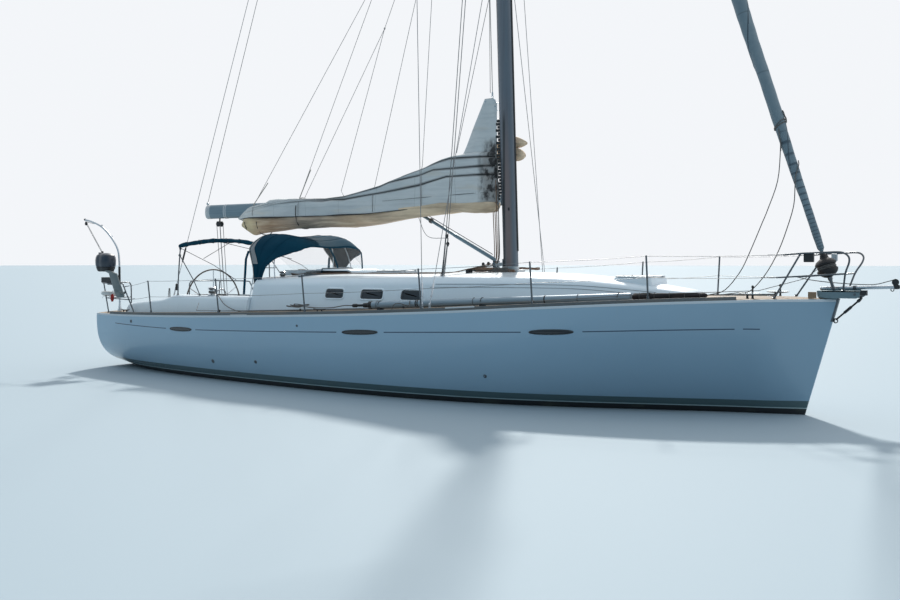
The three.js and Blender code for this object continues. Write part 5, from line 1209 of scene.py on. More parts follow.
wire_finish = Finish("stranded_wire", (0.30, 0.31, 0.32), 0.4, 0.9)
lay = wire_finish.node("ShaderNodeTexWave", {"Vector": wire_finish.place(), "Scale": 90.0, "Distortion": 1.0},
                       bands_direction="DIAGONAL")
wire_finish.tint(lay.outputs["Fac"], (0.20, 0.21, 0.22))
wire_finish.bump(lay.outputs["Fac"], 0.0006, 0.5)
for side, word in ((1, "port"), (-1, "starboard")):
    posts = Shape()
    for x in STANCHIONS:
        low, high = stanchion_at(x, side, 0.01), stanchion_at(x, side, 1.0)
        way = (high - low).normalized()
        length = (high - low).length
        posts.turned([(TUBE, 0.0), (TUBE, length - 0.006), (TUBE * 0.6, length)], low, way, 14)
        posts.turned([(0.036, -0.012), (0.036, 0.0), (0.022, 0.012), (0.019, 0.065), (0.0165, 0.07)], low,
                     way, 18)
        for part in (0.52, 0.98):
            posts.ring(stanchion_at(x, side, part), (1, 0, 0), 0.0085, 0.0035, 16, 6)
    posts.piece(f"stanchions_{word}", tube_steel, slot="steel", replaces=(f"lifelines_{word}",))
    wires = Shape()
    for part, fore in WIRES:
        line = [Vector((-6.145 if part > 0.9 else -5.985, side * 1.72, 1.67 if part > 0.9 else 1.425))]
        line += [stanchion_at(x, side, part) for x in STANCHIONS] + [Vector(sided(fore, side))]
        for a, b in zip(line, line[1:]):
            spots = [a.lerp(b, k / 6) + Vector((0, 0, -0.012 * math.sin(math.pi * k / 6))) for k in range(7)]
            wires.tube(spots, 0.0035, 8)
        for tip, inward in ((line[0], line[1]), (line[-1], line[-2])):
            way = (inward - tip).normalized()
            wires.turned([(0.009, -0.03), (0.009, 0.05), (0.006, 0.06), (0.0055, 0.16), (0.0035, 0.17)],
                         tip + way * 0.05,
                         way, 12)
    wires.piece(f"guard_wires_{word}", wire_finish, slot="wire")


# Mast: an anodised alloy extrusion of oval section, stepped on the roof, with a luff groove up its after
# side, a pole track up its fore side, and a crane for the stays and halyard sheaves at its head.
MAST_X, MAST_RAKE = 1.88, math.radians(1.9)
MAST_CHORD, MAST_WIDTH = 0.28, 0.16
MAST_TABLE = [(2.01, 1.0), (15.5, 1.0), (19.35, 0.86), (21.0, 0.62)]


def mast_x(z):
    return MAST_X - (z - 2.07) * math.tan(MAST_RAKE)


def mast_scale(z):
    return float(np.interp(z, [row[0] for row in MAST_TABLE], [row[1] for row in MAST_TABLE]))


def spar_ring(z, scale, sides=40):
    ring = []
    for k in range(sides):
        a = math.tau * k / sides
        groove_and_luff_shadow = 0.94 if k == sides // 2 else 1.0
        ring.append((mast_x(z) + scale * groove_and_luff_shadow * MAST_CHORD * math.cos(a) / 2,
                     scale * MAST_WIDTH * math.sin(a) / 2, z))
    return ring


spar_alloy = Finish("anodised_alloy", (0.165, 0.190, 0.222), 0.42, 0.55)
spar_streak = spar_alloy.noise(8.0, (4, 4, 0.08), 5)
spar_alloy.tint(spar_alloy.span(spar_streak, 0.35, 0.75, 0.0, 0.5), (0.115, 0.130, 0.155))
spar_alloy.tint(spar_alloy.span(spar_alloy.noise(1.2, (1, 1, 0.3)), 0.5, 0.8, 0.0, 0.35), (0.24, 0.265, 0.29))
spar_x, spar_y, spar_z = spar_alloy.split()
spar_face = spar_alloy.maths("ADD", spar_x, spar_alloy.maths("MULTIPLY", spar_z, math.tan(MAST_RAKE)))
spar_foot = spar_alloy.maths("MULTIPLY", spar_alloy.within(spar_face, 1.90, 2.02, 0.03),
                             spar_alloy.span(spar_z, 5.0, 3.6, 0.0, 0.7))
spar_alloy.tint(spar_foot, (0.27, 0.185, 0.165))
# Painted shadow: a dark strip down the mast's starboard side, aft, below the sail's head, where the luff and
# slides shade it.
groove_and_luff_shadow = spar_alloy.maths("MULTIPLY", spar_alloy.within(spar_x, 1.755, 1.806, 0.012),
                          spar_alloy.span(spar_z, 4.75, 4.5, 0.0, 0.85))
spar_alloy.tint(spar_alloy.maths("MULTIPLY", groove_and_luff_shadow, spar_alloy.span(spar_y, -0.03, -0.05, 0.0, 1.0)),
                (0.035, 0.042, 0.045))
spar_alloy.rough(spar_streak, 0.34, 0.55)
mast = Shape().loft([spar_ring(z, mast_scale(z)) for z in [*spaced(2.0, 15.5, 28), *spaced(16.2, 21.0, 10)]])
mast.piece("mast_extrusion", spar_alloy, slot="spar", sharp=30, replaces=("mast",))
fittings = Shape().loft([[(1.88 + x * s, y * s, z) for x, y in rounded(0.22, 0.13, 0.05)]
                         for s, z in ((1.0, 1.965), (1.0, 2.028), (0.96, 2.040), (0.80, 2.041))])
fittings.loft([spar_ring(2.041, 1.12), spar_ring(2.09, 1.12), spar_ring(2.095, 1.04)])
for z, size in ((3.21, 0.035), (2.13, 0.030)):
    fittings.bar((1.62, -0.015, z - size), (mast_x(z) - 0.10, 0.015, z + size))
    fittings.turned([(0.030, -size), (0.030, size)], (1.62, 0, z), sides=20)
    fittings.bar((mast_x(z) - 0.145, -0.05, z - 0.09), (mast_x(z) - 0.128, 0.05, z + 0.09))
CRANE_X = mast_x(21.0)
fittings.loft([[(CRANE_X + x, y, z) for x, z in ((-0.33, 20.955), (-0.33, 21.0), (-0.1, 21.01),
                                                 (0.19, 21.008), (0.19, 20.96),
                                                  (0.06, 20.90), (-0.08, 20.90))] for y in (-0.032, 0.032)])
for dx in (-0.27, 0.13):
    fittings.turned([(0.045, -0.02), (0.045, -0.012), (0.035, 0.0), (0.045, 0.012), (0.045, 0.02)],
                    (CRANE_X + dx, -0.034, 20.955), (0, 1, 0), 20)
fittings.piece("mast_fittings", hatch_alloy, slot="spar", bevel=0.004)
masthead = Shape().turned([(0.035, 0.0), (0.038, 0.02), (0.036, 0.09), (0.012, 0.10)],
                          (CRANE_X + 0.02, 0, 21.008), sides=20)
masthead.tube([(CRANE_X - 0.18, 0, 21.0), (CRANE_X - 0.18, 0, 21.52)], [0.004, 0.0015], 6)
masthead.tube([(CRANE_X + 0.1, 0, 21.0), (CRANE_X + 0.42, 0, 21.10), (CRANE_X + 0.55, 0, 21.16)], 0.006, 8)
masthead.turned([(0.02, 0.0), (0.03, 0.03), (0.012, 0.05)], (CRANE_X + 0.55, 0, 21.15), sides=14)
masthead.piece("masthead_instruments", knob_black, slot="black_plastic")
tracks = Shape()
for z0, z1 in ((2.35, 7.6),):
    rings = []
    for z in spaced(z0, z1, 8):
        face = mast_x(z) + MAST_CHORD / 2
        rings.append([(face - 0.004, -0.016, z), (face + 0.012, -0.016, z), (face + 0.016, -0.009, z),
                      (face + 0.016, 0.009, z), (face + 0.012, 0.016, z), (face - 0.004, 0.016, z)])
    tracks.loft(rings)
groove_rings = []
for z in spaced(3.4, 20.8, 12):
    face, s = mast_x(z) - MAST_CHORD / 2 * mast_scale(z), mast_scale(z)
    groove_rings.append([(face - 0.010, -0.011, z), (face + 0.012, -0.011, z), (face + 0.012, 0.011, z),
                         (face - 0.010, 0.011, z)])
tracks.loft(groove_rings)
tracks.bar((mast_x(3.05) + 0.02, -0.086, 3.03), (mast_x(3.05) + 0.045, -0.072, 3.08))
tracks.piece("mast_tracks", knob_black, slot="black_plastic", bevel=0.002)


# Spreaders: two pairs of aerofoil arms swept aft from cast collars on the mast, each tip holding the cap
# shroud in a rubber-covered end.
SPREADERS = [("spreaders_lower", 8.40, 1.55, 0.62), ("spreaders_upper", 14.40, 1.18, 0.47)]


def spreader_tip(z, half, sweep, side):
    return Vector((mast_x(z) - sweep, side * half, z + 0.06))


for name, z, half, sweep in SPREADERS:
    arms = Shape().loft([spar_ring(z + dz, s) for dz, s in ((-0.045, 1.04), (-0.04, 1.10), (0.04, 1.10),
            (0.045, 1.04))])
    tips = Shape()
    for side in (1, -1):
        root = Vector((mast_x(z) + 0.03, side * 0.05, z))
        tip = spreader_tip(z, half, sweep, side)
        rings = []
        for part in spaced(0.0, 1.0, 9):
            middle = root.lerp(tip, part)
            chord, thick = 0.075 - 0.037 * part, 0.015 - 0.006 * part
            rings.append([middle + Vector((chord * math.cos(a) * (1.0 if math.cos(a) > 0 else 1.1), 0,
                                           thick * math.sin(a)))
                          for a in (math.tau * k / 20 for k in range(20))])
        arms.loft(rings)
        way = (tip - root).normalized()
        tips.turned([(0.018, -0.06), (0.026, -0.04), (0.028, 0.0), (0.02, 0.02), (0.0, 0.025)], tip, way, 18)
    arms.piece(name + "_arms", spar_alloy, slot="spar", replaces=(name,))
    tips.piece(name + "_tip_covers", knob_black, slot="black_plastic")


# Standing rigging: stainless wire shrouds from deck plates over the spreader tips, and a backstay to the
# masthead crane, tensioned by chromed bronze turnbuckles with split pins. The backstay's foot is sleeved.
WIRE = 0.0055


def screw_end(shape, low, high, length):
    """Turnbuckle with forks and barrel at the foot of a stay."""
    way = (high - low).normalized()
    shape.turned([(0.012, 0.0), (0.012, 0.05), (0.007, 0.055), (0.007, length * 0.3), (0.015, length * 0.32),
                  (0.016, length * 0.75), (0.008, length * 0.78), (0.008, length), (WIRE, length + 0.03)],
                  low, way, 16)
    shape.turned([(0.017, -0.017), (0.017, 0.017)], low + way * 0.02, (1, 0, 0), 12)


CHAINPLATES = [(1.43, 1.89), (1.53, 1.83)]
for side, word in ((1, "port"), (-1, "starboard")):
    feet = [Vector((x, side * y, 1.485)) for x, y in CHAINPLATES]
    lower_tip = spreader_tip(*SPREADERS[0][1:], side) + Vector((-0.006, side * 0.016, 0))
    upper_tip = spreader_tip(*SPREADERS[1][1:], side) + Vector((-0.006, side * 0.016, 0))
    cap_end = Vector((mast_x(19.65), side * 0.072, 19.65))
    lower_end = Vector((mast_x(8.15), side * 0.084, 8.15))
    middle_end = Vector((mast_x(14.15), side * 0.084, 14.15))
    wires = Shape().tube([feet[0], lower_tip], WIRE, 8).tube([lower_tip, upper_tip], WIRE, 8)
    wires.tube([upper_tip, cap_end], WIRE, 8).tube([feet[1], lower_end], WIRE, 8)
    wires.tube([lower_tip, middle_end], WIRE * 0.9, 8)
    wires.piece(f"shroud_wires_{word}", wire_finish, slot="wire", replaces=(f"shrouds_{word}",))
    ends = Shape()
    screw_end(ends, feet[0], lower_tip, 0.46)
    screw_end(ends, feet[1], lower_end, 0.46)
    for x, y in CHAINPLATES:
        low = deck_top(x, y)
        ends.bar((x - 0.022, side * y - 0.005, low - 0.01), (x + 0.022, side * y + 0.005, 1.505))
    lows, highs = sorted((side * 1.79, side * 1.93))
    ends.bar((1.38, lows, deck_top(1.48, 1.93) - 0.004), (1.59, highs, deck_top(1.48, 1.80) + 0.004))
    for end in (cap_end, lower_end, middle_end):
        ends.turned([(0.010, -0.04), (0.016, -0.03), (0.016, 0.03), (0.008, 0.05)], end, (0, 0, 1), 12)
    ends.piece(f"shroud_ends_{word}", stainless, slot="steel", bevel=0.001)

BACK_TOP = Vector((CRANE_X - 0.30, 0, 20.95))
BACK_FOOT = Vector((-6.80, 0, 1.20))
back = Shape().tube([BACK_FOOT, BACK_TOP], WIRE, 8)
back.piece("backstay_wire", wire_finish, slot="wire", replaces=("backstay",))
back_ends = Shape()
screw_end(back_ends, BACK_FOOT, BACK_TOP, 0.62)
back_ends.bar((-6.84, -0.008, deck_top(-6.8, 0) - 0.005), (-6.76, 0.008, 1.225))
back_ends.bar((-6.87, -0.05, deck_top(-6.8, 0) - 0.002), (-6.73, 0.05, deck_top(-6.8, 0) + 0.006))
back_ends.piece("backstay_ends", stainless, slot="steel", bevel=0.002)
sleeve = Shape().tube([BACK_FOOT.lerp(BACK_TOP, t) for t in spaced(0.049, 0.065, 8)],
                      [0.010] + [0.019] * 6 + [0.010], 12)
for z, out in ((1.66, 0.016), (1.60, 0.030)):
    sleeve.turned([(0.0, -0.045), (0.028, -0.035), (0.030, 0.0), (0.028, 0.035), (0.0, 0.045)],
                  BACK_FOOT.lerp(BACK_TOP, (z - BACK_FOOT.z) / (BACK_TOP.z - BACK_FOOT.z)) + Vector((out, 0,
            0)), sides=18)
for y in (-0.05, -0.015, 0.02, 0.055):
    sleeve.tube([(-6.90 + abs(y), y, deck_top(-6.9, y)), (-6.86, y * 0.7, 1.36), (-6.845, y * 0.3, 1.60)],
                0.0045, 8)
sleeve.piece("backstay_sleeve", knob_black, slot="black_plastic")


# Furled headsail: rolled round its foil, with the blue-grey sun strip outermost. The cloth winds in a slow
# spiral, creased and hand-stitched across, and its sheets hold it shut low down.
STAY_FOOT = Vector((7.03, 0.0, 2.25))
STAY_HEAD = Vector((1.56, 0.0, 19.35))
STAY_WAY = (STAY_HEAD - STAY_FOOT).normalized()
STAY_LENGTH = (STAY_HEAD - STAY_FOOT).length
STAY_SIDE = Vector((0, 1, 0))
STAY_FRONT = STAY_WAY.cross(STAY_SIDE).normalized() * -1
# Columns: distance up the stay, radius of the roll
FURL_TABLE = [(0.06, 0.016), (0.09, 0.046), (0.30, 0.054), (0.90, 0.062), (2.10, 0.084), (3.90, 0.108),
              (8.0, 0.118), (12.5, 0.092), (16.2, 0.040), (16.4, 0.016)]


STAY_SAG = 0.075


def on_stay(up, out=0.0, turn=0.0):
    """Point so far up the sagging stay, standing off it at an angle that is 0 ahead and grows to port."""
    part = up / STAY_LENGTH
    sag = Vector((4 * STAY_SAG * part * (1 - part), 0, 0))
    return STAY_FOOT + STAY_WAY * up - sag + (STAY_FRONT * math.cos(turn) + STAY_SIDE * math.sin(turn)) * out


draw = random.Random(5)
dents = [(draw.uniform(0.5, 16.0), draw.uniform(0, math.tau), draw.uniform(0.08, 0.3), draw.uniform(0.4, 1.1))
         for _ in range(90)]
rings, roll_marks = [], []
ROLL_SIDES = 44
for i in range(300):
    up = 0.062 + (16.38 - 0.062) * i / 299
    size = float(np.interp(up, [row[0] for row in FURL_TABLE], [row[1] for row in FURL_TABLE]))
    ring = []
    seam = up * math.tau / 1.9
    for k in range(ROLL_SIDES):
        turn = math.tau * k / ROLL_SIDES
        lap = ((turn - seam) % math.tau) / math.tau
        out = size * (0.93 + 0.13 * lap)
        out += size * 0.022 * math.sin(3 * turn + up * 2.1) * math.sin(up * 5.3 + turn)
        out += size * 0.016 * math.sin(up * 19.0 + 2 * turn + 2.0 * math.sin(up * 1.7))
        for at, way, deep, long in dents:
            if abs(up - at) < long:
                off = abs((turn - way + math.pi) % math.tau - math.pi)
                if off < 1.2:
                    out -= size * 0.22 * deep * math.cos(math.pi * (up - at) / long / 2) * math.cos(off
                            / 1.2 * math.pi / 2)
        ring.append(on_stay(up, out, turn))
        roll_marks.append((lap, up))
    rings.append(ring)
genoa = Shape().loft(rings, marks=roll_marks)
sun_strip = Finish("sun_strip_cloth", (0.17, 0.235, 0.275), 0.8, sheen=0.25)
strip_lap, strip_up, _ = sun_strip.split("UV")
sun_strip.tint(sun_strip.span(sun_strip.noise(1.4, (2, 2, 0.6)), 0.35, 0.75, 0.0, 0.6), (0.115, 0.165, 0.20))
sun_strip.tint(sun_strip.span(sun_strip.noise(14.0), 0.5, 0.8, 0.0, 0.25), (0.26, 0.32, 0.35))
stitch_run = sun_strip.maths("EXPONENT", sun_strip.maths("MULTIPLY", strip_up, -1.0))
stitch = sun_strip.maths("FRACT", sun_strip.maths("DIVIDE", stitch_run, 0.036))
stitch_mask = sun_strip.maths("MULTIPLY", sun_strip.span(stitch, 0.30, 0.16),
                              sun_strip.span(strip_up, 1.90, 1.72))
sun_strip.tint(sun_strip.maths("MULTIPLY", stitch_mask, 0.75), (0.035, 0.06, 0.085))
sun_strip.tint(sun_strip.within(strip_lap, 0.955, 0.985, 0.004), (0.05, 0.075, 0.095))
panel = sun_strip.maths("FRACT", sun_strip.maths("DIVIDE", strip_up, 0.92))
sun_strip.tint(sun_strip.maths("MULTIPLY", sun_strip.span(panel, 0.03, 0.015), 0.5), (0.07, 0.10, 0.125))
weave = sun_strip.noise(900.0, (1, 1, 1), 1)
sun_strip.bump(sun_strip.maths("ADD", sun_strip.noise(22.0, (1, 1, 2.5)),
                               sun_strip.maths("MULTIPLY", weave, 0.12)),
               0.008, 0.5)
genoa.piece("furled_headsail", sun_strip, slot="uv_cloth", sharp=60, replaces=("furled_genoa",))
foil_rod = Shape().tube([on_stay(0.02), on_stay(0.10)], 0.016, 14)
foil_rod.tube([on_stay(16.3), on_stay(17.0), on_stay(STAY_LENGTH - 0.26)], 0.016, 14)
foil_rod.tube([on_stay(STAY_LENGTH - 0.2595), on_stay(STAY_LENGTH + 0.08)], 0.008, 10)
foil_rod.turned([(0.03, 0.0), (0.034, 0.02), (0.034, 0.10), (0.026, 0.12)], on_stay(16.42), STAY_WAY, 16)
foil_rod.turned([(0.018, 0.0), (0.02, 0.02), (0.02, 0.05), (0.01, 0.06)], on_stay(STAY_LENGTH - 0.28),
                STAY_WAY, 14)
foil_rod.piece("headstay_foil", spar_alloy, slot="spar", replaces=("forestay_head",))
CLEW_UP = 1.95
strap = Shape()
for up, tilt, size in ((CLEW_UP, 0.030, 0.009), (CLEW_UP + 0.03, 0.045, 0.006)):
    radius = float(np.interp(up, [row[0] for row in FURL_TABLE], [row[1] for row in FURL_TABLE])) + 0.009
    turns_of = [on_stay(up + tilt * math.cos(a), radius, a) for a in (math.tau * j / 28 for j in range(29))]
    strap.tube(turns_of, size, 8)
strap.tube(spline([on_stay(1.97, 0.094, 0.1), on_stay(2.02, 0.112, -0.1), on_stay(2.07, 0.098, 0.15),
                   on_stay(2.11, 0.105, -0.1),
                   on_stay(2.15, 0.094, 0.1)], 4), 0.010, 8)
strap.tube(spline([on_stay(1.90, 0.093, -1.7), on_stay(1.80, 0.098, -1.9), on_stay(1.68, 0.100, -2.1),
                   on_stay(1.60, 0.104, -2.5)], 4), 0.007, 8)
rope_dark = Finish("sheet_rope", (0.085, 0.082, 0.08), 0.85)
braid = rope_dark.node("ShaderNodeTexWave", {"Vector": rope_dark.place(), "Scale": 42.0, "Distortion": 2.0},
                       bands_direction="DIAGONAL")
rope_dark.tint(braid.outputs["Fac"], (0.16, 0.15, 0.14))
rope_dark.bump(braid.outputs["Fac"], 0.002, 0.6)
strap.piece("headsail_sheet_turns", rope_dark, slot="bag_cloth")

# The two headsail sheets, 14 mm braid, hang from the roll to the foredeck and lead aft along the side
# decks to the primary winches.
SHEET_SIZE = 0.014


def deck_run(pairs, side, lift=0.011):
    return [(x, side * y, deck_top(x, y) + lift) for x, y in pairs]


sheet_routes = {
    "starboard": [on_stay(1.76, 0.092, -2.0), on_stay(1.62, 0.104, -2.5), (6.42, -0.13, 3.32),
                  (6.29, -0.16, 2.91),
                  (6.23, -0.20, 2.73), (6.08, -0.30, 2.29), (5.98, -0.40, 2.02),
                  (5.81, -0.52, 1.77), (5.62, -0.575, 1.702)]
    + deck_run([(5.4, 0.64), (5.0, 0.78), (4.4, 0.90), (3.6, 1.07), (2.9, 1.20), (1.7, 1.40), (0.6, 1.49),
                (-0.6, 1.52),
                (-1.8, 1.52), (-2.7, 1.49), (-3.15, 1.46)], -1)
    + [(-3.55, -1.42, 1.36), (-3.80, -1.37, 1.535), (-4.00, -1.285, 1.592), (-4.14, -1.262, 1.602)],
    "port": [on_stay(1.40, 0.088, 0.5), on_stay(1.32, 0.088, -0.4), on_stay(1.18, 0.086, -1.5),
             on_stay(1.04, 0.088, -2.2), (6.615, -0.005, 2.99), (6.52, 0.08, 2.73), (6.32, 0.25, 2.33),
             (6.07, 0.42, 1.98), (5.80, 0.54, 1.73), (5.60, 0.60, 1.700)]
    + deck_run([(5.2, 0.75), (4.9, 0.84), (4.4, 0.92), (3.6, 1.07), (2.9, 1.20), (1.7, 1.40), (0.6, 1.49),
                (-0.6, 1.52), (-1.8, 1.52),
                (-2.7, 1.49), (-3.15, 1.46)], 1)
    + [(-3.55, 1.42, 1.36), (-3.80, 1.37, 1.535), (-4.00, 1.285, 1.592), (-4.14, 1.262, 1.602)],
}
for word, route in sheet_routes.items():
    line = spline(route, 4)
    length = sum((b - a).length for a, b in zip(line, line[1:]))
    sheet_rope = Shape().tube(line, SHEET_SIZE / 2, 8).piece(f"headsail_sheet_{word}", rope_dark,
            slot="bag_cloth")


# Furler drum: a closed black moulded drum on the stay's toggle between the sail's tack and the bow fitting.
# Its line fills the slot round its middle and leads aft along the stanchion feet.
drum = Shape()
drum.turned([(0.048, 0.0), (0.058, -0.032), (0.122, -0.070), (0.146, -0.104), (0.147, -0.128),
             (0.126, -0.134),
             (0.126, -0.192), (0.147, -0.198), (0.147, -0.218), (0.128, -0.252), (0.072, -0.296),
             (0.030, -0.311)],
            STAY_FOOT, STAY_WAY, 16)
drum.turned([(0.0, 0.06), (0.03, 0.06), (0.034, 0.03), (0.05, 0.0)], STAY_FOOT, STAY_WAY, 24)
drum.tube([on_stay(-0.06, 0.10, 1.2), on_stay(-0.02, 0.075, 1.0), on_stay(0.03, 0.045, 0.8)], 0.011, 10)
drum_black = Finish("drum_black", (0.008, 0.008, 0.010), 0.55)
drum_black.tint(drum_black.span(drum_black.noise(14.0), 0.5, 0.8, 0.0, 0.5), (0.020, 0.020, 0.023))
drum_black.bump(drum_black.noise(200.0), 0.0004, 0.3)
drum.piece("furler_drum_body", drum_black, slot="black_plastic", bevel=0.003, replaces=("furler_drum",))
drum_line = Shape()
coil = []
for k in range(150):
    a = k * 0.42
    coil.append(on_stay(-0.163 - 0.022 * math.cos(k / 149 * math.pi * 5), 0.124 + 0.004 * (k / 149), a))
drum_line.tube(coil, 0.0055, 6)
led = [(7.0, -0.13, 2.07), (6.87, -0.32, 1.935), (6.28, -0.47, 1.765), (5.6, -0.93, 1.735),
       (4.99, -1.28, 1.715)]
led += [(x, 0.10 - along(STATIONS, x, BEAM), along(STATIONS, x, SHEER) + 0.075)
        for x in (3.40, 1.20, -1.00, -3.10)]
led += [(-3.80, -1.90, 1.27), (-4.05, -1.62, 1.40)]
for a, b in zip(led, led[1:]):
    drum_line.tube([Vector(a).lerp(Vector(b), k / 5) for k in range(6)], 0.0045, 8)
drum_line.piece("furler_line", rope_dark, slot="bag_cloth")
line_blocks = Shape()
for x, y, z in led[4:9]:
    line_blocks.turned([(0.016, -0.010), (0.020, -0.006), (0.020, 0.006), (0.016, 0.010)],
                       (x, y + 0.006, z), (0, 1, 0), 18)
    line_blocks.tube([(x, y, z), (x, y - 0.012, z - 0.06)], 0.004, 8)
line_blocks.piece("furler_line_blocks", knob_black, slot="black_plastic")
stem_link = Shape()
stem_link.turned([(0.034, -0.308), (0.032, -0.345), (0.022, -0.36), (0.022, -0.452), (0.027, -0.46),
                  (0.027, -0.49),
                  (0.012, -0.498)], STAY_FOOT, STAY_WAY, 20)
stem_link.piece("furler_toggle", tube_steel, slot="steel")


# Bow fitting: a welded alloy platform over the stem with its roller, a steel strap down the stem, a sprit
# tube for a light sail, and a dark served strut from its end down to the strap.
PLATE_AFT, PLATE_FORE, PLATE_HALF, PLATE_TOP = 6.98, 7.57, 0.15, 1.772
platform_alloy = Finish("platform_alloy", (0.185, 0.255, 0.285), 0.45, 0.5)
platform_alloy.tint(platform_alloy.span(platform_alloy.noise(9.0), 0.45, 0.8, 0.0, 0.5), (0.105, 0.15, 0.17))
platform_alloy.bump(platform_alloy.noise(120.0), 0.0004, 0.3)
bow = Shape().loft([[(x, y, z) for x, y in ((PLATE_AFT, -0.11), (7.05, -PLATE_HALF),
                                            (PLATE_FORE, -PLATE_HALF),
                                            (PLATE_FORE, PLATE_HALF), (7.05, PLATE_HALF), (PLATE_AFT, 0.11))]
                    for z in (PLATE_TOP - 0.02, PLATE_TOP)])
for side in (1, -1):
    a, b = sorted((side * (PLATE_HALF - 0.012), side * PLATE_HALF))
    bow.loft([[(x, y, z) for x, z in ((6.99, PLATE_TOP - 0.001), (7.0, 1.685), (7.12, 1.668), (7.52, 1.668),
                                      (7.565, 1.70),
                                      (7.565, PLATE_TOP - 0.001))] for y in (a, b)])
bow.bar((6.99, -0.07, 1.645), (7.235, 0.07, PLATE_TOP - 0.005))
bow.bar((7.0, 0.084, PLATE_TOP - 0.005), (7.52, 0.116, 1.800))
bow.bar((7.10, -0.012, PLATE_TOP - 0.01), (7.24, 0.012, 1.80))
bow.piece("bow_platform", platform_alloy, slot="steel", bevel=0.002, replaces=("bow_fitting",))
STEM_STRAP = [(1.335, 7.172), (1.42, 7.195), (1.52, 7.222), (1.63, 7.252), (1.66, 7.256)]
strap_rings = [[(x - 0.055, -0.036, z), (x + 0.004, -0.032, z), (x + 0.009, 0.0, z), (x + 0.004, 0.032, z),
                (x - 0.055, 0.036, z), (x - 0.055, 0.030, z), (x - 0.02, 0.0, z), (x - 0.055, -0.030, z)]
               for z, x in STEM_STRAP]
stem_strap = Shape().loft(strap_rings)
for x in (7.14, 7.44):
    stem_strap.turned([(0.031, -0.022), (0.031, 0.022)], (x, 0.1, 1.794 + (x - 6.97) * 0.0336),
                      (1, 0, 0.034), 24)
for side in (1, -1):
    stem_strap.tube([(7.50, side * 0.145, 1.722), (7.50, side * 0.160, 1.722)], 0.018, 14)
stem_strap.piece("stem_strap", tube_steel, slot="steel", bevel=0.001)
sprit = Shape().tube([(6.97, 0.1, 1.794), (7.5, 0.1, 1.812), (7.96, 0.1, 1.827)], 0.025, 24)
sprit.piece("sprit_tube", stainless, slot="spar")
sprit_end = Shape().turned([(0.027, 0.0), (0.031, 0.01), (0.031, 0.05), (0.024, 0.07), (0.0, 0.075)],
                           (7.955, 0.1, 1.8275), (1, 0, 0.034))
sprit_end.turned([(0.0, -0.016), (0.030, -0.016), (0.045, -0.012), (0.036, 0.0), (0.045, 0.012),
                  (0.030, 0.016),
                  (0.0, 0.016)], (7.968, 0.1, 1.892), (0, 1, 0), 28)
sprit_end.bar((7.948, 0.078, 1.83), (7.988, 0.084, 1.912))
sprit_end.bar((7.948, 0.116, 1.83), (7.988, 0.122, 1.912))
sprit_end.ring((7.93, 0.1, 1.79), (0, 1, 0), 0.020, 0.006, 20, 8)
sprit_end.piece("sprit_end_fitting", knob_black, slot="black_plastic")
rollers = Shape()
rollers.turned([(0.046, -0.125), (0.046, -0.10), (0.028, -0.05), (0.022, 0.0), (0.028, 0.05), (0.046, 0.10),
                (0.046, 0.125)],
               (7.48, 0, 1.725), (0, 1, 0), 28)
rollers.turned([(0.014, -0.138), (0.014, 0.138)], (7.55, 0, 1.712), (0, 1, 0), 14)
rollers.bar((7.572, -0.145, 1.712), (7.655, -0.085, 1.782))
rollers.bar((7.535, -0.02, 1.655), (7.562, 0.02, 1.712))
rollers.piece("bow_rollers", knob_black, slot="black_plastic", bevel=0.002)
strut_top, strut_low = Vector((7.545, 0, 1.66)), Vector((7.215, 0, 1.363))
strut = Shape().tube([strut_top, strut_low], 0.013, 12)
strut_way = (strut_low - strut_top).normalized()
strut.turned([(0.013, 0.0), (0.020, 0.01), (0.020, 0.13), (0.013, 0.14)], strut_top + strut_way * 0.16,
             strut_way, 16)
strut.turned([(0.016, 0.0), (0.022, 0.02), (0.022, 0.05), (0.012, 0.065)], strut_top, strut_way, 14)
strut.ring(strut_low + Vector((-0.004, 0, -0.014)), (0, 1, 0), 0.028, 0.008, 24, 8)
strut.bar((7.165, -0.012, 1.335), (7.20, 0.012, 1.372))
strut.piece("sprit_strut", knob_black, slot="steel")
lashing = Shape().tube(spline([(6.80, -0.48, 1.965), (6.95, -0.22, 1.915), (7.196, 0.06, 1.876),
                               (7.65, 0.10, 1.856),
                               (7.88, 0.1, 1.905), (7.968, 0.1, 1.935)], 6), 0.006, 8)
lashing.piece("sprit_line", rope_dark, slot="bag_cloth")

# Small boxes clipped to the pulpit rails hold the deck lights. A cleat on two feet and a teak block stand
# at the edge of the foredeck.
pulpit_boxes = Shape().bar((6.925, -0.565, 2.165), (7.06, -0.505, 2.285))
pulpit_boxes.piece("pulpit_box", knob_black, slot="black_plastic", bevel=0.012)
pulpit_light = Shape().bar((7.0, 0.495, 2.18), (7.085, 0.55, 2.288))
pulpit_light.piece("pulpit_light", hatch_alloy, slot="steel", bevel=0.012)
bow_block = Shape().bar((6.893, -0.235, 1.662), (6.998, -0.175, 1.752))
bow_block.piece("bow_chock", teak, slot="teak", bevel=0.008)
cleat = Shape()
for side in (1, -1):
    low = deck_top(6.2, 0.60) - 0.002
    for x in (6.165, 6.24):
        cleat.turned([(0.026, 0.0), (0.018, 0.006), (0.015, 0.035), (0.017, 0.06)], (x, side * 0.60, low),
                     sides=16)
    cleat.turned([(0.012, 0.0), (0.011, 0.075), (0.018, 0.085), (0.018, 0.108), (0.008, 0.118), (0.0, 0.118)],
                 (6.24, side * 0.60, low + 0.068), sides=16)
cleat.piece("bow_cleat_posts", knob_black, slot="black_plastic")
horn = Shape()
for side in (1, -1):
    low = deck_top(6.2, 0.60) - 0.002
    horn.tube([(6.04, side * 0.60, low + 0.072), (6.12, side * 0.60, low + 0.065),
               (6.28, side * 0.60, low + 0.065),
               (6.37, side * 0.60, low + 0.072)], [0.008, 0.014, 0.014, 0.008], 14)
horn.piece("bow_cleat_horns", hatch_alloy, slot="steel")


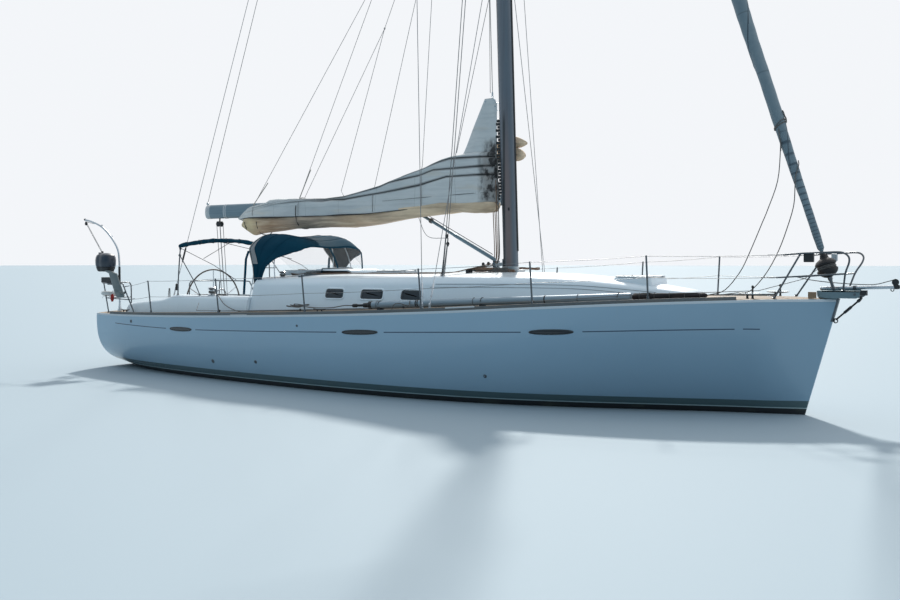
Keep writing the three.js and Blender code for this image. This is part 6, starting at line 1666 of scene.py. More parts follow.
# Boom: an alloy extrusion, deeper than wide, with a cast end that carries the outhaul and topping lift
# and a fork that turns on the mast's gooseneck pin.
GOOSENECK = Vector((1.62, 0, 3.21))
BOOM_END, BOOM_DEEP, BOOM_WIDE = -5.62, 0.29, 0.15


def boom_ring(x, scale, sides=40):
    ring = []
    for k in range(sides):
        a = math.tau * k / sides
        slot = 0.90 if k == sides // 4 else 1.0
        c, s = math.cos(a), math.sin(a)
        ring.append((x, scale * BOOM_WIDE / 2 * math.copysign(abs(c) ** 0.8, c),
                     GOOSENECK.z + scale * slot * BOOM_DEEP / 2 * math.copysign(abs(s) ** 0.9, s)))
    return ring


boom_alloy = Finish("boom_alloy", (0.215, 0.295, 0.345), 0.42, 0.45)
boom_streak = boom_alloy.noise(6.0, (0.1, 5, 5), 5)
boom_alloy.tint(boom_alloy.span(boom_streak, 0.35, 0.7, 0.0, 0.55), (0.145, 0.205, 0.25))
boom_alloy.rough(boom_streak, 0.34, 0.52)
boom = Shape().loft([boom_ring(x, 0.985) for x in spaced(BOOM_END + 0.10, 1.50, 20)])
boom.piece("boom_extrusion", boom_alloy, "boom", "spar", sharp=30, replaces=("boom",))
ends = Shape().loft([boom_ring(x, s) for x, s in ((BOOM_END, 0.80), (BOOM_END + 0.012, 0.95),
                                                  (BOOM_END + 0.03, 1.0),
                                                  (BOOM_END + 0.13, 1.0), (BOOM_END + 0.14, 0.99))])
for x in (-5.07, -5.02):
    ends.loft([boom_ring(x, 0.985), boom_ring(x + 0.005, 1.03), boom_ring(x + 0.025, 1.03),
               boom_ring(x + 0.03, 0.985)])
ends.loft([boom_ring(1.47, 0.985), boom_ring(1.475, 1.0), boom_ring(1.52, 0.98), boom_ring(1.53, 0.6)])
for z in (3.21 + 0.054, 3.21 - 0.054):
    ends.loft([[(x, y, z + dz) for x, y in ((1.42, -0.026), (1.60, -0.026), (1.638, -0.014), (1.645, 0.0),
                                            (1.638, 0.014),
                                            (1.60, 0.026), (1.42, 0.026))] for dz in (-0.011, 0.011)])
ends.turned([(0.012, -0.075), (0.012, 0.075)], GOOSENECK, sides=16)
ends.bar((-0.165, -0.013, 3.034), (-0.015, 0.013, 3.085))
ends.turned([(0.03, -0.012), (0.03, 0.012)], (BOOM_END + 0.02, 0, 3.385), (0, 1, 0), 18)
ends.piece("boom_castings", hatch_alloy, "boom", "spar", bevel=0.002)


# Vang: a telescoping alloy strut with a spring that holds the boom up, pinned in a fork at the mast's foot
# and in a lug under the boom, with a purchase line beside it.
vang_low, vang_top = Vector((1.56, 0, 2.205)), Vector((-0.08, 0, 3.045))
vang_way = (vang_top - vang_low).normalized()
vang = Shape().turned([(0.026, 0.0), (0.033, 0.03), (0.033, 0.92), (0.031, 0.95), (0.028, 0.955)], vang_low,
                      vang_way, 24)
vang.turned([(0.026, 0.0), (0.026, 0.92), (0.02, 0.94)], vang_low + vang_way * 0.90, vang_way, 24)
for z0, z1 in ((2.166, 2.186), (2.074, 2.094)):
    vang.bar((1.53, -0.024, z0), (1.644, 0.024, z1))
vang.bar((1.53, -0.024, 2.074), (1.57, 0.024, 2.23))
vang.turned([(0.010, -0.052), (0.010, 0.052)], (1.62, 0, 2.13), sides=14)
for y in (0.0145, -0.034):
    vang.bar((-0.145, y, 2.985), (-0.035, y + 0.0195, 3.072))
vang.bar((-0.11, -0.03, 2.980), (-0.05, 0.03, 3.028))
vang.piece("vang_strut", boom_alloy, "boom", "spar", bevel=0.002, replaces=("vang",))
vang_line = Shape()
for lift, off in ((0.062, 0.012), (0.075, -0.012)):
    vang_line.tube([vang_low + vang_way * 0.06 + Vector((0, off, lift)),
                    vang_top - vang_way * 0.12 + Vector((0, off, lift * 0.9))],
                   0.0045, 8)
vang_line.turned([(0.028, 0.0), (0.044, 0.008), (0.044, 0.05), (0.028, 0.058)], vang_low + vang_way * 1.49,
                 vang_way, 24)
vang_line.piece("vang_purchase", rope_dark, "boom", "bag_cloth")


# Mainsail: dropped and flaked on the boom between the lazy jacks, in long flat folds of stiff cloth with
# painted shade darkening the gap under each. The last bunt hangs below the boom, creased, its warm colour
# painted sunlight through the cloth; the head stands by the mast on its halyard with its luff bunched behind
# the mast.
# Columns: x, height
FOLD_LEVELS = [
    [(-4.64, 3.02), (-4.18, 3.05), (-2.99, 3.035), (-1.07, 3.045), (0.07, 3.11), (0.57, 3.16), (1.62, 3.15)],
    [(-4.64, 3.05), (-4.30, 3.16), (-3.50, 3.30), (-2.20, 3.355), (-1.63, 3.325), (-1.04, 3.390),
     (-0.66, 3.430), (0.08, 3.515),
     (0.69, 3.640), (1.62, 3.660)],
    [(-4.64, 3.20), (-2.20, 3.45), (-0.60, 3.60), (0.075, 3.683), (0.40, 3.77), (0.73, 3.78), (1.62, 3.80)],
    [(-4.64, 3.22), (-0.40, 3.68), (0.10, 3.80), (0.49, 3.908), (0.75, 3.955), (1.62, 3.946)],
    [(-4.64, 3.10), (-4.45, 3.19), (-4.20, 3.285), (-3.80, 3.335), (-3.68, 3.41), (-3.50, 3.42),
     (-2.92, 3.405), (-2.14, 3.372), (-1.64, 3.41),
     (-0.80, 3.57), (-0.57, 3.64), (-0.34, 3.705), (-0.09, 3.78), (0.13, 3.825), (0.31, 3.90), (0.57, 3.98),
     (0.78, 4.02), (1.28, 4.06), (1.62, 4.03)]]
BUNT_LOW = [(-4.64, 3.00), (-4.45, 2.86), (-4.30, 2.790), (-4.12, 2.695), (-3.94, 2.72), (-3.34, 2.78),
            (-2.96, 2.82),
            (-2.10, 2.83), (-1.47, 2.795), (-0.98, 2.845), (-0.41, 2.923), (0.02, 2.957), (0.53, 2.98),
            (0.84, 3.02),
            (1.26, 2.99), (1.62, 3.01)]
HALF_WIDTH = [(-4.64, 0.05), (-4.29, 0.185), (-3.78, 0.22), (-2.96, 0.23), (-0.96, 0.245), (-0.04, 0.245),
              (0.62, 0.235),
              (1.25, 0.20), (1.45, 0.16), (1.60, 0.06)]


def level(table, x):
    return float(np.interp(x, [row[0] for row in table], [row[1] for row in table]))


def crease(value):
    """Soft ridge with a sharp valley, from -1 to 1."""
    return 2 * abs(math.sin(value)) ** 0.7 - 1


def fold_levels(x, side):
    """Heights of the gaps between the folds at x on one side, lowest first and the sail's top last."""
    heights = [level(table, x) for table in FOLD_LEVELS]
    if side > 0:
        heights[1:4] = [h - 0.03 + 0.02 * math.sin(1.7 * x + k) for k, h in enumerate(heights[1:4])]
    for k in (3, 2, 1):
        heights[k] = min(heights[k], heights[k + 1] - 0.016)
    return heights


FOLD_STEPS = 9
FOLD_REACH = (1.0, 0.95, 0.86, 0.70)


def upper_side(x, side):
    """Points up one side of the folded sail, each with its distance from the nearest gap."""
    half, heights = level(HALF_WIDTH, x), fold_levels(x, side)
    bunch = min(1.0, max(0.0, (x - 1.22) / 0.3))
    points = []
    for k in range(4):
        low, high = heights[k], heights[k + 1]
        size = min(1.0, (high - low) / 0.05)
        for j in range(FOLD_STEPS + 1):
            part = 0.5 - 0.5 * math.cos(math.pi * j / FOLD_STEPS)
            z = low + (high - low) * part
            bulge = (1 - abs(2 * part - 1) ** 3.2) ** (1 / 3.2)
            reach = half * FOLD_REACH[k]
            if k == 3:
                reach *= max(0.0, 1 - part ** 2.6) ** 0.5
            valley = (0.030 + 0.10 * bunch) * size * (1 - bulge)
            if k == 0 and part < 0.5:
                valley *= 0.7
            wave = 0.011 * math.sin(2.1 * x + 2.0 * z + k * 1.9 + side) * bulge
            wave += 0.007 * math.sin(5.3 * x - 6.0 * z + k) * bulge + 0.006 * crease(9.0 * z + 1.3 * x
                    + k) * bulge
            wave += 0.012 * bunch * math.sin(31.0 * x + 9.0 * z) * bulge
            y = side * max(reach - valley + wave * min(1.0, reach / 0.1), 0.002)
            gap = min(z - low if k > 0 else 1.0, high - z if k < 3 else 1.0)
            points.append(((x + 0.02 * math.sin(4.0 * z + x), y, z + 0.006 * math.sin(3.7 * x + k) * bulge),
                           (x, gap / max(size, 0.2))))
    return points


def bunt_ring(x, side, sides=64):
    low, half = level(BUNT_LOW, x), level(HALF_WIDTH, x)
    high = level(FOLD_LEVELS[0], x) + 0.05
    middle, tall = (high + low) / 2, (high - low) / 2
    open_part = min(1.0, max(0.0, (x + 0.75) / 0.4))
    centre = side * half * (0.34 + 0.44 * open_part)
    thick = half * (0.62 - 0.34 * open_part)
    lift = 0.03 if side > 0 else 0.0
    ring = []
    for k in range(sides):
        a = math.tau * k / sides
        c, s = math.cos(a), math.sin(a)
        depth = 0.016 * crease(2.3 * s + 1.3 * math.sin(1.2 * x + side)) + 0.012 * math.sin(4.1 * x + 2 * s
                + side)
        depth += 0.008 * math.sin(9.0 * x + 4.0 * s)
        ring.append((x + 0.03 * math.sin(3 * s), centre + (thick + depth) * math.copysign(abs(c) ** 0.8, c),
                     middle + tall * s + (lift + 0.012 * math.sin(2.7 * x + side)) * max(0.0, -s) ** 2))
    return ring


def cloth_marks(rings):
    return [(p[0], p[2]) for ring in rings for p in ring]


sailcloth = Finish("weathered_sailcloth_and_painted_shade", (0.66, 0.68, 0.68), 0.78, sheen=0.2)
cloth_u, cloth_gap, _ = sailcloth.split("UV")
sailcloth.tint(sailcloth.span(sailcloth.noise(1.1, (1, 2, 2)), 0.35, 0.75, 0.0, 0.6), (0.48, 0.52, 0.545))
sailcloth.tint(sailcloth.span(sailcloth.noise(3.0, (0.4, 3, 6), 6), 0.50, 0.8, 0.0, 0.45), (0.34, 0.38, 0.41))
sailcloth.tint(sailcloth.span(sailcloth.noise(2.3, (0.6, 2, 3), 6), 0.56, 0.8, 0.0, 0.5), (0.62, 0.53, 0.41))
# Painted shade: the cloth darkens into each gap between the folds, less so towards the aft end.
fold_shade = sailcloth.maths("MULTIPLY", sailcloth.span(cloth_gap, 0.034, 0.004, 0.0, 0.9),
                             sailcloth.span(cloth_u, -3.3, -2.1, 0.12, 1.0))
sailcloth.tint(fold_shade, (0.030, 0.032, 0.035))
_, _, sail_z = sailcloth.split()
sailcloth.tint(sailcloth.span(cloth_u, -3.6, -4.1, 0.0, 0.5), (0.80, 0.78, 0.74))
# Painted shade: near the luff, low on the head, the cloth is darkened, with streaks of deeper and of lighter
# shade, for the shaded pleats of the bunched luff.
luff_pleat_painted_shade = sailcloth.maths("MULTIPLY", sailcloth.span(cloth_u, 1.30, 1.46, 0.0, 1.0),
                         sailcloth.span(sail_z, 4.30, 4.12, 0.0, 1.0))
luff_pleat_shade_streaks = sailcloth.noise(5.0, (2.6, 1.0, 1.3), 4)
sailcloth.tint(sailcloth.maths("MULTIPLY", luff_pleat_painted_shade, 0.55), (0.12, 0.10, 0.09))
sailcloth.tint(sailcloth.maths("MULTIPLY", luff_pleat_painted_shade, sailcloth.span(luff_pleat_shade_streaks, 0.44, 0.56, 0.0, 0.95)),
               (0.022, 0.020, 0.021))
sailcloth.tint(sailcloth.maths("MULTIPLY", luff_pleat_painted_shade, sailcloth.span(luff_pleat_shade_streaks, 0.42, 0.34, 0.0, 0.6)),
               (0.33, 0.32, 0.31))
seam_run = sailcloth.maths("FRACT", sailcloth.maths("DIVIDE", cloth_u, 0.87))
sailcloth.tint(sailcloth.maths("MULTIPLY", sailcloth.within(seam_run, 0.0, 0.012, 0.003), 0.35),
               (0.25, 0.26, 0.26))
sailcloth.bump(sailcloth.noise(5.0, (0.5, 1.5, 2.5), 8), 0.030, 0.6)
sailcloth.bump(sailcloth.noise(700.0, (1, 1, 1), 1), 0.0006, 0.25)
# Painted light: the bunt's warm brown base colour is sunlight shining through the cloth from behind; the
# tints below make it darker, yellower and greyer in bands along its length, with noise.
bunt_cloth = Finish("sunlit_bunt_cloth", (0.80, 0.62, 0.43), 0.8, sheen=0.15)
bunt_x, _, _ = bunt_cloth.split()
bunt_cloth.tint(bunt_cloth.within(bunt_x, -5.0, -0.9, 0.6), (0.60, 0.42, 0.275))
bunt_cloth.tint(bunt_cloth.within(bunt_x, -5.0, -3.95, 0.15), (0.76, 0.60, 0.36))
bunt_cloth.tint(bunt_cloth.maths("MULTIPLY", bunt_cloth.within(bunt_x, -3.9, -3.3, 0.25), 0.7),
                (0.34, 0.20, 0.115))
bunt_cloth.tint(bunt_cloth.maths("MULTIPLY", bunt_cloth.within(bunt_x, -3.2, -1.9, 0.35), 0.6),
                (0.27, 0.235, 0.215))
bunt_cloth.tint(bunt_cloth.span(bunt_cloth.noise(1.8, (0.5, 2, 3)), 0.4, 0.65, 0.0, 0.6),
                (0.33, 0.235, 0.165))
bunt_cloth.tint(bunt_cloth.span(bunt_cloth.noise(5.0, (0.4, 2, 4), 6), 0.50, 0.72, 0.0, 0.5),
                (0.92, 0.76, 0.54))
bunt_cloth.bump(bunt_cloth.noise(4.0, (0.5, 1.5, 2.2), 8), 0.030, 0.6)
bunt_cloth.bump(bunt_cloth.noise(700.0, (1, 1, 1), 1), 0.0006, 0.25)


def bend_line(piece):
    """What is made fast at the mast or the sole stays there while the rest swings with the boom."""
    piece.parent = None
    piece.matrix_world = Matrix.Identity(4)
    del piece["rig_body"]
    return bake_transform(piece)


rings, marks = [], []
for x in spaced(-4.62, 1.60, 240):
    starboard, port = upper_side(x, -1), upper_side(x, 1)
    around = starboard + port[::-1]
    rings.append([Vector(point) for point, _ in around])
    marks.append([mark for _, mark in around])
for place, end, shares in ((0, Vector((-4.70, 0, 3.06)), (0.35, 0.9)),
                           (-1, Vector((1.62, 0, 3.55)), (0.35, 0.9))):
    for share in shares:
        ring = [p.lerp(end, share) for p in rings[0 if place == 0 else -1]]
        rings.insert(0 if place == 0 else len(rings), ring)
        marks.insert(0 if place == 0 else len(marks), marks[0 if place == 0 else -1])
upper = Shape().loft(rings, marks=[mark for ring in marks for mark in ring])
upper = upper.piece("mainsail_folds", sailcloth, "boom", "sailcloth", sharp=70, replaces=("mainsail",))
bend_line(upper)
for side, word in ((1, "port"), (-1, "starboard")):
    rings = [bunt_ring(x, side) for x in spaced(-4.44, 1.58, 160)]
    start, close = Vector((-4.52, side * 0.03, 3.0)), Vector((1.63, side * 0.05, 3.10))
    rings.insert(0, [Vector(p).lerp(start, 0.45) for p in rings[0]])
    rings.insert(0, [Vector(p).lerp(start, 0.95) for p in rings[0]])
    rings.append([Vector(p).lerp(close, 0.4) for p in rings[-1]])
    rings.append([Vector(p).lerp(close, 0.95) for p in rings[-1]])
    bunt = Shape().loft(rings, marks=cloth_marks(rings))
    bunt = bunt.piece(f"mainsail_bunt_{word}", bunt_cloth, "boom", "sailcloth", sharp=180)
    bend_line(bunt)

edge_cloth = Finish("sail_edge_tape", (0.035, 0.035, 0.037), 0.8)
edge_cloth.tint(edge_cloth.span(edge_cloth.noise(4.0), 0.5, 0.8, 0.0, 0.6), (0.12, 0.11, 0.10))
edge_cloth.bump(edge_cloth.noise(60.0), 0.001, 0.4)
edge_tape = Shape()
for side in (1, -1):
    for first, last, height, size in ((-4.52, 0.25, lambda x: level(FOLD_LEVELS[0], x) + 0.004, 0.009),
                                      (-0.70, 1.45, lambda x: 3.267 + 0.036 * (x + 0.66), 0.0035)):
        line = []
        for x in spaced(first, last, 60):
            z = height(x)
            line.append(Vector((x, side * (level(HALF_WIDTH, x) * (0.92 if size > 0.005 else 1.0) + 0.008),
                                z)))
        edge_tape.tube(line, [size * (1 + 0.4 * math.sin(3 * p.x)) for p in line], 8)
bend_line(edge_tape.piece("mainsail_edge", edge_cloth, "boom", "sailcloth"))

# Head of the sail, standing between its halyard shackle and the folds, creased from the shackle down.
# Stiff woven cloth with eyelets, held to the mast's groove by plastic slides.
rings, marks = [], []
for i in range(30):
    part = i / 29
    z = 3.98 + (4.945 - 3.98) * part
    aft = 0.862 + (1.345 - 0.862) * part
    fore = 1.596 - 0.075 * max(0.0, (part - 0.88) / 0.12) ** 1.5
    ring = []
    for k in range(48):
        a = math.tau * k / 48
        u = 0.5 + 0.5 * math.cos(a)
        ripple = 0.018 * math.sin(9 * u + 4 * part) * (1 - part) + 0.010 * math.sin(5 * u + 9 * part) * (1
                - part)
        body = 0.010 + 0.035 * (1 - part) ** 2.5 * (1 + 0.5 * math.sin(7 * u))
        ring.append((aft + (fore - aft) * u, ripple + math.sin(a) * body,
                     z + 0.03 * math.sin(3 * u) * (1 - part)))
        marks.append((aft + (fore - aft) * u, 0.5))
    rings.append(ring)
head_cloth = Shape().loft(rings, marks=marks).piece("mainsail_head", sailcloth, "boom", "sailcloth",
                                                    sharp=180)
bend_line(head_cloth)
shackle = Shape().ring((1.50, 0, 4.965), (0, 1, 0), 0.018, 0.006, 20, 8)
shackle.turned([(0.012, 0.0), (0.016, 0.01), (0.016, 0.05), (0.008, 0.07)], (1.502, 0, 4.985), sides=14)
for z in (4.60, 4.74, 4.86):
    shackle.tube([(1.575, 0.004, z), (1.62, 0.0, z - 0.012), (mast_x(z) - 0.13, 0.0, z - 0.02)], 0.006, 8)
for x, z in ((1.37, 4.90), (1.545, 4.91), (1.56, 4.80)):
    shackle.turned([(0.014, -0.016), (0.014, 0.016)], (x, 0, z), (0, 1, 0), 14)
bend_line(shackle.piece("mainsail_head_shackle", stainless, "boom", "steel"))
slides = Shape()
for k in range(26):
    z = 3.235 + 0.0525 * k
    deep = 0.205 + 0.022 * math.sin(2.9 * k)
    slides.bar((mast_x(z) - deep, -0.020, z - 0.0225), (mast_x(z) - 0.125, 0.020, z + 0.0225))
slides.piece("mainsail_slides", knob_black, slot="black_plastic", bevel=0.004)
# Columns: x, centre height, half height
LUFF_LOBES = [[(1.50, 4.12, 0.09), (1.62, 4.16, 0.10), (1.75, 4.185, 0.10), (1.87, 4.195, 0.095),
               (1.96, 4.180, 0.078), (2.03, 4.168, 0.05),
               (2.075, 4.164, 0.025), (2.09, 4.163, 0.006)],
              [(1.50, 3.94, 0.08), (1.62, 3.96, 0.11), (1.75, 3.985, 0.12), (1.87, 3.992, 0.115),
               (1.95, 3.982, 0.10), (2.01, 3.970, 0.07),
               (2.045, 3.962, 0.035), (2.055, 3.960, 0.006)]]
luff = Shape()
for rows in LUFF_LOBES:
    rings = []
    for x, z, tall in spline(rows, 4):
        wide = 0.058 * min(1.0, tall / 0.08) ** 0.6
        rings.append([Vector((x, 0.165 + wide * math.cos(a) * (1 + 0.2 * math.sin(3 * a + 5 * x)),
                              z + tall * math.sin(a) + 0.008 * math.sin(4 * a + 9 * x)))
                              for a in (math.tau * k / 24 for k in range(24))])
    luff.loft(rings, marks=cloth_marks(rings))
# Painted light: the luff folds' warm colour is sunlight shining through the cloth, as on the bunt.
luff_cloth_painted_sunlight = Finish("sunlit_luff_cloth", (0.80, 0.62, 0.44), 0.8, sheen=0.1)
luff_cloth_painted_sunlight.tint(luff_cloth_painted_sunlight.span(luff_cloth_painted_sunlight.noise(9.0, (0.5, 1, 3)), 0.45, 0.75, 0.0, 0.6),
                 (0.50, 0.38, 0.26))
luff_cloth_painted_sunlight.bump(luff_cloth_painted_sunlight.noise(8.0, (0.5, 1, 2), 5), 0.010, 0.6)
luff.piece("mainsail_luff_folds", luff_cloth_painted_sunlight, slot="sailcloth", sharp=180)

# Sail ties and the lazy jacks: thin lines from the mast that part into legs down each side of the sail.
# The two aft legs run in pale sleeves where they come down on the cloth.
ties = Shape()
for x in (-4.27, -3.92, -2.86):
    low, top, half = level(BUNT_LOW, x), level(FOLD_LEVELS[4], x), level(HALF_WIDTH, x)
    middle, tall = (top + low) / 2, (top - low) / 2
    band = []
    for k in range(33):
        a = math.tau * k / 32 if x > -3.0 else math.pi * (1.04 + 0.92 * k / 32)
        c, s = math.cos(a), math.sin(a)
        band.append((x + 0.03 * math.sin(a + x), (half + 0.020) * math.copysign(abs(c) ** 0.75,
                c) * (1 - 0.25 * max(0, s) ** 2),
                     middle + (tall + 0.010) * math.copysign(abs(s) ** 0.85, s)))
    ties.tube(band, 0.008, 6)
bend_line(ties.piece("sail_ties", edge_cloth, "boom", "bag_cloth"))

JACK_TOP_Z = 11.4
line_grey_rope = Finish("thin_line", (0.16, 0.16, 0.165), 0.8)
line_grey_rope.tint(line_grey_rope.noise(120.0, detail=1), (0.26, 0.26, 0.26))
line_grey_rope.bump(line_grey_rope.noise(500.0, detail=1), 0.0006, 0.5)
tape_grey = Finish("jack_sleeve", (0.42, 0.39, 0.35), 0.8)
tape_grey.tint(tape_grey.noise(30.0), (0.30, 0.28, 0.25))
tape_grey.bump(tape_grey.noise(300.0, detail=1), 0.0006, 0.4)
jacks = Shape()
for joint, side, legs in (((-0.70, 7.54), -1, ((-4.09, 3.28), (-2.81, 3.38))),
                          ((-0.97, 6.46), 1, ((-3.02, 3.42), (-2.07, 3.52))),
                          ((0.46, 8.38), -1, ((-0.95, 3.45), (0.16, 3.87)))):
    split = Vector((joint[0], side * 0.16, joint[1]))
    jacks.tube([Vector((mast_x(JACK_TOP_Z) - 0.10, side * 0.085, JACK_TOP_Z)), split], 0.0045, 6)
    jacks.ring(split, (0, 1, 0), 0.016, 0.005, 16, 6)
    for x, z in legs:
        half = level(HALF_WIDTH, x)
        jacks.tube([split, Vector((x, side * half * 0.80, z)), Vector((x + 0.02, side * (half + 0.012),
                z - 0.10)),
                    Vector((x + 0.02, side * (half + 0.014), level(FOLD_LEVELS[0], x) + 0.03))], 0.0045, 6)
jack_sleeves = Shape()
for low, high in (((-4.078, -0.17, 3.302), (-3.645, -0.19, 3.723)),
                  ((-2.796, -0.19, 3.397), (-2.502, -0.19, 3.927))):
    jack_sleeves.tube([Vector(low).lerp(Vector(high), k / 12) for k in range(13)], 0.009, 8)
bend_line(jack_sleeves.piece("lazy_jack_sleeves", tape_grey, "boom", "bag_cloth"))
bend_line(jacks.piece("lazy_jacks", line_grey_rope, "boom", "bag_cloth"))
halyards = Shape()
HALYARD_TOP = Vector((CRANE_X - 0.30, 0.0, 20.9))
halyards.tube([HALYARD_TOP, Vector((1.502, 0.0, 5.05))], 0.006, 8)
halyards.tube([Vector((mast_x(12.0) - 0.17, -0.02, 12.0)), Vector((1.47, -0.02, 5.03))], 0.005, 8)
halyards.tube([Vector((1.60, -0.10, 7.0)), Vector((0.98, -0.22, 4.30)), Vector((0.90, -0.20, 4.04))], 0.005,
              8)
halyards.piece("main_halyards", line_grey_rope, slot="bag_cloth")

# Topping lift from the masthead to the boom's end, and the mainsheet in four falls to the car on the sole.
# Both are braided line through small black blocks.
LIFT_TOP, LIFT_END = Vector((CRANE_X - 0.27, 0.0, 20.92)), Vector((BOOM_END + 0.02, 0, 3.40))
lift = Shape().tube([LIFT_TOP.lerp(LIFT_END, k / 60) for k in range(61)], 0.0055, 8)
bend_line(lift.piece("topping_lift", line_grey_rope, "boom", "bag_cloth"))
sheet_blocks = Shape()
for dy in (-0.045, 0.045):
    sheet_blocks.turned([(0.052, -0.014), (0.056, -0.010), (0.056, 0.010), (0.052, 0.014)],
                        (-5.24, dy, 2.955), (0, 1, 0), 24)
sheet_blocks.bar((-5.27, -0.06, 2.985), (-5.21, 0.06, 3.01))
sheet_blocks.bar((-5.25, -0.012, 3.0), (-5.23, 0.012, 3.075))
sheet_blocks.piece("mainsheet_boom_blocks", knob_black, "boom", "black_plastic", bevel=0.002)
falls = Shape()
for low, high in (((-5.075, -0.035, 0.63), (-5.285, -0.045, 2.955)),
                  ((-5.005, -0.035, 0.63), (-5.195, -0.045, 2.955)),
                  ((-5.075, 0.035, 0.63), (-5.285, 0.045, 2.955)),
                  ((-5.005, 0.035, 0.63), (-5.195, 0.045, 2.955))):
    falls.tube([Vector(low).lerp(Vector(high), k / 40) for k in range(41)], 0.006, 8)
bend_line(falls.piece("mainsheet_falls", line_grey_rope, "boom", "bag_cloth"))


# Helm: a carbon rim bound in stitched leather on six stainless spokes, on a white moulded pedestal with a
# compass and a guard hoop of bent tube.
WHEEL_CENTRE, WHEEL_RADIUS = Vector((-5.45, 0, 1.27)), 0.74
leather = Finish("stitched_leather", (0.10, 0.085, 0.075), 0.55, sheen=0.1)
hide = leather.noise(160.0, detail=4)
leather.tint(leather.span(hide, 0.4, 0.7, 0.0, 0.6), (0.05, 0.042, 0.038))
leather.tint(leather.span(leather.noise(5.0), 0.5, 0.8, 0.0, 0.4), (0.17, 0.14, 0.115))
leather.bump(hide, 0.0008, 0.6)
rim = Shape().ring(WHEEL_CENTRE, (1, 0, 0), WHEEL_RADIUS, 0.0155, 120, 14)
rim.piece("wheel_rim", leather, "wheel", "leather", replaces=("steering_wheel",))
stitches = Shape()
for k in range(180):
    a = math.tau * k / 180
    radial = Vector((0, math.cos(a), math.sin(a)))
    tangent = Vector((0, -math.sin(a), math.cos(a)))
    at = WHEEL_CENTRE + radial * (WHEEL_RADIUS - 0.0158)
    stitches.tube([at - tangent * 0.004 + Vector((0.004, 0, 0)),
                   at + tangent * 0.004 - Vector((0.004, 0, 0))], 0.0011, 5)
thread = Finish("waxed_thread", (0.30, 0.29, 0.26), 0.8)
thread.tint(thread.noise(300.0), (0.18, 0.17, 0.15))
stitches.piece("wheel_stitching", thread, "wheel", "leather")
spokes = Shape()
for k in range(6):
    a = math.radians(30) + math.tau * k / 6
    out = Vector((0, math.cos(a), math.sin(a)))
    spokes.tube([WHEEL_CENTRE + out * 0.045, WHEEL_CENTRE + out * 0.60, WHEEL_CENTRE + out * 0.728],
                [0.011, 0.0095, 0.0085], 12)
    spokes.turned([(0.015, 0.0), (0.017, 0.004), (0.013, 0.014), (0.010, 0.02)], WHEEL_CENTRE + out * 0.052,
                  out, 14)
spokes.turned([(0.0, -0.025), (0.045, -0.024), (0.060, -0.012), (0.060, 0.012), (0.045, 0.024),
               (0.0, 0.03)], WHEEL_CENTRE, (1, 0, 0), 28)
spokes.turned([(0.019, 0.0), (0.021, 0.004), (0.021, 0.016), (0.012, 0.020)],
              WHEEL_CENTRE - Vector((0.046, 0, 0)), (1, 0, 0), 6)
spokes.piece("wheel_spokes", stainless, "wheel", "steel")
PEDESTAL_X = -5.28
column = Shape().turned([(0.150, 0.452), (0.152, 0.465), (0.150, 0.49), (0.105, 0.505), (0.088, 0.53),
                         (0.077, 0.85), (0.075, 1.15),
                         (0.082, 1.20), (0.105, 1.27), (0.112, 1.31), (0.112, 1.41), (0.106, 1.425)],
                         (PEDESTAL_X, 0, 0), sides=48)
column.turned([(0.030, 0.0), (0.034, 0.004), (0.034, 0.05), (0.022, 0.058)], (-5.38, 0, 1.27), (-1, 0, 0), 20)
column.piece("pedestal_column", roof_white, slot="roof", sharp=50, replaces=("pedestal",))
axle = Shape().turned([(0.015, -0.02), (0.015, 0.15)], (-5.28, 0, 1.27), (-1, 0, 0), 16)
for side in (1, -1):
    hoop = [(-5.22, side * 0.15, 0.455), (-5.22, side * 0.15, 0.9), (-5.22, side * 0.15, 1.38),
            (-5.22, side * 0.142, 1.48),
            (-5.22, side * 0.11, 1.558), (-5.22, side * 0.05, 1.594), (-5.22, 0, 1.600)]
    axle.tube(spline(hoop, 6), 0.0125, 14)
    axle.turned([(0.032, 0.0), (0.032, 0.004), (0.018, 0.012), (0.014, 0.03)], (-5.22, side * 0.15, 0.452),
                sides=20)
    axle.tube([(-5.22, side * 0.145, 1.40), (-5.27, side * 0.09, 1.39)], 0.009, 10)
axle.piece("pedestal_guard", stainless, slot="steel")
compass = Shape().turned([(0.098, 1.426), (0.100, 1.436), (0.090, 1.445), (0.082, 1.448)],
                         (PEDESTAL_X, 0, 0), sides=40)
compass.turned([(0.0, 1.428), (0.080, 1.43), (0.078, 1.437), (0.0, 1.439)], (PEDESTAL_X, 0, 0), sides=32)
compass.bar((-5.245, -0.09, 1.40), (-5.185, 0.09, 1.47), Matrix.Translation((0, 0, 0.03)))
compass.piece("compass_base", knob_black, slot="black_plastic", bevel=0.006)
dome = Shape().turned([(0.080, 1.438), (0.077, 1.453), (0.066, 1.468), (0.045, 1.479), (0.02, 1.484),
                       (0.0, 1.485)], (PEDESTAL_X, 0, 0), sides=36)
dome.piece("compass_dome", tinted, slot="tinted", sharp=80)
card = Shape().turned([(0.0, 1.440), (0.055, 1.441), (0.056, 1.446), (0.0, 1.447)], (PEDESTAL_X, 0, 0),
                      sides=32)
card.bar((-5.282, -0.05, 1.4472), (-5.278, 0.05, 1.4482))
card.piece("compass_card", line_grey_rope, slot="roof")

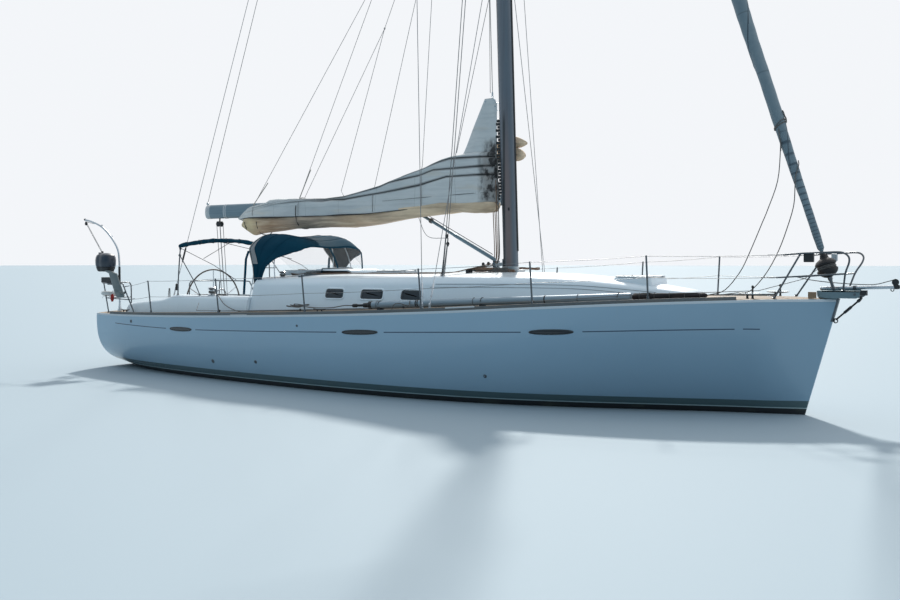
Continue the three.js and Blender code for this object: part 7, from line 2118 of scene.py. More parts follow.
# Mainsheet track: an anodised extrusion bolted across the cockpit sole, with end stops and a rolling car
# that holds the sheet's lower blocks.
track = Shape()
for low, high in (((-5.07, -0.94, 0.452), (-5.01, 0.94, 0.465)),
                  ((-5.058, -0.94, 0.465), (-5.022, 0.94, 0.482)),
                  ((-5.066, -0.94, 0.482), (-5.014, 0.94, 0.494))):
    track.bar(low, high)
for y in spaced(-0.88, 0.88, 12):
    track.turned([(0.006, 0.0), (0.006, 0.0025), (0.0, 0.004)], (-5.04, y, 0.4938), sides=10)
track.piece("mainsheet_track", boom_alloy, slot="spar", bevel=0.002, replaces=("mainsheet_traveller",))
car = Shape().bar((-5.102, -0.068, 0.484), (-4.978, 0.068, 0.535))
for side in (1, -1):
    car.bar((-5.085, side * 0.90 - 0.03, 0.48), (-4.995, side * 0.90 + 0.03, 0.52))
car.bar((-5.06, -0.012, 0.53), (-5.02, 0.012, 0.575))
for dy in (-0.035, 0.035):
    car.turned([(0.042, -0.012), (0.046, -0.008), (0.046, 0.008), (0.042, 0.012)], (-5.04, dy, 0.615),
               (0, 1, 0), 22)
car.bar((-5.065, -0.05, 0.56), (-5.015, 0.05, 0.58))
car.piece("mainsheet_car", knob_black, slot="black_plastic", bevel=0.004)

# Winches: ribbed stainless drums with self-tailing jaws, two on the coamings and two smaller ones on the
# coachroof, each on a flat seat.
WINCH_STEP = 0.0045
for word, base, size in (("primary_port", (-4.15, 1.19, 1.52), 1.0),
                         ("primary_starboard", (-4.15, -1.19, 1.52), 1.0),
                         ("halyard_port", (-2.70, 0.76, 1.87), 0.75),
                         ("halyard_starboard", (-2.70, -0.76, 1.87), 0.75)):
    foot_low = 0.001 if size == 1.0 else -0.006
    profile = [(0.088, foot_low), (0.092, 0.004), (0.092, 0.018), (0.080, 0.026), (0.070, 0.038),
               (0.063, 0.05)]
    profile += [(0.0625 + (0.0012 if k % 2 else 0.0), 0.054 + WINCH_STEP * k) for k in range(12)]
    profile += [(0.066, 0.112), (0.072, 0.118), (0.088, 0.124), (0.090, 0.128), (0.082, 0.132),
                (0.064, 0.134), (0.064, 0.140),
                (0.082, 0.142), (0.090, 0.146), (0.090, 0.150), (0.074, 0.158), (0.058, 0.166),
                (0.050, 0.168), (0.018, 0.168),
                (0.018, 0.150)]
    drum = Shape().turned([(r * size, h * size) for r, h in profile], base, sides=64)
    drum.piece(f"winch_drum_{word}", stainless, slot="steel", sharp=30, replaces=(f"winch_{word}",))
    arm = Shape().bar((-0.012, 0.055, 0.150), (0.012, 0.100, 0.160),
                      Matrix.Translation(base) @ Matrix.Scale(size, 4))
    arm.ring(Vector(base) + Vector((0, 0, 0.137 * size)), (0, 0, 1), 0.072 * size, 0.004 * size, 32, 6)
    arm.piece(f"winch_jaw_{word}", knob_black, slot="black_plastic", bevel=0.001)
for side, word in ((1, "port"), (-1, "starboard")):
    for name, centre, radius, low, turns, thick in ((f"sheet_turns_{word}", (-4.15, side * 1.19), 0.071,
                                                     1.575, 3, 0.007),
                                                    (f"halyard_turns_{word}", (-2.70, side * 0.76), 0.053,
                                                     1.913, 3, 0.005)):
        coil = []
        for k in range(turns * 24 + 1):
            a = math.tau * k / 24 * side
            coil.append((centre[0] + radius * math.cos(a), centre[1] + radius * math.sin(a),
                         low + thick * 1.9 * k / 24))
        Shape().tube(coil, thick * 0.92, 7).piece(name, rope_dark, slot="bag_cloth")


# Sprayhood: navy acrylic canvas over two slack stainless hoops, with a near-black sheet just inside it as
# painted shade under the hood, cut away low at the sides to a triangular flap, with a grey patch at the aft
# corner, a clear vinyl window in front, and straps down to the coachroof and coamings.
# Columns: x, half width, crown height
HOOD = [(-3.5, 1.16, 2.69), (-3.0, 1.16, 2.745), (-2.65, 1.15, 2.735), (-2.40, 1.12, 2.665),
        (-2.29, 1.11, 2.60),
        (-2.20, 1.10, 2.53), (-2.10, 1.08, 2.41), (-1.95, 1.04, 2.10)]
HOOD_BASE = 1.40
# Columns: degrees up the side, aft edge, front edge
HOOD_EDGES = [(1.2, -3.01, -2.965), (5.0, -3.04, -2.89), (16.5, -3.09, -2.765), (26.0, -3.17, -2.54),
              (34.0, -3.25, -2.35),
              (40.0, -3.285, -2.27), (49.0, -3.25, -2.19), (58.0, -3.19, -2.15), (72.0, -3.08, -2.15),
              (90.0, -2.96, -2.20)]


def hood_sag(y):
    """How far the slack hoops and cloth dip in the middle."""
    return 0.095 * max(0.0, 1 - (y / 0.80) ** 2) ** 1.5


def hood_point(x, angle, inset=0.0):
    """Point on the hood's surface, angle 0 at the port foot and pi at the starboard foot."""
    half, crown = along(HOOD, x, 1) - inset, along(HOOD, x, 2) - inset
    c, s = math.cos(angle), max(0.0, math.sin(angle))
    y = half * math.copysign(abs(c) ** 0.42, c)
    return Vector((x, y, HOOD_BASE + (crown - HOOD_BASE) * s ** 0.55 - hood_sag(y)))


def hood_edge(angle, column):
    degrees = math.degrees(min(angle, math.pi - angle))
    return float(np.interp(degrees, [row[0] for row in HOOD_EDGES], [row[column] for row in HOOD_EDGES]))


def cloth_surface(grid, thick):
    """Shape of a thin sheet through a grid of points, doubled inwards by its thickness."""
    rows, columns = len(grid), len(grid[0])
    normals = []
    for i in range(rows):
        normals.append([])
        for j in range(columns):
            across = grid[i][min(j + 1, columns - 1)] - grid[i][max(j - 1, 0)]
            down = grid[min(i + 1, rows - 1)][j] - grid[max(i - 1, 0)][j]
            normals[-1].append(across.cross(down).normalized())
    rings = []
    for i in range(rows):
        top = [grid[i][j] for j in range(columns)]
        low = [grid[i][j] + normals[i][j] * thick for j in reversed(range(columns))]
        rings.append(top + low)
    return Shape().loft(rings)


HOOD_LOW = math.radians(1.2)
hood_grid = []
for i in range(97):
    angle = HOOD_LOW + (math.pi - 2 * HOOD_LOW) * (0.5 - 0.5 * math.cos(math.pi * i / 96)
                                                   if i not in (0, 96) else i / 96)
    aft, fore = hood_edge(angle, 1), hood_edge(angle, 2)
    row = []
    for j in range(41):
        part = j / 40
        point = hood_point(aft + (fore - aft) * part, angle, 0.002)
        hang = math.sin(math.pi * part)
        pull = 0.012 * hang * math.sin(3 * angle) ** 2 + 0.010 * hang * abs(math.sin(6 * angle + 2
                * part)) * (1 - abs(math.cos(angle)))
        pull += 0.006 * math.sin(14 * part + 9 * angle) * hang * abs(math.cos(angle)) ** 2
        toward = Vector((point.x, 0.0, HOOD_BASE + 0.3)) - point
        row.append(point + toward.normalized() * pull)
    hood_grid.append(row)
navy = Finish("navy_canvas_cloth", (0.003, 0.050, 0.088), 0.88, sheen=0.02)
navy.tint(navy.span(navy.noise(1.6, (1, 1, 1), 4), 0.35, 0.7, 0.0, 0.7), (0.0015, 0.030, 0.058))
navy.put("Specular IOR Level", 0.08)
navy.tint(navy.span(navy.noise(18.0), 0.55, 0.8, 0.0, 0.3), (0.008, 0.075, 0.115))
canvas_weave = navy.node("ShaderNodeTexWave", {"Vector": navy.place(), "Scale": 230.0, "Distortion": 0.5},
                         bands_direction="Z")
navy.bump(navy.maths("ADD", navy.noise(7.0, detail=5), navy.maths("MULTIPLY", canvas_weave.outputs["Fac"],
        0.06)), 0.006, 0.4)
hood_cloth = cloth_surface(hood_grid, 0.003).piece("sprayhood_canvas", navy, slot="navy_canvas", sharp=75,
                                                   replaces=("sprayhood",))
# Painted shade: a near-black sheet just inside the canvas darkens the hood's inside, where it lies in shadow.
hood_inside_painted_shade = Finish("hood_inside_painted_shade_cloth", (0.004, 0.004, 0.005), 0.9)
hood_inside_painted_shade.put("Specular IOR Level", 0.08)
hood_inside_painted_shade.tint(hood_inside_painted_shade.span(hood_inside_painted_shade.noise(3.0), 0.45, 0.75, 0.0, 0.7), (0.010, 0.006, 0.006))
hood_inside_painted_shade.bump(hood_inside_painted_shade.noise(7.0, detail=5), 0.005, 0.4)
inner_shade_grid = [[p + (Vector((p.x, 0, HOOD_BASE + 0.3)) - p).normalized() * 0.010 for p in row[1:40]]
               for row in hood_grid[3:94]]
cloth_surface(inner_shade_grid, 0.0012).piece("sprayhood_inner_shade_sheet", hood_inside_painted_shade, slot="navy_canvas", sharp=75)
patch_grey = Finish("patch_canvas", (0.30, 0.31, 0.32), 0.85, sheen=0.05)
patch_grey.tint(patch_grey.span(patch_grey.noise(9.0), 0.4, 0.7, 0.0, 0.6), (0.17, 0.18, 0.19))
patch_grey.bump(patch_grey.noise(40.0), 0.001, 0.4)
patch_grid = []
for i in range(57, 77):
    reach = 0.14 * math.sin(math.pi * min(1.0, (i - 56) / 15) * 0.5)
    row = hood_grid[i]
    out = [(p - Vector((p.x, 0, HOOD_BASE + 0.3))).normalized() * 0.0045 for p in row]
    edge = Vector((reach / 12, 0, 0))
    patch_grid.append([row[0] + out[0] + edge * j for j in range(13)])
cloth_surface(patch_grid, 0.0015).piece("sprayhood_patch", patch_grey, slot="navy_canvas", sharp=75)
tape = Finish("edge_binding", (0.36, 0.34, 0.31), 0.8, sheen=0.1)
tape.tint(tape.noise(30.0), (0.26, 0.25, 0.235))
tape.bump(tape.noise(500.0, detail=1), 0.0006, 0.4)
binding = Shape().tube([row[0] + Vector((-0.002, 0, 0)) for row in hood_grid[6:91]], 0.012, 8)
binding.piece("sprayhood_aft_binding", tape, slot="navy_canvas")
seams = Shape()
for part in (1, 13, 27, 39):
    seams.tube([row[part] + (row[part] - Vector((row[part].x, 0, 1.7))).normalized() * 0.002
                for row in hood_grid[3:94]],
               0.004 if 1 < part < 39 else 0.007, 6)
seams.piece("sprayhood_seams", navy, slot="navy_canvas")
vinyl = Finish("clear_vinyl", (0.55, 0.62, 0.66), 0.08, clear=0.0)
vinyl.put("Alpha", 0.07)
vinyl.tint(vinyl.span(vinyl.noise(2.0), 0.4, 0.8, 0.0, 0.6), (0.75, 0.80, 0.82))
vinyl.bump(vinyl.noise(3.0, detail=2), 0.01, 0.3)
vinyl_grid = []
for i in range(61):
    angle = math.radians(28) + (math.pi - 2 * math.radians(28)) * i / 60
    top = hood_point(hood_edge(angle, 2), angle, 0.004)
    spread = -math.cos(angle) / math.cos(math.radians(28))
    y = -spread * 0.98
    foot_x = -1.99 - 0.10 * abs(spread) ** 3
    foot = Vector((foot_x, y, roof_top(foot_x, y) + 0.004))
    if abs(y) < garage_half + 0.02:
        foot.z = GARAGE_TOP + 0.010
    vinyl_grid.append([top.lerp(foot, j / 12) + Vector((0.012, 0, 0.012)) * math.sin(math.pi * j / 12)
                       for j in range(13)])
cloth_surface(vinyl_grid, 0.0012).piece("sprayhood_window", vinyl, slot="tinted", sharp=75)
straps = Shape()
for row in (vinyl_grid[9], vinyl_grid[30]):
    rings = []
    for j in range(13):
        wide = Vector((0, 0.019, 0))
        out = Vector((0.003, 0, 0.003))
        rings.append([row[j] - wide + out, row[j] + wide + out, row[j] + wide - out, row[j] - wide - out])
    straps.loft(rings)
straps.tube([row[0] for row in vinyl_grid], 0.006, 6)
straps.tube([row[12] + Vector((0, 0, 0.004)) for row in vinyl_grid], 0.009, 6)
for side in (1, -1):
    line = [Vector((-3.194, side * 1.150, 2.377)), Vector((-3.258, side * 1.16, 2.225)),
            Vector((-3.315, side * 1.165, 1.56))]
    flat = [(-0.030, -0.002), (0.030, -0.002), (0.030, 0.002), (-0.030, 0.002)]
    straps.loft([[p + Vector((dx, dy, 0)) for dx, dy in flat] for p in line])
straps.piece("sprayhood_straps", navy, slot="navy_canvas")
# Columns: foot x, top x, foot height, half width and crown of the hood there
frame_tubes = Shape()
for foot_x, top_x, foot_z, half, crown in ((-2.56, -2.70, 1.80, 1.15, 2.735),
                                           (-3.21, -2.95, 1.48, 1.16, 2.742)):
    path = []
    for k in range(61):
        angle = math.pi * k / 60
        height = HOOD_BASE + (crown - 0.048 - HOOD_BASE) * max(0.0, math.sin(angle)) ** 0.55
        if height >= foot_z:
            c = math.cos(angle)
            path.append(Vector((foot_x + (top_x - foot_x) * (height - foot_z) / (crown - foot_z),
                                (half - 0.048) * math.copysign(abs(c) ** 0.42, c), height)))
            path[-1].z -= hood_sag(path[-1].y)
    for end, step in ((0, 1), (-1, -2)):
        path.insert(0 if end == 0 else len(path), Vector((foot_x, path[end].y, foot_z + 0.004)))
    frame_tubes.tube(path, 0.011, 12)
    for end in (path[0], path[-1]):
        frame_tubes.turned([(0.022, 0.0), (0.022, 0.006), (0.014, 0.010), (0.013, 0.05)],
                           (end.x, end.y, foot_z + 0.002), sides=16)
for side in (1, -1):
    frame_tubes.tube([(-3.05, side * 1.04, 2.06), (-2.85, side * 1.045, 2.06), (-2.60, side * 1.045, 2.06)],
                     0.008, 10)
frame_tubes.piece("sprayhood_hoops", stainless, slot="steel", replaces=("sprayhood_frame",))


# Bimini: a navy awning rolled along its arched tube and zipped into its cover, on two stainless legs with
# braces, at the aft end of the cockpit.
BIMINI_X, BIMINI_HALF, BIMINI_END, BIMINI_CROWN, BIMINI_ROLL = -5.05, 1.23, 2.48, 2.61, 0.050
rings = []
for i in range(121):
    part = -1 + 2 * i / 120
    centre = Vector((BIMINI_X, part * BIMINI_HALF, BIMINI_CROWN - (BIMINI_CROWN - BIMINI_END) * part ** 2))
    size = BIMINI_ROLL * (0.90 + 0.10 * math.sin(23 * part) * math.sin(9 * part)) * (1 - 0.3
            * abs(part) ** 24)
    ring = []
    for k in range(24):
        a = math.tau * k / 24
        out = size * (1 + 0.07 * math.sin(3 * a + 11 * part) + 0.05 * math.sin(2 * a - 17 * part))
        ring.append(centre + Vector((math.cos(a) * out, 0, math.sin(a) * out * 0.96)))
    rings.append(ring)
roll = Shape().loft(rings).piece("bimini_roll", navy, slot="navy_canvas", sharp=80,
                                 replaces=("bimini_cover",))
rings_of_strap = Shape()
for part in (-0.86, -0.58, -0.29, 0.0, 0.29, 0.58, 0.86):
    centre = Vector((BIMINI_X, part * BIMINI_HALF, BIMINI_CROWN - (BIMINI_CROWN - BIMINI_END) * part ** 2))
    rings_of_strap.ring(centre, (0, 1, -0.2 * part), BIMINI_ROLL * 0.985, 0.0035, 28, 6)
rings_of_strap.piece("bimini_straps", edge_cloth, slot="navy_canvas")
for side, word in ((1, "port"), (-1, "starboard")):
    leg = Shape().tube(spline([(-5.07, side * 1.26, 1.526), (-5.066, side * 1.252, 1.80),
                               (-5.058, side * 1.23, 2.15),
                               (-5.05, side * 1.205, 2.445)], 5), 0.0125, 12)
    leg.tube([(-4.437, side * 1.255, 1.526), (-4.62, side * 1.242, 1.80), (-5.04, side * 1.216, 2.28)],
             0.0095, 12)
    leg.turned([(0.032, 0.0), (0.032, 0.004), (0.018, 0.010), (0.015, 0.035)], (-5.07, side * 1.26, 1.522),
               sides=18)
    leg.turned([(0.028, 0.0), (0.028, 0.004), (0.016, 0.010), (0.012, 0.03)], (-4.437, side * 1.255, 1.522),
               sides=18)
    leg.turned([(0.022, -0.016), (0.022, 0.016)], (-5.05, side * 1.222, 2.30), (0, 1, 0), 18)
    leg.turned([(0.021, -0.014), (0.021, 0.014)], (-5.05, side * 1.205, 2.43), (0, 1, 0), 18)
    leg.piece(f"bimini_frame_{word}", tube_steel, slot="steel", replaces=(f"bimini_leg_{word}",))
    stays = Shape().tube([(-5.045, side * 1.205, 2.44), (-4.09, side * 1.215, 2.11),
                          (-3.53, side * 1.16, 1.83)], 0.006, 8)
    stays.tube([(-5.05, side * -0.10, 2.57), (-4.37, side * 1.212, 2.235)], 0.006, 8)
    stays.piece(f"bimini_stays_{word}", edge_cloth, slot="navy_canvas")


# Deck pole: a long grey alloy spar lashed in moulded chocks on the starboard side deck, black end fittings
# on it, and a dark cloth roll lashed ahead of it.
POLE_AFT, POLE_FORE, POLE_RADIUS = Vector((-0.09, -1.77, 1.445)), Vector((4.70, -1.24, 1.668)), 0.060
POLE_WAY = (POLE_FORE - POLE_AFT).normalized()
pole_grey = Finish("painted_pole", (0.27, 0.36, 0.43), 0.4, 0.15, coat=0.1)
pole_wear = pole_grey.noise(4.0, (0.15, 5, 5), 6)
pole_grey.tint(pole_grey.span(pole_wear, 0.4, 0.75, 0.0, 0.6), (0.36, 0.45, 0.52))
pole_grey.tint(pole_grey.span(pole_grey.noise(30.0, (0.3, 2, 2)), 0.62, 0.8, 0.0, 0.5), (0.17, 0.22, 0.26))
pole_grey.rough(pole_wear, 0.3, 0.5)
pole = Shape().tube([POLE_AFT + POLE_WAY * 0.36, POLE_AFT + POLE_WAY * 2.0, POLE_FORE - POLE_WAY * 0.01],
                    POLE_RADIUS - 0.002, 32)
pole.piece("deck_pole_tube", pole_grey, slot="pole_alloy", replaces=("deck_pole",))
pole_ends = Shape().turned([(0.0, -0.012), (0.026, -0.010), (0.030, 0.01), (0.030, 0.07), (0.021, 0.08),
                            (0.021, 0.20), (0.038, 0.21), (0.040, 0.30),
                            (0.0625, 0.32), (0.0625, 0.38), (0.0585, 0.385)], POLE_AFT, POLE_WAY, 28)
for share in (0.255, 0.262, 0.72):
    pole_ends.turned([(0.0585, -0.012), (0.0625, -0.008), (0.0625, 0.008), (0.0585, 0.012)],
                     POLE_AFT.lerp(POLE_FORE, share), POLE_WAY, 28)
for share in (0.11, 0.5, 0.96):
    at = POLE_AFT.lerp(POLE_FORE, share)
    bed = deck_top(at.x, at.y)
    pole_ends.loft([[(at.x - half, at.y - wide, z), (at.x + half, at.y - wide, z),
                     (at.x + half, at.y + wide, z), (at.x - half, at.y + wide, z)]
                    for half, wide, z in ((0.030, 0.055, bed + 0.001), (0.030, 0.055, bed + 0.010),
                                          (0.022, 0.050, at.z - 0.035))])
    pole_ends.tube([at + Vector((0, 0.062 * math.cos(a), 0.062 * math.sin(a)))
                    for a in (math.pi * k / 16 for k in range(17))], 0.006, 8)
pole_ends.piece("deck_pole_ends", knob_black, slot="black_plastic", bevel=0.003)
ROLL_START, ROLL_END = POLE_FORE + POLE_WAY * 0.004, Vector((5.70, -0.90, 1.70))
roll_way = (ROLL_END - ROLL_START).normalized()
dark_cloth = Finish("dark_roll_cloth", (0.020, 0.019, 0.022), 0.85, sheen=0.06)
dark_cloth.tint(dark_cloth.span(dark_cloth.noise(9.0), 0.45, 0.75, 0.0, 0.6), (0.055, 0.035, 0.032))
dark_cloth.bump(dark_cloth.noise(16.0, (0.5, 2, 2), 6), 0.012, 0.6)
rings = []
for i in range(61):
    part = i / 60
    centre = ROLL_START.lerp(ROLL_END, part)
    size = 0.058 + (0.036 - 0.058) * part
    size *= 0.35 if i in (0, 60) else 0.82 if i in (1, 59) else 1 - 0.10 * abs(math.sin(math.pi * part
            * 5)) ** 8
    centre.z = max(centre.z, deck_top(centre.x, centre.y) + size + 0.004)
    side = Vector((0, 0, 1)).cross(roll_way).normalized()
    ring = []
    for k in range(28):
        a = math.tau * k / 28
        out = size * (1 + 0.06 * math.sin(3 * a + 13 * part) + 0.05 * math.sin(5 * a - 9 * part))
        ring.append(centre + side * (out * math.cos(a)) + Vector((0, 0, 0.92 * out * math.sin(a))))
    rings.append(ring)
dark_roll = Shape().loft(rings).piece("dark_cloth_roll", dark_cloth, slot="bag_cloth", sharp=80,
                                      replaces=("pole_bag",))
lashings = Shape()
for part in (0.1, 0.3, 0.5, 0.7, 0.9):
    centre = ROLL_START.lerp(ROLL_END, part)
    size = 0.058 + (0.036 - 0.058) * part
    centre.z = max(centre.z, deck_top(centre.x, centre.y) + size + 0.004)
    lashings.ring(centre, roll_way, size * 0.99, 0.004, 28, 6)
for share in (0.10, 0.47, 0.83):
    lashings.ring(POLE_AFT.lerp(POLE_FORE, share), POLE_WAY, 0.063, 0.004, 28, 6)
tail = POLE_AFT.lerp(POLE_FORE, 0.235)
lashings.tube(spline([tail + Vector((0, -0.05, 0.05)), tail + Vector((0.02, -0.12, -0.03)),
                      (tail.x + 0.01, -1.965, 1.512), (tail.x - 0.04, -2.045, 1.50),
                      (tail.x - 0.08, -2.075, 1.40)], 5), 0.007, 8)
lashings.piece("pole_lashings", rope_dark, slot="bag_cloth")
pole_tail = Shape().tube(spline([(-1.55, -1.62, 1.39), (-1.30, -1.70, 1.40), (-0.95, -1.78, 1.388),
                                 (-0.55, -1.80, 1.40), (-0.30, -1.77, 1.44), (-0.12, -1.77, 1.445)], 6),
                         0.008, 8)
for k in range(3):
    loop = []
    for j in range(29):
        a = math.tau * j / 28
        loop.append((-1.62 + 0.17 * math.cos(a) + 0.04 * k, -1.58 + 0.05 * k + 0.07 * math.sin(a),
                     1.388 + 0.013 * k + 0.010 * math.sin(2 * a + k)))
    pole_tail.tube(loop, 0.008, 7)
pole_tail.piece("pole_rope_tail", rope_dark, slot="bag_cloth")


# Davit: a bent stainless tube that turns in its deck socket on the starboard quarter, with a sheave at its
# end, rings along the arm and a tackle for the motor.
DAVIT_FOOT = Vector((-6.90, -1.25, 1.2))
arm_path = [DAVIT_FOOT + Vector((-reach, 0, z - 1.2)) for reach, z in
            ((0, 1.202), (0, 1.45), (0, 1.70), (0.002, 2.20), (0.06, 2.45), (0.28, 2.70), (0.56, 2.90),
             (0.86, 3.01), (1.13, 3.068))]
arm = Shape().tube(spline(arm_path, 6), 0.0205, 18)
arm.ring(DAVIT_FOOT + Vector((-0.56, 0, 1.732)), (1, 0, 0), 0.018, 0.005, 16, 8)
arm.ring(DAVIT_FOOT + Vector((-0.24, 0, 1.50)), (1, 0, -1), 0.018, 0.005, 16, 8)
arm.ring(DAVIT_FOOT + Vector((-1.10, 0, 1.835)), (1, 0, 0), 0.016, 0.005, 16, 8)
arm.turned([(0.024, 0.0), (0.030, 0.004), (0.030, 0.05), (0.022, 0.058)],
           DAVIT_FOOT + Vector((0, 0, 0.002)), sides=22)
arm.piece("davit_arm", stainless, "davit_arm", "steel", replaces=("davit",))
tackle = Shape()
head = DAVIT_FOOT + Vector((-1.10, 0, 1.80))
cleat = DAVIT_FOOT + Vector((-0.012, -0.03, 0.62))
for off in (-0.014, 0.014):
    tackle.tube([head + Vector((off, 0, 0)), DAVIT_FOOT + Vector((-0.56 + off, 0, 1.16)), cleat], 0.005, 8)
tackle.tube([head + Vector((0, 0, 0.02)), DAVIT_FOOT + Vector((-0.56, 0, 1.735))], 0.005, 8)
tackle.piece("davit_tackle", line_grey_rope, "davit_arm", "bag_cloth")
davit_blocks = Shape()
for at in (head + Vector((0, 0, -0.02)), DAVIT_FOOT + Vector((-0.56, 0, 1.15))):
    davit_blocks.turned([(0.030, -0.016), (0.034, -0.010), (0.034, 0.010), (0.030, 0.016)], at, (0, 1, 0), 20)
    davit_blocks.bar((at.x - 0.012, at.y - 0.020, at.z - 0.02), (at.x + 0.012, at.y + 0.020, at.z + 0.045))
davit_blocks.turned([(0.019, -0.02), (0.024, -0.016), (0.024, 0.016), (0.019, 0.02)],
                    DAVIT_FOOT + Vector((-1.132, 0, 1.869)), (1, 0, -0.2), 16)
davit_blocks.bar((cleat.x - 0.012, cleat.y + 0.0, cleat.z - 0.07),
                 (cleat.x + 0.012, cleat.y + 0.012, cleat.z + 0.07))
davit_blocks.turned([(0.0225, 0.50), (0.0235, 0.51), (0.0235, 0.86), (0.0225, 0.87)], DAVIT_FOOT, sides=20)
davit_blocks.piece("davit_fittings", knob_black, "davit_arm", "black_plastic", bevel=0.003)
socket = Shape().turned([(0.046, -0.03), (0.046, -0.046), (0.045, -0.006), (0.040, -0.0012),
                         (0.024, -0.0012)], DAVIT_FOOT, sides=28)
for k in range(4):
    a = math.tau * (k + 0.5) / 4
    socket.turned([(0.008, 0.0), (0.007, 0.004), (0.0, 0.006)],
                  (-6.90 + 0.036 * math.cos(a), -1.25 + 0.036 * math.sin(a), 1.1985), sides=10)
socket.piece("davit_deck_socket", stainless, slot="steel", replaces=("davit_socket",))


# Outboard motor stowed on its rail bracket, a dark blue-black cowl over the powerhead, a grey leg slanting
# forward and a small propeller below.
COWL_X, COWL_Y, COWL_STRETCH = -6.73, -1.71, 1.55
cowl_blue = Finish("cowl_blue_black", (0.012, 0.022, 0.040), 0.32, coat=0.4)
cowl_wear = cowl_blue.noise(7.0, detail=5)
cowl_blue.tint(cowl_blue.span(cowl_wear, 0.45, 0.8, 0.0, 0.5), (0.035, 0.05, 0.075))
cowl_blue.rough(cowl_wear, 0.25, 0.5)
cowl_blue.bump(cowl_blue.noise(250.0), 0.0004, 0.3)


def cowl_ring(radius, z, squareness=0.8):
    ring = []
    for k in range(48):
        a = math.tau * k / 48
        c, s = math.cos(a), math.sin(a)
        waist = 1 - 0.10 * math.exp(-((c * COWL_STRETCH + 0.15) / 0.22) ** 2)
        ring.append((COWL_X + radius * COWL_STRETCH * math.copysign(abs(c) ** squareness, c),
                     COWL_Y + radius * waist * math.copysign(abs(s) ** squareness, s), z))
    return ring


cowl = Shape().loft([cowl_ring(r, z) for r, z in ((0.128, 2.062), (0.145, 2.075), (0.152, 2.12),
                                                  (0.155, 2.20), (0.148, 2.26),
                                                  (0.132, 2.305), (0.098, 2.335), (0.055, 2.348),
                                                  (0.01, 2.352))])
cowl.bar((-6.93, -1.735, 2.30), (-6.86, -1.685, 2.362))
cowl.piece("outboard_cowl", cowl_blue, slot="black_plastic", bevel=0.004, replaces=("outboard",))
pan = Shape().loft([cowl_ring(r, z) for r, z in ((0.105, 1.975), (0.120, 1.985), (0.138, 2.04),
                                                 (0.143, 2.058), (0.140, 2.064))])
pan.bar((-6.80, -1.77, 1.755), (-6.45, -1.655, 1.86))
pan.bar((-6.80, -1.622, 1.705), (-6.62, -1.592, 1.86))
pan.bar((-6.80, -1.66, 1.756), (-6.62, -1.60, 1.775))
for x in (-6.76, -6.66):
    pan.tube([(x, -1.618, 1.72), (x, -1.575, 1.72)], 0.007, 10)
    pan.bar((x - 0.03, -1.578, 1.714), (x + 0.03, -1.570, 1.727))
pan.tube([(-6.93, -1.71, 2.02), (-7.05, -1.66, 2.06), (-7.12, -1.64, 2.07)], 0.014, 12)
pan.piece("outboard_pan", knob_black, slot="black_plastic", bevel=0.006)
leg_grey = Finish("outboard_leg_grey", (0.135, 0.165, 0.17), 0.42, 0.2, coat=0.15)
leg_grey.tint(leg_grey.span(leg_grey.noise(9.0), 0.45, 0.8, 0.0, 0.6), (0.21, 0.24, 0.24))
leg_grey.bump(leg_grey.noise(120.0), 0.0005, 0.4)
# Columns: aft edge, forward edge, height
motor_leg = Shape()
rings = []
for aft, fore, z in ((-6.70, -6.52, 2.00), (-6.52, -6.28, 1.94), (-6.41, -6.16, 1.70), (-6.30, -6.04, 1.475),
                     (-6.28, -6.06, 1.462)):
    middle, half = (aft + fore) / 2, (fore - aft) / 2
    rings.append([(middle + half * math.copysign(abs(math.cos(a)) ** 0.7, math.cos(a)),
                   -1.785 + 0.029 * math.copysign(abs(math.sin(a)) ** 0.6, math.sin(a)), z)
                  for a in (math.tau * k / 32 for k in range(32))])
motor_leg.loft(rings)
motor_leg.loft([[(-6.30 + 0.13 * math.cos(a), -1.785 + 0.055 * math.sin(a), z)
                 for a in (math.tau * k / 28 for k in range(28))] for z in (1.585, 1.593)])
motor_leg.turned([(0.0, -0.09), (0.02, -0.08), (0.034, -0.03), (0.036, 0.04), (0.030, 0.09)],
                 (-6.21, -1.785, 1.52), (1, 0, 0.15), 22)
for k in range(3):
    a = math.tau * k / 3 + 0.4
    out = Vector((0, math.cos(a), math.sin(a)))
    over = Vector((0, -math.sin(a), math.cos(a)))
    centre = Vector((-6.102, -1.785, 1.535))
    motor_leg.loft([[centre + out * r + over * (w * math.cos(b))
                     + Vector((0.010 * math.sin(b) + 0.5 * w * math.cos(b), 0, 0))
                     for b in (math.tau * j / 12 for j in range(12))]
                    for r, w in ((0.018, 0.018), (0.035, 0.030), (0.055, 0.032), (0.070, 0.020),
                                 (0.076, 0.006))])
motor_leg.piece("outboard_leg", leg_grey, slot="black_plastic", bevel=0.0015)

# Horseshoe buoy in its holder and a small red lanyard bag, clipped inside the quarter rail.
buoy_white = Finish("buoy_vinyl", (0.62, 0.63, 0.62), 0.55, sheen=0.1)
buoy_white.tint(buoy_white.span(buoy_white.noise(11.0), 0.5, 0.8, 0.0, 0.5), (0.42, 0.43, 0.42))
buoy_white.bump(buoy_white.noise(40.0), 0.002, 0.5)
shoe = []
for k in range(41):
    a = math.radians(-55 + 290 * k / 40)
    shoe.append((-6.92 - 0.16 * math.cos(a), -1.475 - 0.11 * math.sin(a), 1.515 + 0.018 * math.sin(a)))
buoy = Shape().tube(shoe, [0.030 if k in (0, 40) else 0.042 for k in range(41)], 14)
buoy = buoy.piece("horseshoe_buoy", buoy_white, slot="sailcloth", sharp=60)
red_cloth = Finish("red_lanyard_cloth", (0.42, 0.022, 0.018), 0.75, sheen=0.1)
red_cloth.tint(red_cloth.noise(25.0), (0.26, 0.012, 0.010))
red_cloth.bump(red_cloth.noise(60.0), 0.003, 0.5)
rings = []
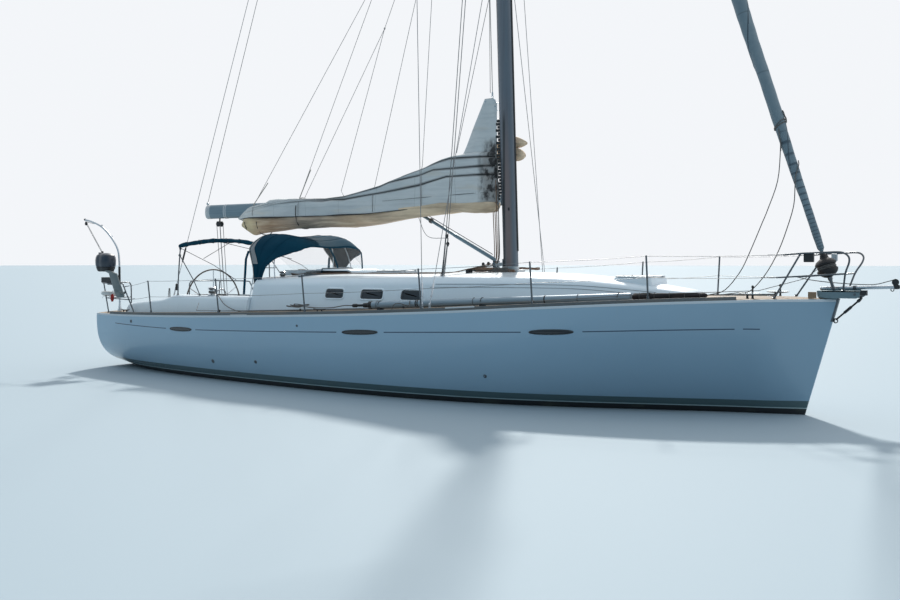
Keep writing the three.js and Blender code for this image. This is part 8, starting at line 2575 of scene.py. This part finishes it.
for part in spaced(0.0, 1.0, 14):
    size = 0.055 * math.sin(math.pi * min(0.97, max(0.06, part))) ** 0.5
    rings.append([(-6.70 + 0.8 * size * math.cos(a) * (1 + 0.1 * math.sin(3 * a)),
                   -1.585 + 0.6 * size * math.sin(a), 1.36 + 0.16 * part)
                   for a in (math.tau * k / 20 for k in range(20))])
red_bag = Shape().loft(rings).piece("red_lanyard_bag", red_cloth, slot="bag_cloth", sharp=80)
holder = Shape()
for x in (-7.02, -6.82):
    holder.tube([(x, -1.44, 1.425), (x, -1.40, 1.465), (x, -1.56, 1.468), (x, -1.59, 1.425)], 0.004, 8)
holder.tube([(-7.06, -1.42, 1.43), (-6.80, -1.55, 1.43)], 0.004, 8)
holder.piece("buoy_holder", stainless, slot="steel")


# Running rigging at the mast's foot: halyard tails come down the mast through turning blocks and run aft
# along the coachroof to clutches and the two small winches. Spare ends lie in loose turns round the foot.
clutch_black = Shape()
for side in (1, -1):
    for k, y in enumerate((0.42, 0.475, 0.53)):
        clutch_black.turned([(0.024, -0.010), (0.027, -0.006), (0.027, 0.006), (0.024, 0.010)],
                            (1.28, side * (y - 0.10), roof_top(1.28, side * (y - 0.10)) + 0.042), (0, 1, 0),
                            18)
        clutch_black.bar((1.255, side * (y - 0.10) - 0.012, roof_top(1.28, y - 0.10)),
                         (1.305, side * (y - 0.10) + 0.012, roof_top(1.28, y - 0.10) + 0.04))
        top = roof_top(-2.20, y + 0.05)
        clutch_black.bar((-2.30, side * (y + 0.05) - 0.022, top),
                         (-2.10, side * (y + 0.05) + 0.022, top + 0.045))
        clutch_black.bar((-2.27, side * (y + 0.05) - 0.012, top + 0.045),
                         (-2.14, side * (y + 0.05) + 0.012, top + 0.062))
for k in range(5):
    a = math.radians(-60 + 30 * k)
    clutch_black.turned([(0.028, -0.011), (0.032, -0.006), (0.032, 0.006), (0.028, 0.011)],
                        (1.53 - 0.04 * abs(k - 2), 0.10 * (k - 2), 2.13 + 0.01 * (k % 2)), (0.3, 1, 0), 18)
clutch_black.piece("rope_clutches", knob_black, slot="black_plastic", bevel=0.004)
rope_brown = Finish("tan_braid", (0.155, 0.085, 0.055), 0.85)
brown_braid = rope_brown.node("ShaderNodeTexWave", {"Vector": rope_brown.place(), "Scale": 45.0,
                                                    "Distortion": 2.0}, bands_direction="DIAGONAL")
rope_brown.tint(brown_braid.outputs["Fac"], (0.26, 0.17, 0.12))
rope_brown.bump(brown_braid.outputs["Fac"], 0.002, 0.6)
led_dark, led_brown = Shape(), Shape()
for side in (1, -1):
    for k, y in enumerate((0.42, 0.475, 0.53)):
        route = [(1.545, side * (0.04 + 0.03 * k), 2.10 + 0.02 * k),
                 (1.29, side * (y - 0.10), roof_top(1.28, y - 0.10) + 0.066)]
        route += [(x, side * (y - 0.10 + 0.15 * (1.28 - x) / 3.4), roof_top(x, y) + 0.016)
                  for x in (0.9, 0.2, -0.6, -1.4, -2.0)]
        route += [(-2.12, side * (y + 0.05), roof_top(-2.2, y + 0.05) + 0.03)]
        (led_brown if k != 1 else led_dark).tube(spline(route, 5), 0.0075, 8)
        aft = spline([(-2.30, side * (y + 0.05), roof_top(-2.2, y + 0.05) + 0.03),
                      (-2.42, side * (y + 0.08), roof_top(-2.4, y) + 0.02),
                      (-2.55, side * (0.66 + 0.02 * k), roof_top(-2.5, 0.66) + 0.014 * (1 + k))], 5)
        (led_brown if k != 1 else led_dark).tube(aft, 0.0075, 8)
for k, (x, y) in enumerate(((1.735, -0.118), (1.69, -0.122), (1.715, -0.115), (1.73, 0.118), (1.535, 0.02),
                            (1.54, 0.06), (1.75, 0.11), (1.69, 0.12))):
    top = 3.9 - 0.35 * (k % 3)
    lean = mast_x(top) - mast_x(2.2)
    line = [(x + lean + 0.004 * math.sin(k), y, top), (x + lean * 0.5, y * 1.06 + 0.012 * math.sin(k), 3.0),
            (x, y * 1.12, 2.32), (x - 0.03, y * 1.3, 2.14)]
    (led_brown if k % 3 else led_dark).tube(spline(line, 4), 0.0075, 8)
heap_draw = random.Random(8)
for k in range(14):
    middle = Vector((heap_draw.uniform(1.22, 2.15), heap_draw.uniform(-0.34, -0.16) * (1 if k % 3 else -1),
                     0))
    long, wide, way = heap_draw.uniform(0.12, 0.22), heap_draw.uniform(0.05, 0.10), heap_draw.uniform(-0.4,
            0.4)
    loops = []
    for j in range(73):
        a = math.tau * j / 24
        x = middle.x + long * math.cos(a) * math.cos(way) - wide * math.sin(a) * math.sin(way)
        y = middle.y + long * math.cos(a) * math.sin(way) + wide * math.sin(a) * math.cos(way)
        loops.append((x, y, roof_top(x, y) + 0.010 + 0.010 * (k % 5) + 0.012 * (1 + math.sin(2.3 * a + k))
                      + 0.004 * (j / 24)))
    (led_dark if k % 3 == 2 else led_brown).tube(loops, 0.0075, 6)
led_dark.piece("halyard_tails_dark", rope_dark, slot="bag_cloth")
led_brown.piece("halyard_tails_tan", rope_brown, slot="bag_cloth")

# Spare halyards and a lowered pole lift are made fast along the starboard side of the coachroof by the
# shrouds, and the lifts run from the mast to blocks there.
near_lines = Shape()
for top, middle, low in (((1.52, -0.30, 11.6), (1.16, -0.86, 2.75), (1.075, -0.90, 1.80)),
                         ((1.60, -0.28, 11.6), (1.185, -0.86, 2.56), (1.10, -0.895, 1.80))):
    near_lines.tube([top, middle, low], 0.0065, 8)
    near_lines.tube([Vector(middle) + Vector((0.012, -0.004, 0)), Vector(low) + Vector((0.03, -0.01, 0))],
                    0.0065, 8)
near_lines.piece("pole_lifts", line_grey_rope, slot="bag_cloth")
slack_line = Shape().tube(spline([(-0.06, -0.05, 3.02), (0.49, -0.50, 2.62), (1.16, -0.86, 2.56)], 16),
                          0.005, 8)
slack_line = slack_line.piece("boom_slack_line", line_grey_rope, "boom", "bag_cloth")
bend_line(slack_line)
near_blocks = Shape()
for x, y, z in ((1.165, -0.86, 2.60), (1.185, -0.86, 2.47), (1.09, -0.90, 1.86)):
    near_blocks.turned([(0.026, -0.012), (0.030, -0.007), (0.030, 0.007), (0.026, 0.012)], (x, y, z),
                       (0, 1, 0), 18)
    near_blocks.bar((x - 0.010, y - 0.015, z - 0.045), (x + 0.010, y + 0.015, z + 0.03))
near_blocks.tube([(1.080, -0.900, 1.88), (1.10, -0.892, 2.02), (1.12, -0.885, 2.20)], 0.014, 10)
near_blocks.piece("lift_blocks", knob_black, slot="black_plastic", bevel=0.003)
near_eyes = Shape()
for x in (1.075, 1.11):
    base = roof_top(x, -0.90)
    near_eyes.turned([(0.024, 0.0), (0.022, 0.005), (0.010, 0.009)], (x, -0.90, base), sides=18)
    near_eyes.ring((x, -0.90, base + 0.022), (0, 1, 0), 0.014, 0.0045, 18, 8)
near_eyes.piece("lift_eyes", stainless, slot="steel")
